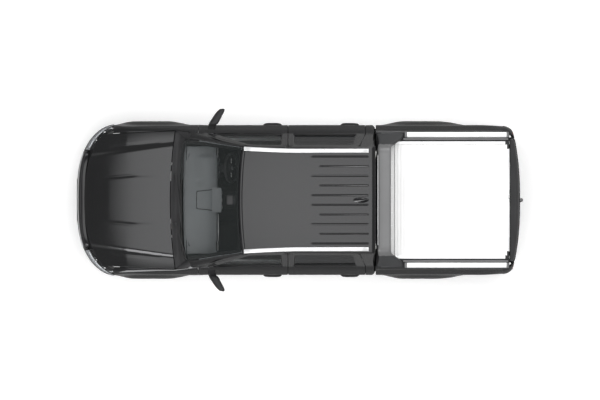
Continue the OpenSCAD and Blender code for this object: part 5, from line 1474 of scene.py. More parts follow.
def wing_mirrors():
    """Door mirrors: superellipse rings carried along a line that leans back, a lighter band across the
    housing, the mirror glass in its mouth, a lamp strip and a foot on the door."""
    n, m = 30, 40
    t = np.linspace(0, 1, n)
    a = np.linspace(0, 2 * np.pi, m, endpoint=False)
    fade = (1 - np.abs(2 * t - 1) ** 5) ** 0.5
    mid = np.stack([mix(1.660, 1.778, t ** 1.1), mix(0.905, 1.110, t), mix(1.345, 1.372, t)], -1)
    deep = (0.064 - 0.022 * t) * fade + 0.004
    tall = (0.098 - 0.014 * t) * fade + 0.004
    c, w = np.cos(a), np.sin(a)
    x = np.sign(c) * np.abs(c) ** 0.75
    zz = np.sign(w) * np.abs(w) ** 0.7
    P = np.stack([mid[:, :1] + deep[:, None] * x, mid[:, 1:2] + 0 * x[None],
                  mid[:, 2:] + tall[:, None] * zz], -1)
    caps = [P[:1].mean(1, keepdims=True) + 0 * P[:1], P[-1:].mean(1, keepdims=True) + 0 * P[-1:]]
    # The mouth at the back is a flat, set-in face
    P[..., 0] = np.minimum(P[..., 0], mid[:, :1] + 0.72 * deep[:, None])
    grid = np.concatenate([caps[0], P, caps[1]])
    F = quads(len(grid), m, wrap_v=True)
    V = grid.reshape(-1, 3)
    low = (V[F].mean(1)[:, 2] < 1.318)
    housing = (V, outward(V, F), np.where(low, 1, 0))
    u = np.linspace(-0.86, 0.86, 16)[:, None]
    v = np.linspace(0.07, 0.93, 20)[None]
    glass = np.stack([np.interp(v, t, mid[:, 0] + 0.72 * deep) + 0.0012 + 0 * u,
                      np.interp(v, t, mid[:, 1]) + 0 * u,
                      np.interp(v, t, mid[:, 2])
                      + np.interp(v, t, tall) * u * (1 - 0.10 * np.abs(2 * v - 1) ** 3)], -1)
    mirror = skin(glass, 0.003, mats=(2, 2, 2), away=(1, 0, 0))
    band_t = np.linspace(0.10, 0.97, 30)
    band = np.stack([np.interp(band_t, t, mid[:, 0] - deep) - 0.001, np.interp(band_t, t, mid[:, 1]),
                     np.interp(band_t, t, mid[:, 2]) - 0.030], -1)
    strip = carried(band, [(-0.004, -0.010), (0.003, -0.009), (0.003, 0.009), (-0.004, 0.010)], mat=3)
    lamp = carried(band[12:] + np.array([-0.0015, 0, -0.018]),
                   [(-0.004, -0.004), (0.003, -0.004), (0.003, 0.004),
                                                               (-0.004, 0.004)], mat=4)
    foot = carried(np.array([[1.635, 0.86, 1.245], [1.640, 0.90, 1.262], [1.655, 0.935, 1.285]]),
                   [(-0.040, -0.014), (0.040, -0.014), (0.045, 0.0), (0.036, 0.014), (-0.036, 0.014),
                    (-0.045, 0.0)], mat=0)
    sail = side(np.array([[1.585, 1.60, 1.645], [1.625, 1.66, 1.70]]),
                np.array([[1.252, 1.29, 1.345], [1.252, 1.29, 1.335]]))
    sail[..., 1] += 0.004
    parts = [housing, mirror, strip, lamp, foot, skin(sail, 0.010, away=(0, 1, 0))]
    for name, change in (("right", lambda p: p), ("left", flip)):
        piece(f"door_mirror_{name}", [change(p) for p in parts], [TRIM, GLOSS, REFLECTOR, ALLOY, AMBER],
              f"front_{name}_door", f"mirror_{name}", bevel=0.001, sharp=50)


# ---------------------------------------------------------------- load bed

CORNER_S = TAIL - 0.200
LAMP2_Z0, LAMP2_Z1 = span("tail_lamps", 2)
BUMPER2_Z = span("rear_bumper", 2)
COVER_Y = WALL_Y - 0.045


def corner_skin(k, z):
    """The rear corner at a height: a quadratic curve in plan from the side round to the tailgate."""
    k, z = np.broadcast_arrays(k, z)
    y0, y1 = side_y(np.full_like(z, CORNER_S), z), GATE_Y + GAP
    y0 = np.maximum(y0, SIDE_TOP * (z > 1.0))
    s = bend(CORNER_S, tail_s(0.79) + 0.012, tail_s(y1), k)
    return np.stack([s, bend(y0, y0 - 0.012, y1, k), z], -1)


def bed_panels():
    """Outer bed sides: from the arch's edge up to the rail, where they roll over, with the flares and
    the side's pressed shape; plain corners above and below the tail lamps."""
    s = np.concatenate([np.linspace(BED, REAR - ARCH_R - 0.002, 4)[:-1], arch_stations(REAR, 72),
                        np.linspace(REAR + ARCH_R, CORNER_S - 0.001, 30)[1:]])[:, None]
    low = mix(SILL, 0.50, clamp((s - REAR - ARCH_R) / (CORNER_S - REAR - ARCH_R)))
    z0 = np.maximum(arch_z(s, REAR), low)
    z1 = BED_TOP - 0.030
    k = np.linspace(0, 1, 42)[None]
    z = mix(z0, z1, k)
    body = side(s, np.minimum(z, BELT))
    y = np.maximum(body[..., 1], SIDE_TOP)
    # A soft blend where the leaning side meets the upright upper edge
    y = y + 0.004 * ridge(z - 1.245, 0.05)
    P = np.stack([body[..., 0], y, z], -1)
    k = np.linspace(0, 1, 12)[None, 1:]
    roll = np.stack(np.broadcast_arrays(s, SIDE_TOP - 0.018 * k * k,
                                        mix(z1, BED_TOP, np.sin(np.pi / 2 * k))), -1)
    P = np.concatenate([P, roll], 1)
    sheets = [skin(P, 0.012, away=(0, 1, 0.2))]
    a = np.linspace(0.03, np.pi - 0.03, 48)
    ring = np.stack([REAR - ARCH_R * np.cos(a), 0 * a, HUB_Z + ARCH_R * np.sin(a)], -1)
    ring[:, 1] = side_y(ring[:, 0], ring[:, 2])
    depth = np.linspace(0, 1, 5)[None, :, None]
    lip = ring[:, None] - depth * np.array([0, 0.045, 0])
    out = (lip - np.array([REAR, 0, HUB_Z])) * np.array([1, 0, 1])
    out = out / np.linalg.norm(out, axis=-1, keepdims=True)
    sheets.append(slab(lip - 0.001 * out, lip + 0.012 * out))
    k = np.linspace(0, 1, 24)[:, None]
    for lo, hi, n in ((LAMP2_Z1 + 0.003, BED_TOP, 12), (BUMPER2_Z[1] + 0.012, LAMP2_Z0 - 0.003, 8)):
        C = corner_skin(k, np.linspace(lo, hi, n)[None])
        C[..., 1] -= 0.018 * clamp((C[..., 2] - BED_TOP + 0.02) / 0.02) ** 2
        sheets.append(skin(C, 0.028, away=(0.4, 1, 0)))
    piece("bed_outer_sides", both(sheets), PAINT, "chassis", "bed_sides", bevel=0.002)
    # Fuel filler flap on the left
    fs, fz = BED + 0.16, 1.03
    flap = side(np.linspace(fs - 0.085, fs + 0.085, 24)[:, None],
                np.linspace(fz - 0.08, fz + 0.08, 24)[None])
    r = np.hypot((flap[..., 0] - fs) / 0.085, (flap[..., 2] - fz) / 0.080)
    inner = np.minimum(1, 0.98 / np.maximum(r, 1e-6) ** 0.35)
    flap[..., 0] = fs + (flap[..., 0] - fs) * np.where(r > 1, inner, 1)
    flap[..., 2] = fz + (flap[..., 2] - fz) * np.where(r > 1, inner, 1)
    flap[..., 1] = side(flap[..., 0], flap[..., 2])[..., 1] + 0.0016
    piece("filler_flap", [flip(skin(flap, 0.003, away=(0, 1, 0)))], PAINT, "chassis", bevel=0.0008)


def bed_inside():
    """The lined load space: a ribbed floor, ribbed walls, a front wall and caps along the top edges; the
    ribs are a squared-off wave across the bed."""
    parts = []
    s = np.linspace(BED + 0.002, TAIL - 0.120, 12)[:, None]
    y = np.linspace(-WALL_Y, WALL_Y, 172)[None]
    wave = np.clip(2.2 * np.sin(y * 2 * np.pi / 0.105) + 0.5, 0, 1)
    F = np.stack(np.broadcast_arrays(s, y, 0.853 + 0.007 * wave), -1)
    parts.append(slab(F, F - np.array([0, 0, 0.040])))
    z = np.linspace(0.862, BED_TOP - 0.006, 10)[None]
    q = np.linspace(BED + 0.03, TAIL - 0.121, 158)[:, None]
    wave = np.clip(2.2 * np.sin(q * 2 * np.pi / 0.16) + 0.5, 0, 1)
    wall = np.stack(np.broadcast_arrays(q, WALL_Y - 0.006 * wave, z), -1)
    parts += both([slab(wall, wall * np.array([1, 0, 1]) + np.array([0, WALL_Y + 0.016, 0]))])
    zz = np.linspace(0.862, BED_TOP - 0.006, 8)[:, None]
    yy = np.linspace(-WALL_Y + 0.002, WALL_Y - 0.002, 78)[None]
    ribs = np.clip(2.2 * np.sin(yy * 2 * np.pi / 0.18) + 0.5, 0, 1)
    front = np.stack(np.broadcast_arrays(BED + 0.048 + 0.006 * ribs, yy, zz), -1)
    parts.append(slab(front, front * np.array([0, 1, 1]) + np.array([BED + 0.03, 0, 0])))
    # Caps over the top of the bed sides and the front edge
    t = np.linspace(-1, 1, 22)[None]
    c = np.linspace(BED + 0.004, TAIL - 0.125, 40)[:, None]
    cap = np.stack(np.broadcast_arrays(c,
                                       (WALL_Y + SIDE_TOP - 0.02) / 2
                                       + 0.5 * (SIDE_TOP - WALL_Y + 0.006) * t,
                                       BED_TOP + 0.0035 - 0.010 * np.abs(t) ** 8), -1)
    parts += both([skin(cap, 0.010, away=(0, 0, 1))])
    strip = np.stack([np.linspace(BED + 0.33, TAIL - 0.14, 40), np.full(40, WALL_Y + 0.021),
                      np.full(40, BED_TOP + 0.004)], -1)
    parts += both([carried(strip, [(-0.010, -0.002), (0.010, -0.002), (0.009, 0.002), (-0.009, 0.002)],
                           mat=3)])
    fc = np.linspace(-SIDE_TOP + 0.02, SIDE_TOP - 0.02, 40)[:, None]
    edge = np.stack(np.broadcast_arrays(BED + 0.026 + 0.024 * t, fc,
                                        BED_TOP + 0.0035 - 0.008 * np.abs(t) ** 8), -1)
    parts.append(skin(edge, 0.010, away=(0, 0, 1)))
    for at in (0.4, 1.1):
        hook = np.linspace(0, np.pi, 14)
        loop = np.stack([BED + at + 0.035 * np.cos(hook), np.full(14, WALL_Y - 0.004),
                         0.90 + 0.03 * np.sin(hook)], -1)
        loop[:, 1] -= 0.02 * np.sin(hook)
        parts += both([tube(loop, 0.006, 10, mat=1)])
    # The closing panel under the tailgate
    parts.append(block((GATE_S - 0.045, -GATE_Y + 0.004, 0.726), (GATE_S - 0.006, GATE_Y - 0.004, 0.826),
                       0.008, 3, mat=2))
    bearers = []
    for sb in (BED + 0.20, REAR - 0.50, REAR + 0.52):
        bearers.append(block((sb, -0.425, 0.79), (sb + 0.06, 0.425, 0.815), 0.006, mat=2))
    # A dark sheet low between the cab and the bed: painted shade that closes the gap between them from below,
    # where it lies in shadow
    shade_sheet = block((CAB_END - 0.012, -0.862, 0.470), (BED + 0.012, 0.862, 0.480), 0.004, mat=2)
    # A dark sheet that closes the gap between the cab and the bed on each side: painted shade where the gap
    # lies in shadow
    cz = np.linspace(0.478, BELT - 0.06, 30)[None]
    cs = np.linspace(CAB_END - 0.004, BED + 0.004, 5)[:, None]
    shade_curtain = side(cs, cz)
    shade_curtain[..., 1] -= 0.045
    piece("cab_bed_curtain", both([skin(shade_curtain, 0.004, away=(0, 1, 0))]), TRIM, "chassis")
    piece("bed_liner", parts + bearers + [shade_sheet], [LINER, STEEL, CHASSIS, BAR], "chassis", "cargo_bed",
          bevel=0.001)
    # Sheet arches over all four wheels, ribbed round the wheel
    arches = []
    a = np.linspace(-0.02, np.pi + 0.02, 58)[:, None]
    for axle, y0, y1, r0, top in ((FRONT, 0.476, 0.786, 0.004, 9.0), (REAR, 0.557, 0.836, 0.008, 0.806)):
        y = np.linspace(y0, y1, 24)[None]
        r = ARCH_R + r0 + 0.006 * np.clip(np.sin(a * 16), 0,
                                          1) * ease((y - y0) / 0.03) * ease((y1 - y) / 0.03)
        A = np.stack(np.broadcast_arrays(axle - r * np.cos(a), y, HUB_Z + r * np.sin(a)), -1).copy()
        if axle == REAR:
            A[..., 2] = np.where(A[..., 1] < WALL_Y + 0.02, np.minimum(A[..., 2], top), A[..., 2])
        arches.append(skin(A, 0.004, away=(0, 0, 1))
                      if axle == FRONT else slab(A, A + np.array([0, 0, 0.003])))
    for axle, y, top in ((REAR, 0.560, 0.806),):
        q = np.linspace(-1, 1, 40)[:, None]
        k = np.linspace(0, 1, 8)[None]
        zt = np.minimum(top, HUB_Z
                        + np.sqrt(np.maximum(0, (ARCH_R + 0.012) ** 2 - (q * (ARCH_R + 0.008)) ** 2)))
        W = np.stack(np.broadcast_arrays(axle + q * (ARCH_R + 0.008), y,
                                         mix(HUB_Z + 0.15 * (1 - q * q), zt, k)), -1)
        arches.append(slab(W, W - np.array([0, 0.004, 0])))
    piece("wheel_arch_liners", both(arches), LINER, "chassis", "wheel_liners")


def tailgate():
    """Tailgate: an outer skin with a dished panel, a lip along its top edge and a handle in a recess; a
    ribbed inner skin."""
    y = np.linspace(-GATE_Y, GATE_Y, 106)[:, None]
    z = np.concatenate([np.linspace(GATE_Z, GATE_Z + 0.10, 8)[:-1],
                        np.linspace(GATE_Z + 0.10, BED_TOP - 0.02, 46)[:-1],
                        np.linspace(BED_TOP - 0.02, BED_TOP, 8)])[None]
    dish = 0.026 * ease((z - GATE_Z - 0.10) / 0.08) * ease((BED_TOP - 0.062 - z)
                                                           / 0.03) * ease((GATE_Y - 0.05 - np.abs(y))
                                                                          / 0.06)
    low = 0.010 * ridge(z - GATE_Z - 0.14, 0.05)
    roll = 0.014 * clamp((z - BED_TOP + 0.02) / 0.02) ** 2 + 0.012 * clamp((GATE_Z + 0.02 - z)
                                                                           / 0.02) ** 2
    handle = 0.030 * ease(1.2 - np.maximum(np.abs(y) / 0.125, np.abs(z - 1.215) / 0.040) ** 1.0 * 1.0) \
        * (np.abs(y) < 0.15) * (np.abs(z - 1.215) < 0.05)
    s = tail_s(y) - dish + low - roll - handle
    P = np.stack(np.broadcast_arrays(s, y, z), -1)
    front = GATE_S + 0.006 * np.clip(2 * np.sin(y * 2 * np.pi / 0.21) * ease((z - GATE_Z - 0.05) / 0.02)
                                     * ease((BED_TOP - 0.05 - z) / 0.02), 0, 1)
    Q = np.stack(np.broadcast_arrays(front, y, z), -1)
    shell = slab(P, Q, mats=(0, 1, 0))
    # Spoiler lip, handle flap and lock, and a step line
    yy = np.linspace(-GATE_Y + 0.012, GATE_Y - 0.012, 80)
    lip = np.stack([tail_s(yy) - 0.006, yy, np.full(80, BED_TOP - 0.012)], -1)
    parts = [shell, carried(lip,
                            [(-0.010, -0.012), (0.010, -0.008), (0.012, 0.006), (0.004, 0.014),
                             (-0.012, 0.013)], mat=2)]
    h = np.linspace(-0.105, 0.105, 30)
    grip = np.stack([tail_s(h) - 0.030, h, np.full(30, 1.213)], -1)
    parts.append(carried(grip, [(-0.010, -0.020), (0.008, -0.020), (0.011, 0.0), (0.008, 0.020),
                                (-0.010, 0.020)], mat=2))
    parts.append(turned([(0.0005, 0.010), (0.013, 0.009), (0.014, 0.0), (0.014, -0.01), (0.0005, -0.01)],
                        (float(tail_s(0.16)) - 0.026, 0.165, 1.213), 24, 3, axis=0))
    cam = float(tail_s(0.0)) - 0.030
    parts.append(block((cam - 0.01, -0.014, 1.160), (cam + 0.008, 0.014, 1.178), 0.005, mat=2))
    cap_y = np.linspace(-GATE_Y + 0.01, GATE_Y - 0.01, 40)[:, None]
    w = np.linspace(0, 1, 10)[None]
    cap = np.stack(np.broadcast_arrays(mix(GATE_S + 0.004, tail_s(cap_y) - 0.016, w), cap_y,
                                       BED_TOP + 0.002 - 0.002 * w), -1)
    parts.append(skin(cap, 0.006, mats=(4, 4, 4), away=(0, 0, 1)))
    piece("tailgate_panel", parts, [PAINT, LINER, GLOSS, STEEL, TRIM], "tailgate", "tailgate",
          bevel=0.0015)


def tail_lamps():
    """Tail lamps: a red cover round the corner with an amber band and a clear one, and dark ribs inside."""
    parts = []
    z0, z1 = LAMP2_Z0 + 0.002, LAMP2_Z1 - 0.002
    bands = [(0.0, 0.34, 0), (0.35, 0.48, 1), (0.49, 0.62, 2), (0.63, 1.0, 0)]
    for a, b, m in bands:
        z = np.linspace(mix(z0, z1, a), mix(z0, z1, b), 24)[None]
        for k, tint in ((np.linspace(0, 0.6, 24)[:, None], 4), (np.linspace(0.6, 1, 20)[:, None], m)):
            C = corner_skin(k, z)
            puff = 0.004 * np.sin(np.pi * (z - z0) / (z1 - z0)) ** 0.5
            C[..., 1] += puff * (1 - k)
            C[..., 0] += puff * k
            parts.append(skin(C, 0.020, mats=(tint, 3, tint), away=(0.4, 1, 0)))
    for t in np.linspace(0.05, 0.95, 7):
        z = np.linspace(z0 + 0.01, z1 - 0.01, 30)
        line = corner_skin(np.full(30, t), z)
        line[:, 1] += 0.0035
        parts.append(tube(line, 0.0022, 6, mat=4, up=(1, 0, 0)))
    piece("tail_lamp_units", both(parts), [RED, AMBER, LENS, DARK_CABIN, GLOSS], "chassis", "tail_lamps",
          bevel=0.001)


def rear_bumper():
    """Rear bumper: the corners' plan carried on across the back, with ribbed steps on top, a dished plate
    recess with two lamps, parking sensors and reflectors."""
    z0, z1 = BUMPER2_Z
    ks = np.linspace(0, 1, 26)
    ys = np.linspace(GATE_Y + GAP, 0, 50)[1:]
    parts = []
    z = np.linspace(0, 1, 26)[:, None]
    corner = corner_skin(ks[None], mix(z0, z1, z))
    back = np.stack(np.broadcast_arrays(tail_s(ys)[None], ys[None], mix(z0, z1, z)), -1)
    P = np.concatenate([corner, back], 1)
    under = 0.020 * clamp((0.55 - P[..., 2]) / 0.05) ** 2
    step = 0.012 * ease((P[..., 2] - z1 + 0.045) / 0.02) * ease((np.abs(P[..., 1]) - 0.36)
                                                                / 0.03) * (P[..., 0] > CORNER_S + 0.1)
    recess = 0.045 * ease((0.30 - np.abs(P[..., 1])) / 0.02) * ease((P[..., 2] - 0.555)
                                                                    / 0.015) * ease((0.690 - P[..., 2])
                                                                                    / 0.012)
    P[..., 0] -= under * (P[..., 1] < 0.78) + step + recess
    P[..., 1] -= under * (P[..., 1] >= 0.78)
    parts.append(skin(P, 0.010, mats=(0, 0, 0), away=(0.7, 0.7, 0)))
    # Top shelf with step ribs
    ky = np.concatenate([np.linspace(0, 0.60, 40), np.linspace(0.60, GATE_Y + 0.02, 14)[1:]])[:, None]
    w = np.linspace(0, 1, 40)[None]
    shelf_s = mix(tail_s(ky) - 0.092, tail_s(ky) - 0.003, w)
    ribs = 0.003 * np.clip(np.sin(w * np.pi * 15) * 2, 0,
                           1) * ease((w - 0.08) / 0.05) * ease((0.95 - w) / 0.04)
    top = np.stack(np.broadcast_arrays(shelf_s, ky, z1 - 0.002 + ribs), -1)
    parts.append(skin(top, 0.008, away=(0, 0, 1)))
    for y in (0.26, 0.62):
        s = float(tail_s(y)) if y > 0.3 else float(tail_s(y)) - 0.002
        parts.append(turned([(0.0004, 0.004), (0.011, 0.0035), (0.012, 0.0), (0.012, -0.01),
                             (0.0004, -0.01)],
                            (s, y + (0.06 if y < 0.3 else 0), 0.60), 24, 1, axis=0))
    ref = np.stack([tail_s(np.linspace(0.50, 0.66, 14)), np.linspace(0.50, 0.66, 14), np.full(14, 0.538)],
                   -1)
    parts.append(carried(ref, [(-0.006, -0.014), (0.004, -0.014), (0.004, 0.014), (-0.006, 0.014)],
                         mat=2))
    parts.append(block((float(tail_s(0.1)) - 0.055, 0.06, 0.688),
                       (float(tail_s(0.1)) - 0.012, 0.12, 0.700), 0.003, mat=3))
    all_parts = both(parts)
    plate_s = float(tail_s(0.0)) - 0.040
    all_parts.append(block((plate_s - 0.003, -0.26, 0.568), (plate_s + 0.001, 0.26, 0.678), 0.002, mat=4))
    piece("rear_bumper_and_step", all_parts, [TRIM, GLOSS, RED, LENS, WHITE], "chassis", "rear_bumper",
          bevel=0.0012)


def roll_cover():
    """The roll-up cover: slats whose profile is carried across the bed, each a shallow crown with a
    hooked groove; side tracks with black ends; a closed housing at the front; and a grab bar at the rear."""
    pitch = 0.0395
    s_first = BED + 0.225
    n = int((TAIL - 0.122 - s_first) / pitch)
    t = np.linspace(0, 1, 14, endpoint=False)
    s = (s_first + pitch * (np.arange(n)[:, None] + t[None])).ravel()
    t = np.tile(t, n)
    z = BED_TOP + 0.0025 - 0.0008 * (2 * t
                                     - 1) ** 2 - 0.0030 * ease((t - 0.88) / 0.04) - 0.0015 * ridge(t
                                                                                                   - 0.45,
                                                                                                   0.03)
    y = np.linspace(-COVER_Y, COVER_Y, 12)
    P = np.stack(np.broadcast_arrays(s[:, None], y[None], z[:, None]), -1)
    parts = [slab(P, np.stack(np.broadcast_arrays(s[:, None], y[None], BED_TOP - 0.012), -1),
                  mats=(0, 1, 0))]
    tracks = []
    t0, t1 = BED + 0.075, TAIL - 0.124
    q = np.linspace(t0, t1, 50)
    base = np.stack([q, np.full(50, (COVER_Y + WALL_Y) / 2 - 0.003), np.full(50, BED_TOP)], -1)
    half = (WALL_Y - COVER_Y) / 2 - 0.004
    profile = [(-half, -0.030), (half, -0.030), (half, 0.004), (half - 0.005, 0.0075),
               (-half + 0.004, 0.0075), (-half, 0.004)]
    tracks.append(carried(base, profile, mat=2))
    for a in (t0 + 0.004, t1 - 0.052):
        tracks.append(block((a, COVER_Y - 0.002, BED_TOP - 0.032),
                            (a + 0.050, WALL_Y - 0.003, BED_TOP + 0.0095), 0.004, mat=3))
    tracks.append(block((t1 - 0.030, 0.62, BED_TOP - 0.004), (t1 - 0.004, COVER_Y, BED_TOP + 0.006),
                        0.003, mat=3))
    parts += both(tracks)
    parts.append(block((BED + 0.052, -COVER_Y, BED_TOP - 0.208), (BED + 0.222, COVER_Y, BED_TOP + 0.001),
                       0.012, mat=0))
    for k in np.linspace(-0.62, 0.62, 9):
        parts.append(block((BED + 0.075, k - 0.004, BED_TOP), (BED + 0.205, k + 0.004, BED_TOP + 0.004),
                           0.0015, mat=4))
    end = TAIL - 0.138
    parts.append(block((end, -COVER_Y + 0.05, BED_TOP - 0.010),
                       (end + 0.014, COVER_Y - 0.05, BED_TOP + 0.005), 0.003, mat=4))
    piece("roll_cover_slats", parts, [SLAT, TRIM, SATIN, TRIM, SATIN], "chassis", "roll_cover",
          bevel=0.0006, sharp=30)


def bed_rails():
    """Rails on the bed sides: a flattened tube on four feet with moulded end caps."""
    s0, s1 = (v - NOSE for v in span("bed_rails", 0))
    y = SIDE_TOP - 0.046
    q = np.linspace(s0 + 0.03, s1 - 0.03, 60)
    path = np.stack([q, np.full(60, y), np.full(60, BED_TOP + 0.032)], -1)
    a = np.linspace(0, 2 * np.pi, 28, endpoint=False)
    profile = np.stack([0.0315 * np.sign(np.cos(a)) * np.abs(np.cos(a)) ** 0.55,
                        0.0135 * np.sign(np.sin(a)) * np.abs(np.sin(a)) ** 0.7], -1)
    parts = [carried(path, profile)]
    for b0, b1 in ((s0, s0 + 0.034), (s1 - 0.034, s1)):
        parts.append(block((b0, y - 0.033, BED_TOP + 0.015), (b1, y + 0.033, BED_TOP + 0.0465), 0.010, 4,
                           mat=1))
    for k in (0.02, 0.34, 0.66, 0.97):
        c = mix(s0, s1 - 0.03, k)
        parts.append(block((c, y - 0.022, BED_TOP + 0.002), (c + 0.07, y + 0.022, BED_TOP + 0.026), 0.008,
                           mat=1))
    piece("bed_side_rails", both(parts), [SATIN, BAR], "chassis", "bed_rails",
          bevel=0.0008)


def sports_bar():
    """The sports bar: a superellipse section carried over the bed, up one leg, across and down the other,
    with a brighter front lip, a red lamp at the back of the hoop and rearward feet."""
    top = span("sports_bar", 2)[1]
    foot_y, hoop_y = SIDE_TOP - 0.045, 0.615
    k = np.linspace(0, 1, 40)
    leg = np.stack([mix(BED + 0.150, BED + 0.098, ease(k)), mix(foot_y, hoop_y, k) ,
                    mix(BED_TOP + 0.004, top - 0.055, k)], -1)
    turn = np.linspace(0, 1, 16)[1:]
    bend_pts = np.stack([np.full(15, BED + 0.097), bend(hoop_y, hoop_y - 0.02, hoop_y - 0.085, turn),
                         bend(top - 0.055, top - 0.030, top - 0.028, turn)], -1)
    across = np.stack([np.full(60, BED + 0.097), np.linspace(hoop_y - 0.085, 0, 60)[:],
                       np.full(60, top - 0.028)], -1)[1:]
    half = np.concatenate([leg, bend_pts, across])
    path = np.concatenate([half, (half * np.array([1, -1, 1]))[::-1][1:]])
    t = np.gradient(path, axis=0)
    t /= np.linalg.norm(t, axis=1, keepdims=True)
    fore = np.array([1.0, 0, 0]) - t * t[:, :1]
    fore /= np.linalg.norm(fore, axis=1, keepdims=True)
    out = np.cross(t, fore)
    low = ease((BED_TOP + 0.22 - path[:, 2]) / 0.22)[:, None]
    wide = 0.080 + 0.055 * low
    thick = 0.026 - 0.004 * low
    a = np.linspace(0, 2 * np.pi, 40, endpoint=False)
    c, w = np.cos(a), np.sin(a)
    X = np.sign(c) * np.abs(c) ** 0.45
    Z = np.sign(w) * np.abs(w) ** 0.6
    P = path[:, None] + fore[:, None] * (wide * X[None])[..., None] + out[:,
                                                                          None] * (thick * Z[None])[...,
                                                                                                    None]
    P[..., 0] += (0.045 * low * (X[None] > 0))
    P[..., 2] = np.maximum(P[..., 2], BED_TOP + 0.004)
    caps = [P[:1].mean(1, keepdims=True) + 0 * P[:1], P[-1:].mean(1, keepdims=True) + 0 * P[-1:]]
    G = np.concatenate([caps[0], P, caps[1]])
    V, F = G.reshape(-1, 3), quads(len(G), 40, wrap_v=True)
    leg_faces = np.abs(V[F].mean(1)[:, 1]) > 0.675
    hoop = (V, outward(V, F), np.where(leg_faces, 4, 0))
    lip_y = np.linspace(-hoop_y + 0.07, hoop_y - 0.07, 70)
    lip = np.stack([np.full(70, BED + 0.022), lip_y, np.full(70, top - 0.020)], -1)
    parts = [hoop, carried(lip, [(-0.006, -0.010), (0.006, -0.010), (0.006, 0.010), (-0.006, 0.010)],
                           mat=1)]
    lamp = block((BED + 0.165, -0.11, top - 0.062), (BED + 0.1775, 0.11, top - 0.042), 0.004, mat=3)
    parts.append(lamp)
    feet = []
    q = np.linspace(0, 1, 30)[:, None]
    wv = np.linspace(-1, 1, 14)[None]
    fs = mix(BED + 0.06, BED + 0.318, q)
    plate = np.stack(np.broadcast_arrays(fs, foot_y - 0.004 + 0.030 * wv * (1 - 0.3 * q ** 3),
                                         BED_TOP + 0.010 + 0.030 * (1 - q) ** 1.5 - 0.005 * wv ** 4), -1)
    feet.append(slab(plate, plate * np.array([1, 1, 0]) + np.array([0, 0, BED_TOP + 0.003]),
                     mats=(4, 4, 4)))
    for at in (0.20, 0.26, 0.30):
        feet.append(turned([(0.0004, 0.006), (0.007, 0.005), (0.009, 0.0), (0.009, -0.01),
                            (0.0004, -0.01)],
                           (BED + at, foot_y - 0.004, BED_TOP + 0.018), 16, 1, axis=2))
    parts += both(feet)
    piece("sports_bar_hoop", parts, [BAR, SATIN, TRIM, RED, DARK_BAR], "chassis", "sports_bar",
          bevel=0.0015)


doors()
wing_mirrors()
bed_panels()
bed_inside()
tailgate()
tail_lamps()
rear_bumper()
roll_cover()
bed_rails()
sports_bar()

# ---------------------------------------------------------------- cabin

WHEEL_S, WHEEL_C, WHEEL_Z = 1.875, 0.389, 1.150


def facia():
    """The dashboard: a closed section of (station, height) points carried across the cab, raised into a
    hood over the instruments and dipped toward the doors."""
    section = outline([[SCREEN_S + 0.030, 1.160], [1.46, 1.188], [1.600, 1.172], [1.700, 1.115],
                       [1.716, 1.040], [1.672, 0.962],
                       [1.60, 0.918], [1.46, 0.915], [1.345, 0.960], [1.30, 1.08]],
                      [0.03, 0.05, 0.06, 0.03, 0.04, 0.03, 0.03, 0.04, 0.04, 0.03], 9, 7)
    y = np.concatenate([np.linspace(-0.652, -0.64, 4)[:-1], np.linspace(-0.64, 0.64, 98),
                        np.linspace(0.64, 0.652, 4)[1:]])[:, None]
    s, z = section[None, :, 0], section[None, :, 1]
    upper = ease((z - 1.03) / 0.06)
    hood = ease(1 - np.maximum(np.abs(y - WHEEL_C) - 0.115, 0) / 0.065)
    s2 = s + 0.012 * hood * upper * ease((s - 1.55) / 0.08) - 0.010 * (y / 0.64) ** 2 * (s > 1.5)
    z2 = z + 0.034 * hood * ridge(s - 1.585, 0.17) ** 0.8 * upper + 0.012 * ridge(y,
                                                                                  0.20) * ridge(s - 1.62,
                                                                                                0.12) * upper
    z2 = z2 - 0.012 * (np.abs(y) / 0.64) ** 4 * upper
    shrink = 1 - 0.02 * clamp((np.abs(y) - 0.64) / 0.012)
    mid_s, mid_z = section[:, 0].mean(), section[:, 1].mean()
    P = np.stack(np.broadcast_arrays(mid_s + (s2 - mid_s) * shrink, y, mid_z + (z2 - mid_z) * shrink), -1)
    P = np.concatenate([P[:1].mean(1, keepdims=True) + 0 * P[:1], P,
                        P[-1:].mean(1, keepdims=True) + 0 * P[-1:]])
    V, F = P.reshape(-1, 3), quads(len(P), P.shape[1], wrap_v=True)
    c = V[F].mean(1)
    return V, outward(V, F), np.where(c[:, 2] < 1.03, 1, 0)


def vent(y, z, w, h, s):
    """An air vent: a rounded frame as a carried loop, five slats and a knob."""
    a = np.linspace(0, 2 * np.pi, 40)
    c, k = np.cos(a), np.sin(a)
    loop = np.stack([np.full(40, s), y + w * np.sign(c) * np.abs(c) ** 0.4,
                     z + h * np.sign(k) * np.abs(k) ** 0.4], -1)
    parts = [tube(np.concatenate([loop, loop[1:2]]), 0.004, 8, mat=2, up=(1, 0, 0))]
    for q in np.linspace(-0.72, 0.72, 5):
        parts.append(block((s - 0.016, y - w * 0.94, z + h * q - 0.0012),
                           (s - 0.002, y + w * 0.94, z + h * q + 0.0012), 0.001, 1, mat=1))
    parts.append(block((s - 0.004, y - 0.006, z - 0.006), (s + 0.006, y + 0.006, z + 0.006), 0.002, 2,
                       mat=2))
    parts.append(block((s - 0.020, y - w, z - h), (s - 0.014, y + w, z + h), 0.002, 1, mat=3))
    return parts


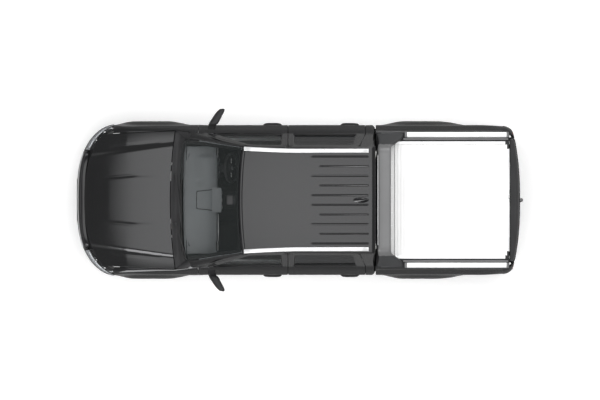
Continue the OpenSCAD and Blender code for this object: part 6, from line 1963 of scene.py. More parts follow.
def dashboard():
    """The dashboard: the facia with its vents, centre stack, display, keys, dials and glove box."""
    parts = [facia()]
    face = 1.716
    for y in (-0.560, 0.578):
        parts += vent(y, 1.075, 0.058, 0.030, face - 0.006)
    for y in (-0.085, 0.085):
        parts += vent(y, 1.143, 0.062, 0.020, face + 0.028)
    # Centre stack: a raised plate with the display, rows of keys and two dials
    u = np.linspace(0, 1, 30)[:, None]
    v = np.linspace(-1, 1, 30)[None]
    y = 0.150 * np.sign(v) * np.abs(v) ** 0.9 * (1 - 0.05 * u)
    s = mix(1.750, 1.722, u) + 0.010 * (1 - v * v)
    z = mix(1.180, 0.905, u)
    P = np.stack(np.broadcast_arrays(s, y, z), -1)
    parts.append(slab(P, P * np.array([0, 1, 1]) + np.array([1.640, 0, 0]), mats=(4, 0, 0)))
    screen_face = np.stack(np.broadcast_arrays(mix(1.7490, 1.7435, u) + 0.012, 0.105 * v,
                                               mix(1.112, 1.030, u)), -1)
    parts.append(skin(screen_face, 0.006, mats=(3, 4, 4), away=(1, 0, 0)))
    for i in range(7):
        parts.append(block((1.744, -0.090 + i * 0.028, 1.006), (1.757, -0.070 + i * 0.028, 1.016), 0.003,
                           2, mat=1))
        parts.append(block((1.736, -0.090 + i * 0.028, 0.926), (1.748, -0.070 + i * 0.028, 0.936), 0.003,
                           2, mat=1))
    knob = [(0.0005, 0.026), (0.019, 0.025), (0.0215, 0.021), (0.0225, 0.0), (0.026, -0.002),
            (0.026, -0.01), (0.0005, -0.012)]
    for y in (-0.085, 0.0, 0.085):
        parts.append(turned(knob, (1.738, y, 0.970), 40, 2, axis=0))
    # Instruments under the hood: two turned dials with a bezel, and a display between them
    for y in (WHEEL_C - 0.078, WHEEL_C + 0.078):
        dial = [(0.0005, 0.0), (0.046, 0.0), (0.049, 0.006), (0.052, 0.006), (0.054, 0.0), (0.054, -0.02),
                (0.0005, -0.02)]
        parts.append(turned(dial, (face + 0.012, y, 1.128), 60, 3, axis=0))
        a = np.linspace(np.radians(-40), np.radians(220), 40)
        arc = np.stack([np.full(40, face + 0.0135), y + 0.038 * np.cos(a), 1.128 + 0.038 * np.sin(a)], -1)
        parts.append(tube(arc, 0.0009, 6, mat=5, up=(1, 0, 0)))
        needle = np.array([[face + 0.0145, y, 1.128], [face + 0.0145, y - 0.026, 1.108]])
        parts.append(tube(needle, 0.0011, 6, mat=6, up=(1, 0, 0)))
    parts.append(block((face + 0.004, WHEEL_C - 0.022, 1.095), (face + 0.014, WHEEL_C + 0.022, 1.155),
                       0.003, 2, mat=3))
    # Upper tray: a bead round a trapezium on the top; a slot for warm air along the windscreen
    tray = outline([[1.452, -0.105], [1.452, 0.105], [1.665, 0.128], [1.665, -0.128]], [0.02] * 4, 12, 5)
    top_z = np.interp(tray[:, 0], [1.30, 1.46, 1.60, 1.70],
                      [1.162, 1.187, 1.176, 1.122]) + 0.012 * (np.abs(tray[:, 1]) < 0.2) \
        * ridge(tray[:, 0] - 1.62, 0.12)
    bead = np.concatenate([np.c_[tray, top_z], np.c_[tray, top_z][:2]])
    parts.append(tube(bead, 0.0045, 8, mat=1))
    slot_y = np.linspace(-0.56, 0.56, 60)
    slot = np.stack([1.335 + 0.03 * (slot_y / 0.56) ** 2, slot_y, np.full(60, 1.1665)], -1)
    parts.append(carried(slot, [(-0.009, -0.004), (0.009, -0.004), (0.008, 0.0012), (-0.008, 0.0012)],
                         mat=1))
    # Glove box: a shallow panel with a latch; trim strip across the passenger's side
    u = np.linspace(0, 1, 16)[:, None]
    v = np.linspace(0, 1, 30)[None]
    lid = np.stack(np.broadcast_arrays(mix(1.716, 1.690, u ** 1.4) + 0.001, mix(-0.56, -0.19, v),
                                       mix(1.022, 0.965, u)), -1)
    parts.append(skin(lid, 0.008, mats=(1, 1, 1), away=(1, 0, 0)))
    parts.append(block((1.700, -0.405, 1.008), (1.724, -0.345, 1.020), 0.004, 2, mat=2))
    yy = np.linspace(-0.50, -0.17, 40)
    strip = np.stack([np.full(40, 1.7165), yy, np.full(40, 1.068)], -1)
    parts.append(carried(strip,
                         [(-0.003, -0.009), (0.003, -0.009), (0.004, 0.0), (0.003, 0.009),
                          (-0.003, 0.009)], mat=2))
    piece("dashboard_facia", parts, [CABIN, DARK_CABIN, SATIN, SCREEN, GLOSS, WHITE, AMBER], "chassis",
          "dashboard",
          bevel=0.0008, sharp=40)


def console():
    """Centre console: a closed section carried rearward that falls and narrows, with a gear gate, cup
    wells, a lidded box, a gear lever with a gaiter of stacked rings, and a hand brake."""
    s = np.linspace(1.70, 2.60, 40)
    top = 0.985 - 0.115 * ease((s - 1.70) / 0.35) + 0.030 * ease((s - 2.26) / 0.03)
    half = 0.112 - 0.012 * (s - 1.7) / 0.9
    prof = outline([[-1, 0], [-1, 0.93], [-0.86, 1], [0.86, 1], [1, 0.93], [1, 0]],
                   [0.001, 0.03, 0.04, 0.04, 0.03, 0.001], 6, 4)
    y = prof[None, :, 0] * half[:, None]
    z = mix(FLOOR + 0.004, top[:, None], prof[None, :, 1])
    z = z - 0.020 * ridge(s[:, None] - 2.13, 0.06) ** 0.3 * ridge(y,
                                                                  0.07) ** 0.3 * (prof[None, :, 1] > 0.98)
    P = np.stack([s[:, None] + 0 * y, y, z], -1)
    P = np.concatenate([P[:1].mean(1, keepdims=True) + 0 * P[:1], P,
                        P[-1:].mean(1, keepdims=True) + 0 * P[-1:]])
    V, F = P.reshape(-1, 3), quads(len(P), P.shape[1], wrap_v=True)
    parts = [(V, outward(V, F), np.zeros(len(F), int))]
    q = np.linspace(2.29, 2.585, 30)[:, None]
    w = np.linspace(-1, 1, 24)[None]
    lid = np.stack(np.broadcast_arrays(q, 0.100 * w,
                                       0.902
                                       + 0.026 * (1 - np.abs(w) ** 4)
                                       * (1 - np.abs((q - 2.4375) / 0.1476) ** 6)), -1)
    parts.append(slab(lid, lid * np.array([1, 1, 0]) + np.array([0, 0, 0.898]), mats=(2, 2, 2)))
    gate = np.stack(np.broadcast_arrays(np.linspace(1.86, 2.05, 20)[:, None], 0.062 * w,
                                        0.876 + 0.003 * (1 - w ** 8)), -1)
    parts.append(skin(gate, 0.006, mats=(3, 3, 3)))
    rings = [(0.0005, 0.004), (0.050, 0.004)]
    for i in range(5):
        rings += [(0.048 - 0.007 * i, 0.010 + 0.012 * i), (0.041 - 0.006 * i, 0.013 + 0.012 * i)]
    rings += [(0.0005, 0.068)]
    parts.append(turned(rings, (1.955, 0, 0.876), 32, 2, axis=2))
    lever = np.array([[1.955, 0, 0.90], [1.958, 0, 0.98], [1.965, 0, 1.03]])
    parts.append(tube(lever, 0.007, 12, mat=4, up=(0, 1, 0)))
    knob = [(0.0005, 0.034), (0.014, 0.031), (0.023, 0.020), (0.025, 0.006), (0.021, -0.012),
            (0.013, -0.026), (0.0005, -0.027)]
    parts.append(turned(knob, (1.966, 0, 1.045), 32, 2, axis=2))
    brake_path = np.array([[2.26, 0.062, 0.905], [2.16, 0.062, 0.925], [2.06, 0.062, 0.948],
                           [2.03, 0.062, 0.953]])
    parts.append(tube(brake_path, np.array([0.012, 0.013, 0.015, 0.010]), 16, mat=2, up=(0, 1, 0)))
    for s0 in (2.095, 2.175):
        parts.append(turned([(0.040, 0.0), (0.043, 0.002), (0.044, 0.0), (0.044, -0.03), (0.038, -0.03),
                             (0.038, -0.003), (0.040, 0.0)],
                            (s0, -0.035, 0.874), 36, 3, axis=2))
    piece("centre_console", parts, [DARK_CABIN, DARK_CABIN, LEATHER, GLOSS, STEEL], "chassis",
          bevel=0.0008)


def in_wheel_plane(P):
    """Points of the steering wheel's own plane (across, up, toward the driver) put in their place."""
    c, s = math.cos(math.radians(25)), math.sin(math.radians(25))
    P = np.asarray(P, float)
    return np.stack([WHEEL_S + P[..., 2] * c - P[..., 1] * s, WHEEL_C + P[..., 0],
                     WHEEL_Z + P[..., 2] * s + P[..., 1] * c], -1)


def steering_wheel():
    """Steering wheel: a torus whose section swells at the thumb rests, three dished spokes with a bright
    inlay, keys, and a domed superellipse pad; two stalks on the column."""
    a = np.linspace(0, 2 * np.pi, 160, endpoint=False)[:, None]
    b = np.linspace(0, 2 * np.pi, 24, endpoint=False)[None]
    r = 0.0135 + 0.0018 * ridge(np.abs(np.sin(a / 1 - np.pi / 6)) - 1, 0.3)
    r = r - 0.0006 * np.abs(np.sin(a * 4)) ** 40
    P = np.stack([(0.175 + r * np.cos(b)) * np.cos(a), (0.175 + r * np.cos(b)) * np.sin(a),
                  r * 1.08 * np.sin(b)], -1)
    P = in_wheel_plane(P)
    V, F = P.reshape(-1, 3), quads(160, 24, True, True)
    parts = [(V, outward(V, F), np.zeros(len(F), int))]
    for turn, wide in ((0, 0.024), (180, 0.024), (270, 0.018)):
        t = math.radians(turn)
        k = np.linspace(0, 1, 20)[:, None]
        w = np.linspace(-1, 1, 10)[None]
        along = mix(0.050, 0.166, k)
        off = wide * w * (1 - 0.35 * k) + (0.012 * k if turn != 270 else 0)
        up = 0.004 - 0.026 * (1 - k) ** 1.5 + 0.006 * (1 - w * w)
        x = along * math.cos(t) - off * math.sin(t) * (1 if turn != 180 else -1)
        y = along * math.sin(t) + off * (math.cos(t) if turn != 180 else 1)
        top = in_wheel_plane(np.stack(np.broadcast_arrays(x, y, up), -1))
        low = in_wheel_plane(np.stack(np.broadcast_arrays(x, y, up - 0.012), -1))
        parts.append(slab(top, low, mats=(1, 1, 1)))
        if turn != 270:
            for q in (0.066, 0.086, 0.106):
                key = np.array([q * math.cos(t), 0.004, 0.0])
                c = in_wheel_plane(key)
                parts.append(block(c - 0.007, c + 0.007, 0.004, 2, mat=2))
    k = np.linspace(0, 1, 16)[:, None]
    a = np.linspace(0, 2 * np.pi, 60, endpoint=False)[None]
    c, s = np.cos(a), np.sin(a)
    x = 0.066 * k * np.sign(c) * np.abs(c) ** 0.7
    y = 0.058 * k * np.sign(s) * np.abs(s) ** 0.75
    dome = 0.010 - 0.024 * k ** 4
    front = in_wheel_plane(np.stack(np.broadcast_arrays(x, y, dome), -1))
    back = in_wheel_plane(np.stack(np.broadcast_arrays(x[::-1] * 0.9, y[::-1] * 0.9, -0.030 + 0 * k), -1))
    P = np.concatenate([front, back])
    V, F = P.reshape(-1, 3), quads(len(P), 60, wrap_v=True)
    parts.append((V, outward(V, F), np.full(len(F), 1)))
    ring_a = np.linspace(0, 2 * np.pi, 40)
    ring = in_wheel_plane(np.stack([0.020 * np.cos(ring_a), 0.020 * np.sin(ring_a), np.full(40, 0.0105)],
                                   -1))
    parts.append(tube(ring, 0.0012, 8, mat=2, up=(0.9, 0, 0.4)))
    column = in_wheel_plane(np.array([[0, 0, -0.030], [0, 0, -0.10], [0, 0, -0.185]]))
    parts.append(tube(column, np.array([0.036, 0.044, 0.046]), 28, mat=1, flat=1.15, up=(0, 1, 0)))
    for side_of in (1, -1):
        stalk = in_wheel_plane(np.array([[side_of * 0.03, 0, -0.06], [side_of * 0.10, 0.008, -0.052],
                                         [side_of * 0.155, 0.018, -0.046]]))
        parts.append(tube(stalk, np.array([0.007, 0.006, 0.009]), 12, mat=1, up=(1, 0, 0)))
    piece("steering_wheel_rim", parts, [LEATHER, DARK_CABIN, SATIN], "chassis", "steering_wheel",
          sharp=50)
    pedals = []
    for y, w in ((WHEEL_C - 0.10, 0.020), (WHEEL_C + 0.02, 0.026), (WHEEL_C + 0.13, 0.024)):
        arm = np.array([[1.42, y, 1.00], [1.47, y, 0.86], [1.53, y, 0.735]])
        pedals.append(tube(arm, 0.008, 10, mat=0, up=(0, 1, 0)))
        pad = [p for p in (block((1.532, y - w, 0.69), (1.548, y + w, 0.765), 0.006, 3, mat=1),)]
        for i in range(4):
            pad.append(block((1.545, y - w + 0.004, 0.702 + i * 0.016),
                             (1.551, y + w - 0.004, 0.706 + i * 0.016), 0.0015, 1, mat=1))
        pedals += pad
    pedals.append(block((1.40, WHEEL_C + 0.20, 0.615), (1.56, WHEEL_C + 0.27, 0.66), 0.012, 3, mat=1))
    piece("pedals", pedals, [IRON, RUBBER], "chassis", bevel=0.0005)


# ---------------------------------------------------------------- seats


def stuffed(path, wide, thick, face, dip=0.0, bolster=0.0, rows=64, ring=72, round_t=7, round_w=0.42,
            waist=0.02):
    """A cushion's starting shape: superellipse rings carried along a path of (station, height), rounded
    off at both ends, its sides pulled in between the corners, the sitting face dished in the middle and
    raised in side rolls. face is +1 where the sitting face is on the left of the path."""
    t = np.linspace(0, 1, rows)
    u = 2 * t - 1
    fade = np.maximum(0.0, 1 - np.abs(u) ** round_t) ** 0.5
    p = np.asarray(path, float)
    line = np.stack([bend(p[0, 0], p[1, 0], p[2, 0], t), bend(p[0, 1], p[1, 1], p[2, 1], t)], -1)
    d = np.gradient(line, axis=0)
    d /= np.linalg.norm(d, axis=1, keepdims=True)
    n = np.stack([-d[:, 1], d[:, 0]], -1) * face
    w = mix(wide[0], wide[1], t) * (1 - waist * (1 - u * u)) * (0.90 + 0.10 * fade)
    k = mix(thick[0], thick[1], t)
    a = np.linspace(0, 2 * np.pi, ring, endpoint=False)
    c, s = np.cos(a)[None], np.sin(a)[None]
    x = np.sign(c) * np.abs(c) ** round_w
    q = np.sign(s) * np.abs(s) ** 0.62
    roll = bolster * ridge(np.abs(x) - 0.84, 0.26) * (s > 0) * fade[:, None]
    mid = dip * np.maximum(0, 1 - (x / 0.62) ** 2) * (s > 0) * fade[:, None]
    up = q * k[:, None] * fade[:, None] + roll - mid
    P = np.stack([line[:, :1] + n[:, :1] * up, w[:, None] * x * (0.55 + 0.45 * fade[:, None] ** 0.5),
                  line[:, 1:] + n[:, 1:] * up], -1)
    P = np.concatenate([P[:1].mean(1, keepdims=True) + 0 * P[:1], P[1:-1],
                        P[-1:].mean(1, keepdims=True) + 0 * P[-1:]])
    V, F = P.reshape(-1, 3), quads(len(P), ring, wrap_v=True)
    return V, outward(V, F), np.zeros(len(F), int)


def puffed(obj, cap, voxel=0.012):
    """The stuffed cover: remeshed, blown up a little by cloth under pressure with no gravity, each point
    held within cap of where it began, and subdivided once."""
    scene = bpy.context.scene
    bpy.context.view_layer.objects.active = obj
    m = obj.modifiers.new("remesh", "REMESH")
    m.mode, m.voxel_size = "VOXEL", voxel
    mesh = bpy.data.meshes.new_from_object(obj.evaluated_get(bpy.context.evaluated_depsgraph_get()))
    obj.modifiers.clear()
    obj.data = mesh
    start = np.empty(len(mesh.vertices) * 3, np.float32)
    mesh.vertices.foreach_get("co", start)
    cloth = obj.modifiers.new("cover", "CLOTH")
    cloth.settings.use_pressure = True
    cloth.settings.uniform_pressure_force = 4
    cloth.settings.quality = 4
    cloth.settings.effector_weights.gravity = 0
    cloth.settings.tension_stiffness = cloth.settings.compression_stiffness = 22
    cloth.point_cache.frame_start, cloth.point_cache.frame_end = 1, 14
    for frame_no in range(1, 15):
        scene.frame_set(frame_no)
    baked = bpy.data.meshes.new_from_object(obj.evaluated_get(bpy.context.evaluated_depsgraph_get()))
    end = np.empty(len(baked.vertices) * 3, np.float32)
    baked.vertices.foreach_get("co", end)
    obj.modifiers.clear()
    move = (end - start).reshape(-1, 3)
    far = np.linalg.norm(move, axis=1, keepdims=True)
    move *= np.minimum(1, cap / np.maximum(far, 1e-9))
    baked.vertices.foreach_set("co", (start.reshape(-1, 3) + move).astype(np.float32).ravel())
    baked.update()
    obj.data = baked
    scene.frame_set(1)
    m = obj.modifiers.new("subdivided", "SUBSURF")
    m.levels = m.render_levels = 1
    fine = bpy.data.meshes.new_from_object(obj.evaluated_get(bpy.context.evaluated_depsgraph_get()))
    obj.modifiers.clear()
    obj.data = fine


def sewn(obj, seams, panels, mats):
    """Seams pressed into a cover after it is stuffed: each point moves in along its normal by a narrow
    ridge of its distance from the seam; panels gives every face the finish of where it lies."""
    mesh = obj.data
    n = len(mesh.vertices)
    co = np.empty(n * 3, np.float32)
    no = np.empty(n * 3, np.float32)
    mesh.vertices.foreach_get("co", co)
    mesh.vertex_normals.foreach_get("vector", no)
    P, N = co.reshape(-1, 3).copy(), no.reshape(-1, 3)
    Q = P - np.array([NOSE, 0, 0])
    P -= N * seams(Q, N)[:, None]
    mesh.vertices.foreach_set("co", P.astype(np.float32).ravel())
    centre = np.empty(len(mesh.polygons) * 3, np.float32)
    mesh.polygons.foreach_get("center", centre)
    pick = panels(centre.reshape(-1, 3) - np.array([NOSE, 0, 0]))
    mesh.materials.clear()
    for m in mats:
        mesh.materials.append(m)
    mesh.polygons.foreach_set("material_index", pick.astype(np.int32))
    mesh.shade_smooth()
    mesh.update()


def cover(name, part, y, cap, seams, panels, fill, stands_for=(), voxel=0.012, mats=None):
    """One padded piece of a seat, moved to its place across the cab, stuffed and sewn."""
    piece(name, [placed(part, None, (0, y, 0))], CLOTH, "chassis", stands_for)
    obj = bpy.data.objects[name]
    puffed(obj, cap, voxel)
    sewn(obj, seams, panels, mats or [CLOTH, LEATHER])


def grooves(value, at, width, depth):
    """Depth of a set of parallel seams where value is near each of at."""
    return sum(depth * ridge(value - a, width) ** 1.5 for a in at)


def seats():
    """Front seats and the rear bench, on their bases, with posts under the headrests."""
    for name, y in (("right", 0.385), ("left", -0.385)):
        flutes = (-0.085, 0.0, 0.085)

        def low_seams(Q, N, y=y):
            """Depth of a cushion's seams: grooves on the faces that look up, flutes in the middle."""
            face = clamp(N[:, 2] * 2)
            across = Q[:, 1] - y
            middle = (np.abs(across) < 0.165) & (Q[:, 0] > 2.02) & (Q[:, 0] < 2.42)
            return face * (grooves(np.abs(across), (0.168,), 0.006, 0.008)
                           + middle * grooves(across, flutes, 0.007, 0.005)
                           + grooves(Q[:, 0], (2.015,), 0.006, 0.006) * (np.abs(across) < 0.168))

        def back_seams(Q, N, y=y):
            """Depth of a back's seams: grooves on the faces that look forward, flutes in the middle."""
            face = clamp(-N[:, 0] * 2)
            across = Q[:, 1] - y
            middle = (np.abs(across) < 0.150) & (Q[:, 2] < 1.24)
            return face * (grooves(np.abs(across), (0.153,), 0.006, 0.008)
                           + middle * grooves(across, flutes, 0.007, 0.005)
                           + grooves(Q[:, 2], (1.245,), 0.006, 0.006) * (np.abs(across) < 0.153))

        def band(Q, y=y):
            """Material by width: 1 on the side bolsters."""
            return np.where(np.abs(Q[:, 1] - y) > 0.168, 1, 0)

        base = stuffed([(1.958, 0.822), (2.20, 0.782), (2.462, 0.792)], (0.235, 0.243), (0.036, 0.034), 1,
                       0.010, 0.020)
        cover(f"seat_cushion_{name}", base, y, 0.018, low_seams, band, 0.7, "front_seats"
              if name == "right" else ())
        back = stuffed([(2.452, 0.778), (2.560, 1.05), (2.640, 1.392)], (0.240, 0.196), (0.036, 0.028), 1,
                       0.010, 0.022)
        cover(f"seat_back_{name}", back, y, 0.018, back_seams, band, 0.7)
        head = stuffed([(2.672, 1.462), (2.664, 1.52), (2.684, 1.578)], (0.112, 0.100), (0.036, 0.030), 1,
                       0.004, 0.004, 40, 56, 5)
        cover(f"headrest_{name}", head, y, 0.008, lambda Q, N: grooves(Q[:, 2], (1.476,), 0.004, 0.004),
              lambda Q: np.ones(len(Q), int), 0.85, voxel=0.009)
        frame_parts = [block((2.02, y - 0.215, 0.604), (2.42, y + 0.215, 0.622), 0.008, 3, mat=1),
                       block((2.05, y - 0.205, 0.64), (2.40, y + 0.205, 0.755), 0.030, 4, mat=0)]
        for e in (-1, 1):
            frame_parts.append(block((1.99, y + e * 0.185 - 0.016, 0.603),
                                     (2.44, y + e * 0.185 + 0.016, 0.632), 0.004, 2, mat=1))
            t = np.linspace(0, 1, 30)[:, None]
            w = np.linspace(0, 1, 12)[None]
            low = np.stack(np.broadcast_arrays(mix(2.03, 2.49, t),
                                               y + e * (0.226 + 0.006 * np.sin(np.pi * w)),
                                               mix(0.70, 0.776, w) + 0.02 * t * w), -1)
            frame_parts.append(skin(low, 0.008, mats=(0, 0, 0), away=(0, e, 0)))
            frame_parts.append(turned([(0.0005, 0.012), (0.026, 0.011), (0.030, 0.006), (0.030, -0.006),
                                       (0.0005, -0.01)],
                                      (2.455, y + e * 0.240, 0.765), 32, 2))
            post = np.array([[2.636, y + e * 0.05, 1.38], [2.658, y + e * 0.05, 1.475]])
            frame_parts.append(tube(post, 0.0065, 12, mat=3, up=(0, 1, 0)))
            frame_parts.append(turned([(0.0070, -0.004), (0.013, -0.003), (0.013, 0.006),
                                       (0.0070, 0.007)],
                                      (2.643, y + e * 0.05, 1.412), 20, 2, axis=2))
        piece(f"seat_frame_{name}", frame_parts, [DARK_CABIN, IRON, TRIM, STEEL], "chassis", bevel=0.0008)

    def bench_seams(Q, N):
        """Depth of the rear cushion's seams: grooves on the faces that look up."""
        return clamp(N[:, 2] * 2) * (grooves(Q[:, 1], (-0.20, 0.20), 0.007, 0.010)
                                     + grooves(Q[:, 0], (2.955,), 0.006, 0.006)
                                     + grooves(np.abs(Q[:, 1]), (0.40,), 0.006, 0.005))

    def rest_seams(Q, N):
        """Depth of the rear back's seams: grooves on the faces that look forward."""
        return clamp(-N[:, 0] * 2) * (grooves(Q[:, 1], (-0.20, 0.20), 0.007, 0.010)
                                      + grooves(Q[:, 2], (1.20,), 0.006, 0.006)
                                      + grooves(np.abs(Q[:, 1]), (0.40,), 0.006, 0.005))

    def rear_band(Q):
        """Material by width: 1 outside the two seating places."""
        return np.where((np.abs(np.abs(Q[:, 1]) - 0.31) > 0.105), 1, 0)

    base = stuffed([(2.846, 0.822), (3.08, 0.796), (3.326, 0.802)], (0.622, 0.622), (0.038, 0.038), 1,
                   0.006, 0.006, 60, 130, 7, 0.25)
    cover("rear_seat_cushion", base, 0, 0.016, bench_seams, rear_band, 0.7, "rear_seat", 0.009)
    back = stuffed([(3.372, 0.800), (3.438, 1.08), (3.488, 1.345)], (0.622, 0.580), (0.036, 0.030), 1,
                   0.006, 0.006, 60, 130, 7, 0.25)
    cover("rear_seat_back", back, 0, 0.016, rest_seams, rear_band, 0.7, voxel=0.013)
    posts = [block((2.93, -0.55, 0.604), (3.27, 0.55, 0.752), 0.030, 4, mat=0)]
    for where, y in (("left", -0.39), ("middle", 0.0), ("right", 0.39)):
        head = stuffed([(3.503, 1.352), (3.498, 1.40), (3.514, 1.462)], (0.108, 0.096), (0.031, 0.027), 1,
                       0.003, 0.003, 36, 52, 5)
        cover(f"rear_headrest_{where}", head, y, 0.006, lambda Q,
              N: grooves(Q[:, 2], (1.366,), 0.004, 0.003),
              lambda Q: np.ones(len(Q), int), 0.85, voxel=0.009)
        for e in (-0.045, 0.045):
            post = np.array([[3.492, y + e, 1.34], [3.503, y + e, 1.375]])
            posts.append(tube(post, 0.006, 10, mat=1, up=(0, 1, 0)))
    for y in (-0.21, 0.21, -0.60, 0.60):
        buckle = block((3.30, y - 0.014, 0.84), (3.345, y + 0.014, 0.875), 0.006, 2, mat=0)
        posts.append(buckle)
        posts.append(block((3.305, y - 0.008, 0.870), (3.325, y + 0.008, 0.879), 0.003, 2, mat=2))
    piece("rear_seat_base", posts, [DARK_CABIN, STEEL, RED], "chassis", bevel=0.0008)


dashboard()
console()
steering_wheel()
seats()

# ---------------------------------------------------------------- wheels and running gear


def tyre(centre):
    """A tyre: a section profile turned about the hub, with the tread pressed in by a relief that is a
    grid in the angle and the width: three long grooves, slanted cross grooves and stepped shoulders."""
    h = TYRE_W / 2
    r0, r1 = RIM_R + 0.001, TYRE_R
    bead = [(r0, h - 0.022), (r0 + 0.010, h - 0.017), (r0 + 0.020, h - 0.009), (r0 + 0.040, h - 0.003),
            (r1 - 0.075, h - 0.0005),
            (r1 - 0.062, h), (r1 - 0.050, h - 0.001), (r1 - 0.032, h - 0.004), (r1 - 0.020, h - 0.009)]
    shoulder_t = np.linspace(0, 1, 6)[1:]
    shoulder = np.stack([bend(r1 - 0.020, r1 - 0.006, r1 - 0.0035, shoulder_t),
                         bend(h - 0.009, h - 0.014, h - 0.032, shoulder_t)], -1)
    flat = np.linspace(h - 0.034, -h + 0.034, 42)
    crown = np.stack([r1 - 0.0035 * (flat / h) ** 2 - 0.0002, flat], -1)
    half = np.concatenate([bead, shoulder])
    profile = np.concatenate([half, crown, (half * np.array([1, -1]))[::-1]])
    n = 432
    a = np.linspace(0, 2 * np.pi, n, endpoint=False)[None]
    r, y = profile[:, :1], profile[:, 1:]
    tread = ease((r - r1 + 0.022) / 0.010)
    long_grooves = sum(ridge(y - g, 0.0065) ** 0.3 for g in (-0.052, 0.0, 0.052))
    lean = np.where(np.abs(y) > 0.052, 0.10 * np.sign(y) * (np.abs(y) - 0.052) / 0.06,
                    0.06 * np.sin(y * 60))
    block_phase = (a * 36 / np.pi + lean * 6) % 1
    cross = ridge(block_phase - 0.5, 0.115) ** 0.3
    r = r - 0.0085 * tread * clamp(long_grooves
                                   + cross * (np.abs(y) > 0.010) * (0.6 + 0.4 * (np.abs(y) > 0.052)))
    letters = 0.0012 * ridge(r - (r1 - 0.058),
                             0.004) * (np.abs(y) > h - 0.01) + 0.0010 * ridge(r - (r0 + 0.030), 0.003)
    y = y + np.sign(y) * 0.4 * letters
    P = np.stack([centre[0] + r * np.cos(a), centre[1] + y + 0 * a, centre[2] + r * np.sin(a)], -1)
    inner = np.concatenate([P[-1:] * 0, P[:1] * 0])
    ring = np.stack([centre[0] + r0 * np.cos(a), centre[1] + 0 * a, centre[2] + r0 * np.sin(a)], -1)
    inner[0] = ring + np.array([0, -h + 0.03, 0])
    inner[1] = ring + np.array([0, h - 0.03, 0])
    P = np.concatenate([P, inner, P[:1]])
    V, F = P.reshape(-1, 3), quads(len(P), n, wrap_v=True)
    return V, outward(V, F), np.zeros(len(F), int)


def rim(centre, out):
    """An alloy rim: a turned barrel with a rolled lip, a turned hub, and six pairs of spokes, each a
    swept section that dips toward the hub and widens at the lip; five nuts, a cap and a valve."""
    h, R = TYRE_W / 2, RIM_R
    barrel = [(R - 0.016, h - 0.014), (R - 0.011, h - 0.0125), (R - 0.004, h - 0.0135),
              (R - 0.0005, h - 0.020), (R, h - 0.030),
              (R - 0.001, h - 0.050), (R - 0.004, 0.0), (R - 0.001, -h + 0.040), (R - 0.0005, -h + 0.020),
              (R - 0.004, -h + 0.014),
              (R - 0.012, -h + 0.014), (R - 0.014, -h + 0.030), (R - 0.013, -h + 0.06), (R - 0.013, 0.0),
              (R - 0.014, h - 0.06),
              (R - 0.0175, h - 0.030), (R - 0.0185, h - 0.019), (R - 0.016, h - 0.014)]
    hub = [(0.0005, h - 0.048), (0.030, h - 0.047), (0.034, h - 0.036), (0.036, h - 0.030),
           (0.050, h - 0.031), (0.074, h - 0.035),
           (0.081, h - 0.042), (0.081, h - 0.066), (0.070, h - 0.068), (0.0005, h - 0.068)]
    parts = [turned(barrel, (0, 0, 0), 120, 1), turned(hub, (0, 0, 0), 72, 0)]
    cap = [(0.0005, h - 0.0235), (0.020, h - 0.0245), (0.0285, h - 0.028), (0.030, h - 0.034),
           (0.030, h - 0.046), (0.0005, h - 0.047)]
    parts.append(turned(cap, (0, 0, 0), 48, 2))
    k = np.linspace(0, 1, 26)
    w = np.linspace(0, 2 * np.pi, 20, endpoint=False)
    cw, sw = np.cos(w), np.sin(w)
    ex = np.sign(cw) * np.abs(cw) ** 0.5
    ey = np.sign(sw) * np.abs(sw) ** 0.6
    for turn in np.arange(6) * np.pi / 3 + np.pi / 2:
        for lean in (-1, 1):
            rad = mix(0.058, R - 0.0115, k)
            off = lean * (0.0135 + 0.0115 * k ** 1.2)
            wide = 0.0098 + 0.0030 * k ** 3 + 0.004 * (1 - k) ** 3
            deep = 0.0150 - 0.004 * k
            mid = h - 0.040 - 0.012 * np.sin(np.pi * k) + 0.012 * k ** 4
            c, s = math.cos(turn), math.sin(turn)
            u = off[:, None] + wide[:, None] * ex[None]
            x = rad[:, None] * c - u * s
            z = rad[:, None] * s + u * c
            y = mid[:, None] + deep[:, None] * ey[None]
            P = np.stack([x, y, z], -1)
            P = np.concatenate([P[:1].mean(1, keepdims=True) + 0 * P[:1], P,
                                P[-1:].mean(1, keepdims=True) + 0 * P[-1:]])
            V, F = P.reshape(-1, 3), quads(len(P), 20, wrap_v=True)
            F = outward(V, F)
            top = V[F].mean(1)[:, 1] > np.interp(np.hypot(V[F].mean(1)[:, 0], V[F].mean(1)[:, 2]), rad,
                                                 mid + deep * 0.62)
            parts.append((V, F, np.where(top, 3, 0)))
    nuts = np.arange(5) * 2 * np.pi / 5
    for a in nuts:
        nut = [(0.0004, h - 0.0225), (0.006, h - 0.023), (0.0088, h - 0.026), (0.0095, h - 0.036),
               (0.0004, h - 0.037)]
        parts.append(turned(nut, (0.054 * math.cos(a), 0, 0.054 * math.sin(a)), 12, 2))
    valve = np.array([[0.0, h - 0.026, -R + 0.026], [0.0, h - 0.008, -R + 0.044]])
    parts.append(tube(valve, 0.0035, 10, mat=4, up=(1, 0, 0)))
    turn_out = None if out > 0 else about("z", 180)
    return [placed(p, turn_out, centre) for p in parts]


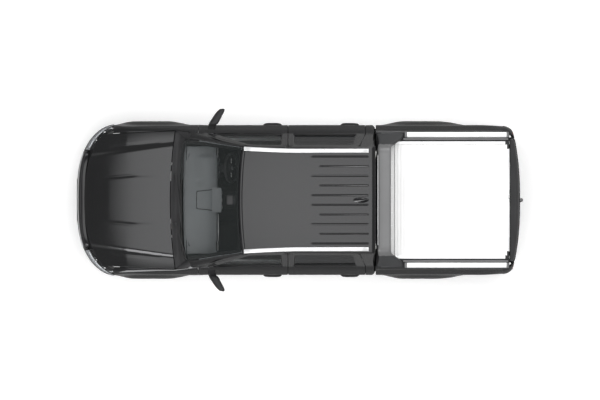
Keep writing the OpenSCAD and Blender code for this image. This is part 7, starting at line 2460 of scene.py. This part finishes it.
def brake(centre, out):
    """A brake disc with a top hat, a caliper and a hose."""
    y0 = centre[1] - out * 0.010
    disc = [(0.0005, -0.012), (0.075, -0.012), (0.076, 0.0), (0.080, 0.002), (0.160, 0.002), (0.164, 0.0),
            (0.164, -0.018),
            (0.160, -0.020), (0.080, -0.020), (0.0005, -0.020)]
    disc = [(r, out * v) for r, v in disc]
    parts = [turned(disc, (centre[0], y0, centre[2]), 96, 0)]
    a = np.radians(np.linspace(118, 178, 24))
    mid = np.stack([centre[0] + 0.135 * np.cos(a), np.full(24, y0 - out * 0.012),
                    centre[2] + 0.135 * np.sin(a)], -1)
    r = 0.030 * (1 - np.abs(np.linspace(-1, 1, 24)) ** 6) + 0.008
    parts.append(tube(mid, r, 16, mat=1, flat=0.9, up=(0, 1, 0)))
    parts.append(tube(np.array([[centre[0] - 0.12, y0 - out * 0.03, centre[2] + 0.03],
                                [centre[0] - 0.09, y0 - out * 0.16, centre[2] + 0.02],
                                [centre[0] - 0.03, y0 - out * 0.22, centre[2] + 0.05]]), 0.006, 8, mat=2))
    return parts


def wheels():
    """Four tyres and rims, each riding on its wheel; brakes ride on the uprights or the axle."""
    for end, s in (("front", FRONT), ("rear", REAR)):
        for name, out in (("right", 1), ("left", -1)):
            centre = (s, out * WHEEL_Y, HUB_Z)
            body = f"{end}_{name}_wheel"
            piece(f"tyre_{end}_{name}_tread", [tyre(centre)], TYRE, body, f"tyre_{end}_{name}",
                  sharp=45)
            piece(f"rim_{end}_{name}_alloy", rim(centre, out), [ALLOY, ALLOY, STEEL, MACHINED, RUBBER],
                  body,
                  f"rim_{end}_{name}", sharp=32)
            piece(f"brake_{end}_{name}", brake(centre, out), [DISC, IRON, RUBBER],
                  f"{name}_upright" if end == "front" else "chassis", bevel=0.0008, sharp=32)


def coil(centre, r, z0, z1, turns, wire):
    """A coil spring: a tube along a helix whose pitch closes up at both ends."""
    t = np.linspace(0, 1, 36 * turns)
    a = t * turns * 2 * np.pi
    rise = ease(np.clip(t * 1.12 - 0.06, 0, 1)) * 0.35 + np.clip(t * 1.12 - 0.06, 0, 1) * 0.65
    path = np.stack([centre[0] + r * np.cos(a), centre[1] + r * np.sin(a), mix(z0, z1, rise)], -1)
    return tube(path, wire, 10, mat=1)


def running_gear():
    """Suspension turrets, dampers, bushes, brake pipes, U-bolts and heat shields drawn round the CAD
    nodes of the frame, axle and exhaust."""
    parts = []
    top = HUB_Z + ARCH_R
    parts.append(coil((FRONT, 0.530, 0), 0.056, 0.435, top - 0.06, 7, 0.0075))
    for z in (0.425, top - 0.055):
        parts.append(turned([(0.042, -0.006), (0.066, -0.004), (0.068, 0.0), (0.066, 0.005),
                             (0.042, 0.006)],
                            (FRONT, 0.530, z), 36, 0, axis=2))
    arm_end = FRONT - 0.07
    for s in (arm_end, FRONT + 0.07):
        parts.append(turned([(0.0005, -0.03), (0.024, -0.03), (0.026, -0.02), (0.026, 0.02),
                             (0.024, 0.03), (0.0005, 0.03)],
                            (s, 0.345, 0.30), 24, 2, axis=0))
    # Rear dampers, U-bolts and spring clamps
    damper = np.array([[REAR + 0.10, 0.455, 0.35], [REAR + 0.06, 0.465, 0.52]])
    parts.append(tube(damper, 0.026, 20, mat=3, up=(0, 1, 0)))
    parts.append(tube(np.array([[REAR + 0.06, 0.465, 0.52], [REAR + 0.035, 0.470, 0.64]]), 0.012, 16,
                      mat=2, up=(0, 1, 0)))
    for s in (REAR - 0.035, REAR + 0.035):
        a = np.linspace(0, np.pi, 20)
        loop = np.stack([np.full(20, s), 0.535 + 0.032 * np.cos(a), HUB_Z + 0.06 + 0.020 * np.sin(a)], -1)
        leg = np.array([[s, 0.567, HUB_Z - 0.08]])
        leg2 = np.array([[s, 0.503, HUB_Z - 0.08]])
        parts.append(tube(np.concatenate([leg, loop, leg2]), 0.006, 10, mat=2, up=(1, 0, 0)))
    for d in (-0.26, 0.24):
        parts.append(block((REAR + d, 0.517, HUB_Z + 0.02), (REAR + d + 0.03, 0.553, HUB_Z + 0.075),
                           0.004, mat=2))
    both_sides = both(parts)
    cover = turned([(0.0005, 0.02), (0.06, 0.018), (0.10, 0.010), (0.112, 0.0), (0.112, -0.01),
                    (0.0005, -0.012)],
                   (REAR + 0.136, 0, HUB_Z), 40, 3, axis=0)
    single = [cover]
    for i in range(10):
        a = i * math.pi / 5
        single.append(turned([(0.0004, 0.006), (0.006, 0.005), (0.007, 0.0), (0.0004, -0.002)],
                             (REAR + 0.137, 0.103 * math.cos(a), HUB_Z + 0.103 * math.sin(a)), 8, 2,
                             axis=0))
    q = np.linspace(0, 1, 40)
    pipe = np.stack([mix(FRONT + 1.0, REAR - 0.2, q), np.full(40, 0.338) + 0.004 * np.sin(q * 30),
                     0.565 + 0.02 * np.sin(q * 6)], -1)
    single.append(tube(pipe, 0.004, 8, mat=2))
    single.append(tube(pipe + np.array([0, 0.0, 0.014]), 0.004, 8, mat=2))
    s0, s1 = FRONT + 1.655, FRONT + 2.145
    t = np.linspace(s0, s1, 30)[:, None]
    a = np.linspace(0.15 * np.pi, 0.85 * np.pi, 20)[None]
    ribs = 0.003 * np.sin((t - s0) * 90)
    shield = np.stack(np.broadcast_arrays(t, -0.215 + 0.098 * np.cos(a),
                                          0.50 + (0.062 + ribs) * np.sin(a)), -1)
    single.append(skin(shield, 0.003, mats=(0, 0, 0)))
    tip = [(0.0295, 0.0), (0.034, 0.002), (0.034, 0.06), (0.030, 0.062), (0.0275, 0.06), (0.0275, 0.0),
           (0.0295, 0.0)]
    single.append(turned(tip, (REAR - 0.25, -0.235, 0.48), 28, 0, axis=0))
    for s in (FRONT + 1.3, FRONT + 1.9, FRONT + 2.2):
        band = np.linspace(0, 2 * np.pi, 40)
        radius = 0.036 if s < FRONT + 1.6 else 0.034
        if s != FRONT + 1.9:
            loop = np.stack([np.full(40, s), -0.235 + radius * np.cos(band),
                             0.475 + radius * np.sin(band)], -1)
            single.append(tube(loop, 0.004, 8, mat=2, up=(1, 0, 0)))
    piece("running_gear_fittings", both_sides + single, [STEEL, CHASSIS, IRON, TRIM], "chassis",
          bevel=0.0006, sharp=32)
    # Tank straps
    tank_lo, tank_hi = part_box("fuel_tank")
    ty0, ty1 = tank_lo[1] + 0.03, tank_hi[1] - 0.03
    straps = []
    for s in (FRONT + 1.50, FRONT + 2.00):
        y = np.linspace(0, 1, 30)
        line = np.stack([np.full(30, s), mix(ty0, ty1, y),
                         tank_lo[2] - 0.001 + 0.006 * np.abs(2 * y - 1) ** 8], -1)
        straps.append(carried(line, [(-0.018, -0.002), (0.018, -0.002), (0.018, 0.002), (-0.018, 0.002)]))
    piece("fuel_tank_straps", straps, STEEL, "chassis")


def spare():
    """The spare wheel's tread: grooves pressed into a turned section, lying flat under the bed."""
    lo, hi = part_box("spare_wheel")
    R = (hi[1] - lo[1]) / 2
    c = (TAIL - 0.180 - R, 0, (lo[2] + hi[2]) / 2)
    h = (hi[2] - lo[2]) / 2
    t = np.linspace(-1, 1, 50)
    e = 1 - np.abs(t) ** 8
    outer = np.stack([R - 0.045 + 0.045 * e ** 0.35
                      - 0.006 * (ridge(t - 0.35, 0.07) + ridge(t + 0.35, 0.07)
                                                               + ridge(t, 0.06)), h * t], -1)
    inner = np.array([[0.22, h * 0.96], [0.205, h * 0.8], [0.203, h * 0.3], [0.0005, h * 0.25],
                      [0.0005, -h * 0.05],
                      [0.19, -h * 0.1], [0.204, -h * 0.3], [0.206, -h * 0.85], [0.22, -h * 0.96]])
    profile = np.concatenate([outer, inner, outer[:1]])
    V, F, _ = turned(profile, c, 240, 0, axis=2)
    r = np.hypot(V[F].mean(1)[:, 0] - c[0], V[F].mean(1)[:, 1])
    parts = [(V, F, np.where(r < 0.21, 1, 0))]
    for i in range(8):
        a = i * math.pi / 4
        parts.append(turned([(0.0004, 0.002), (0.016, 0.001), (0.018, -0.002), (0.0004, -0.004)],
                            (c[0] + 0.12 * math.cos(a), 0.12 * math.sin(a), c[2] - h * 0.09), 16, 2,
                            axis=2))
    parts.append(turned([(0.0005, 0.0), (0.045, 0.0), (0.05, -0.006), (0.05, -0.012), (0.0005, -0.014)],
                        (c[0], 0, c[2] - h * 0.1), 24, 2, axis=2))
    piece("spare_wheel_tyre", parts, [TYRE, ALLOY, STEEL], "chassis", "spare_wheel",
          sharp=35)


def tow_hitch():
    """The tow ball: a turned ball with a flat top, a necked stem and a flange; a drawbar of rounded
    blocks, its cross tube, a safety eye and a socket."""
    _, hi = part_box("tow_ball")
    R = 0.025
    s, z = hi[0] - NOSE - R, hi[2] - R
    a = np.linspace(0.12, np.pi - 0.46, 30)
    ball = np.stack([R * np.sin(a), R * np.cos(a)], -1)
    ball = np.concatenate([[[0.0004, R * math.cos(0.12)]], ball,
                           [[0.0112, -0.030], [0.0112, -0.040], [0.014, -0.060], [0.026, -0.064],
                            [0.027, -0.070], [0.0004, -0.071]]])
    parts = [turned(ball, (s, 0, z), 48, 0, axis=2)]
    parts.append(turned([(0.0004, 0.0), (0.014, 0.0), (0.014, -0.018), (0.0004, -0.02)],
                        (s, 0, z - 0.070), 24, 0, axis=2))
    parts.append(block((s - 0.022, -0.024, z - 0.100), (s + 0.020, 0.024, z - 0.068), 0.008, 3, mat=1))
    t = TAIL - 0.165
    parts.append(block((t, -0.024, z - 0.100), (s - 0.010, 0.024, z - 0.068), 0.006, 3, mat=1))
    parts.append(block((t, -0.024, z - 0.100), (t + 0.045, 0.024, z + 0.096), 0.006, 3, mat=1))
    parts.append(block((t, -0.300, z + 0.018), (t + 0.045, 0.300, z + 0.092), 0.010, 3, mat=1))
    parts.append(turned([(0.0005, 0.02), (0.022, 0.018), (0.024, 0.0), (0.024, -0.02), (0.0005, -0.02)],
                        (t + 0.06, 0.10, z + 0.03), 24, 2, axis=0))
    eye = np.linspace(0, 2 * np.pi, 30)
    parts.append(tube(np.stack([s - 0.07 + 0.018 * np.cos(eye), np.full(30, 0.034),
                                z - 0.084 + 0.018 * np.sin(eye)], -1), 0.005, 8,
                      mat=0, up=(0, 1, 0)))
    piece("tow_hitch", parts, [STEEL, CHASSIS, TRIM], "chassis", "tow_ball", bevel=0.0006,
          sharp=35)


NODE_FINISH = {"ladder_frame": CHASSIS, "powertrain": IRON, "front_suspension": CHASSIS,
               "rear_axle": CHASSIS,
               "fuel_tank": TRIM, "knuckle_left": IRON, "knuckle_right": IRON}


def carried_over():
    """CAD nodes that are drawn as they stand get the finish of what they are."""
    for node, material in NODE_FINISH.items():
        obj = bpy.data.objects[node]
        obj.data.materials.clear()
        obj.data.materials.append(material)


wheels()
running_gear()
spare()
tow_hitch()
carried_over()
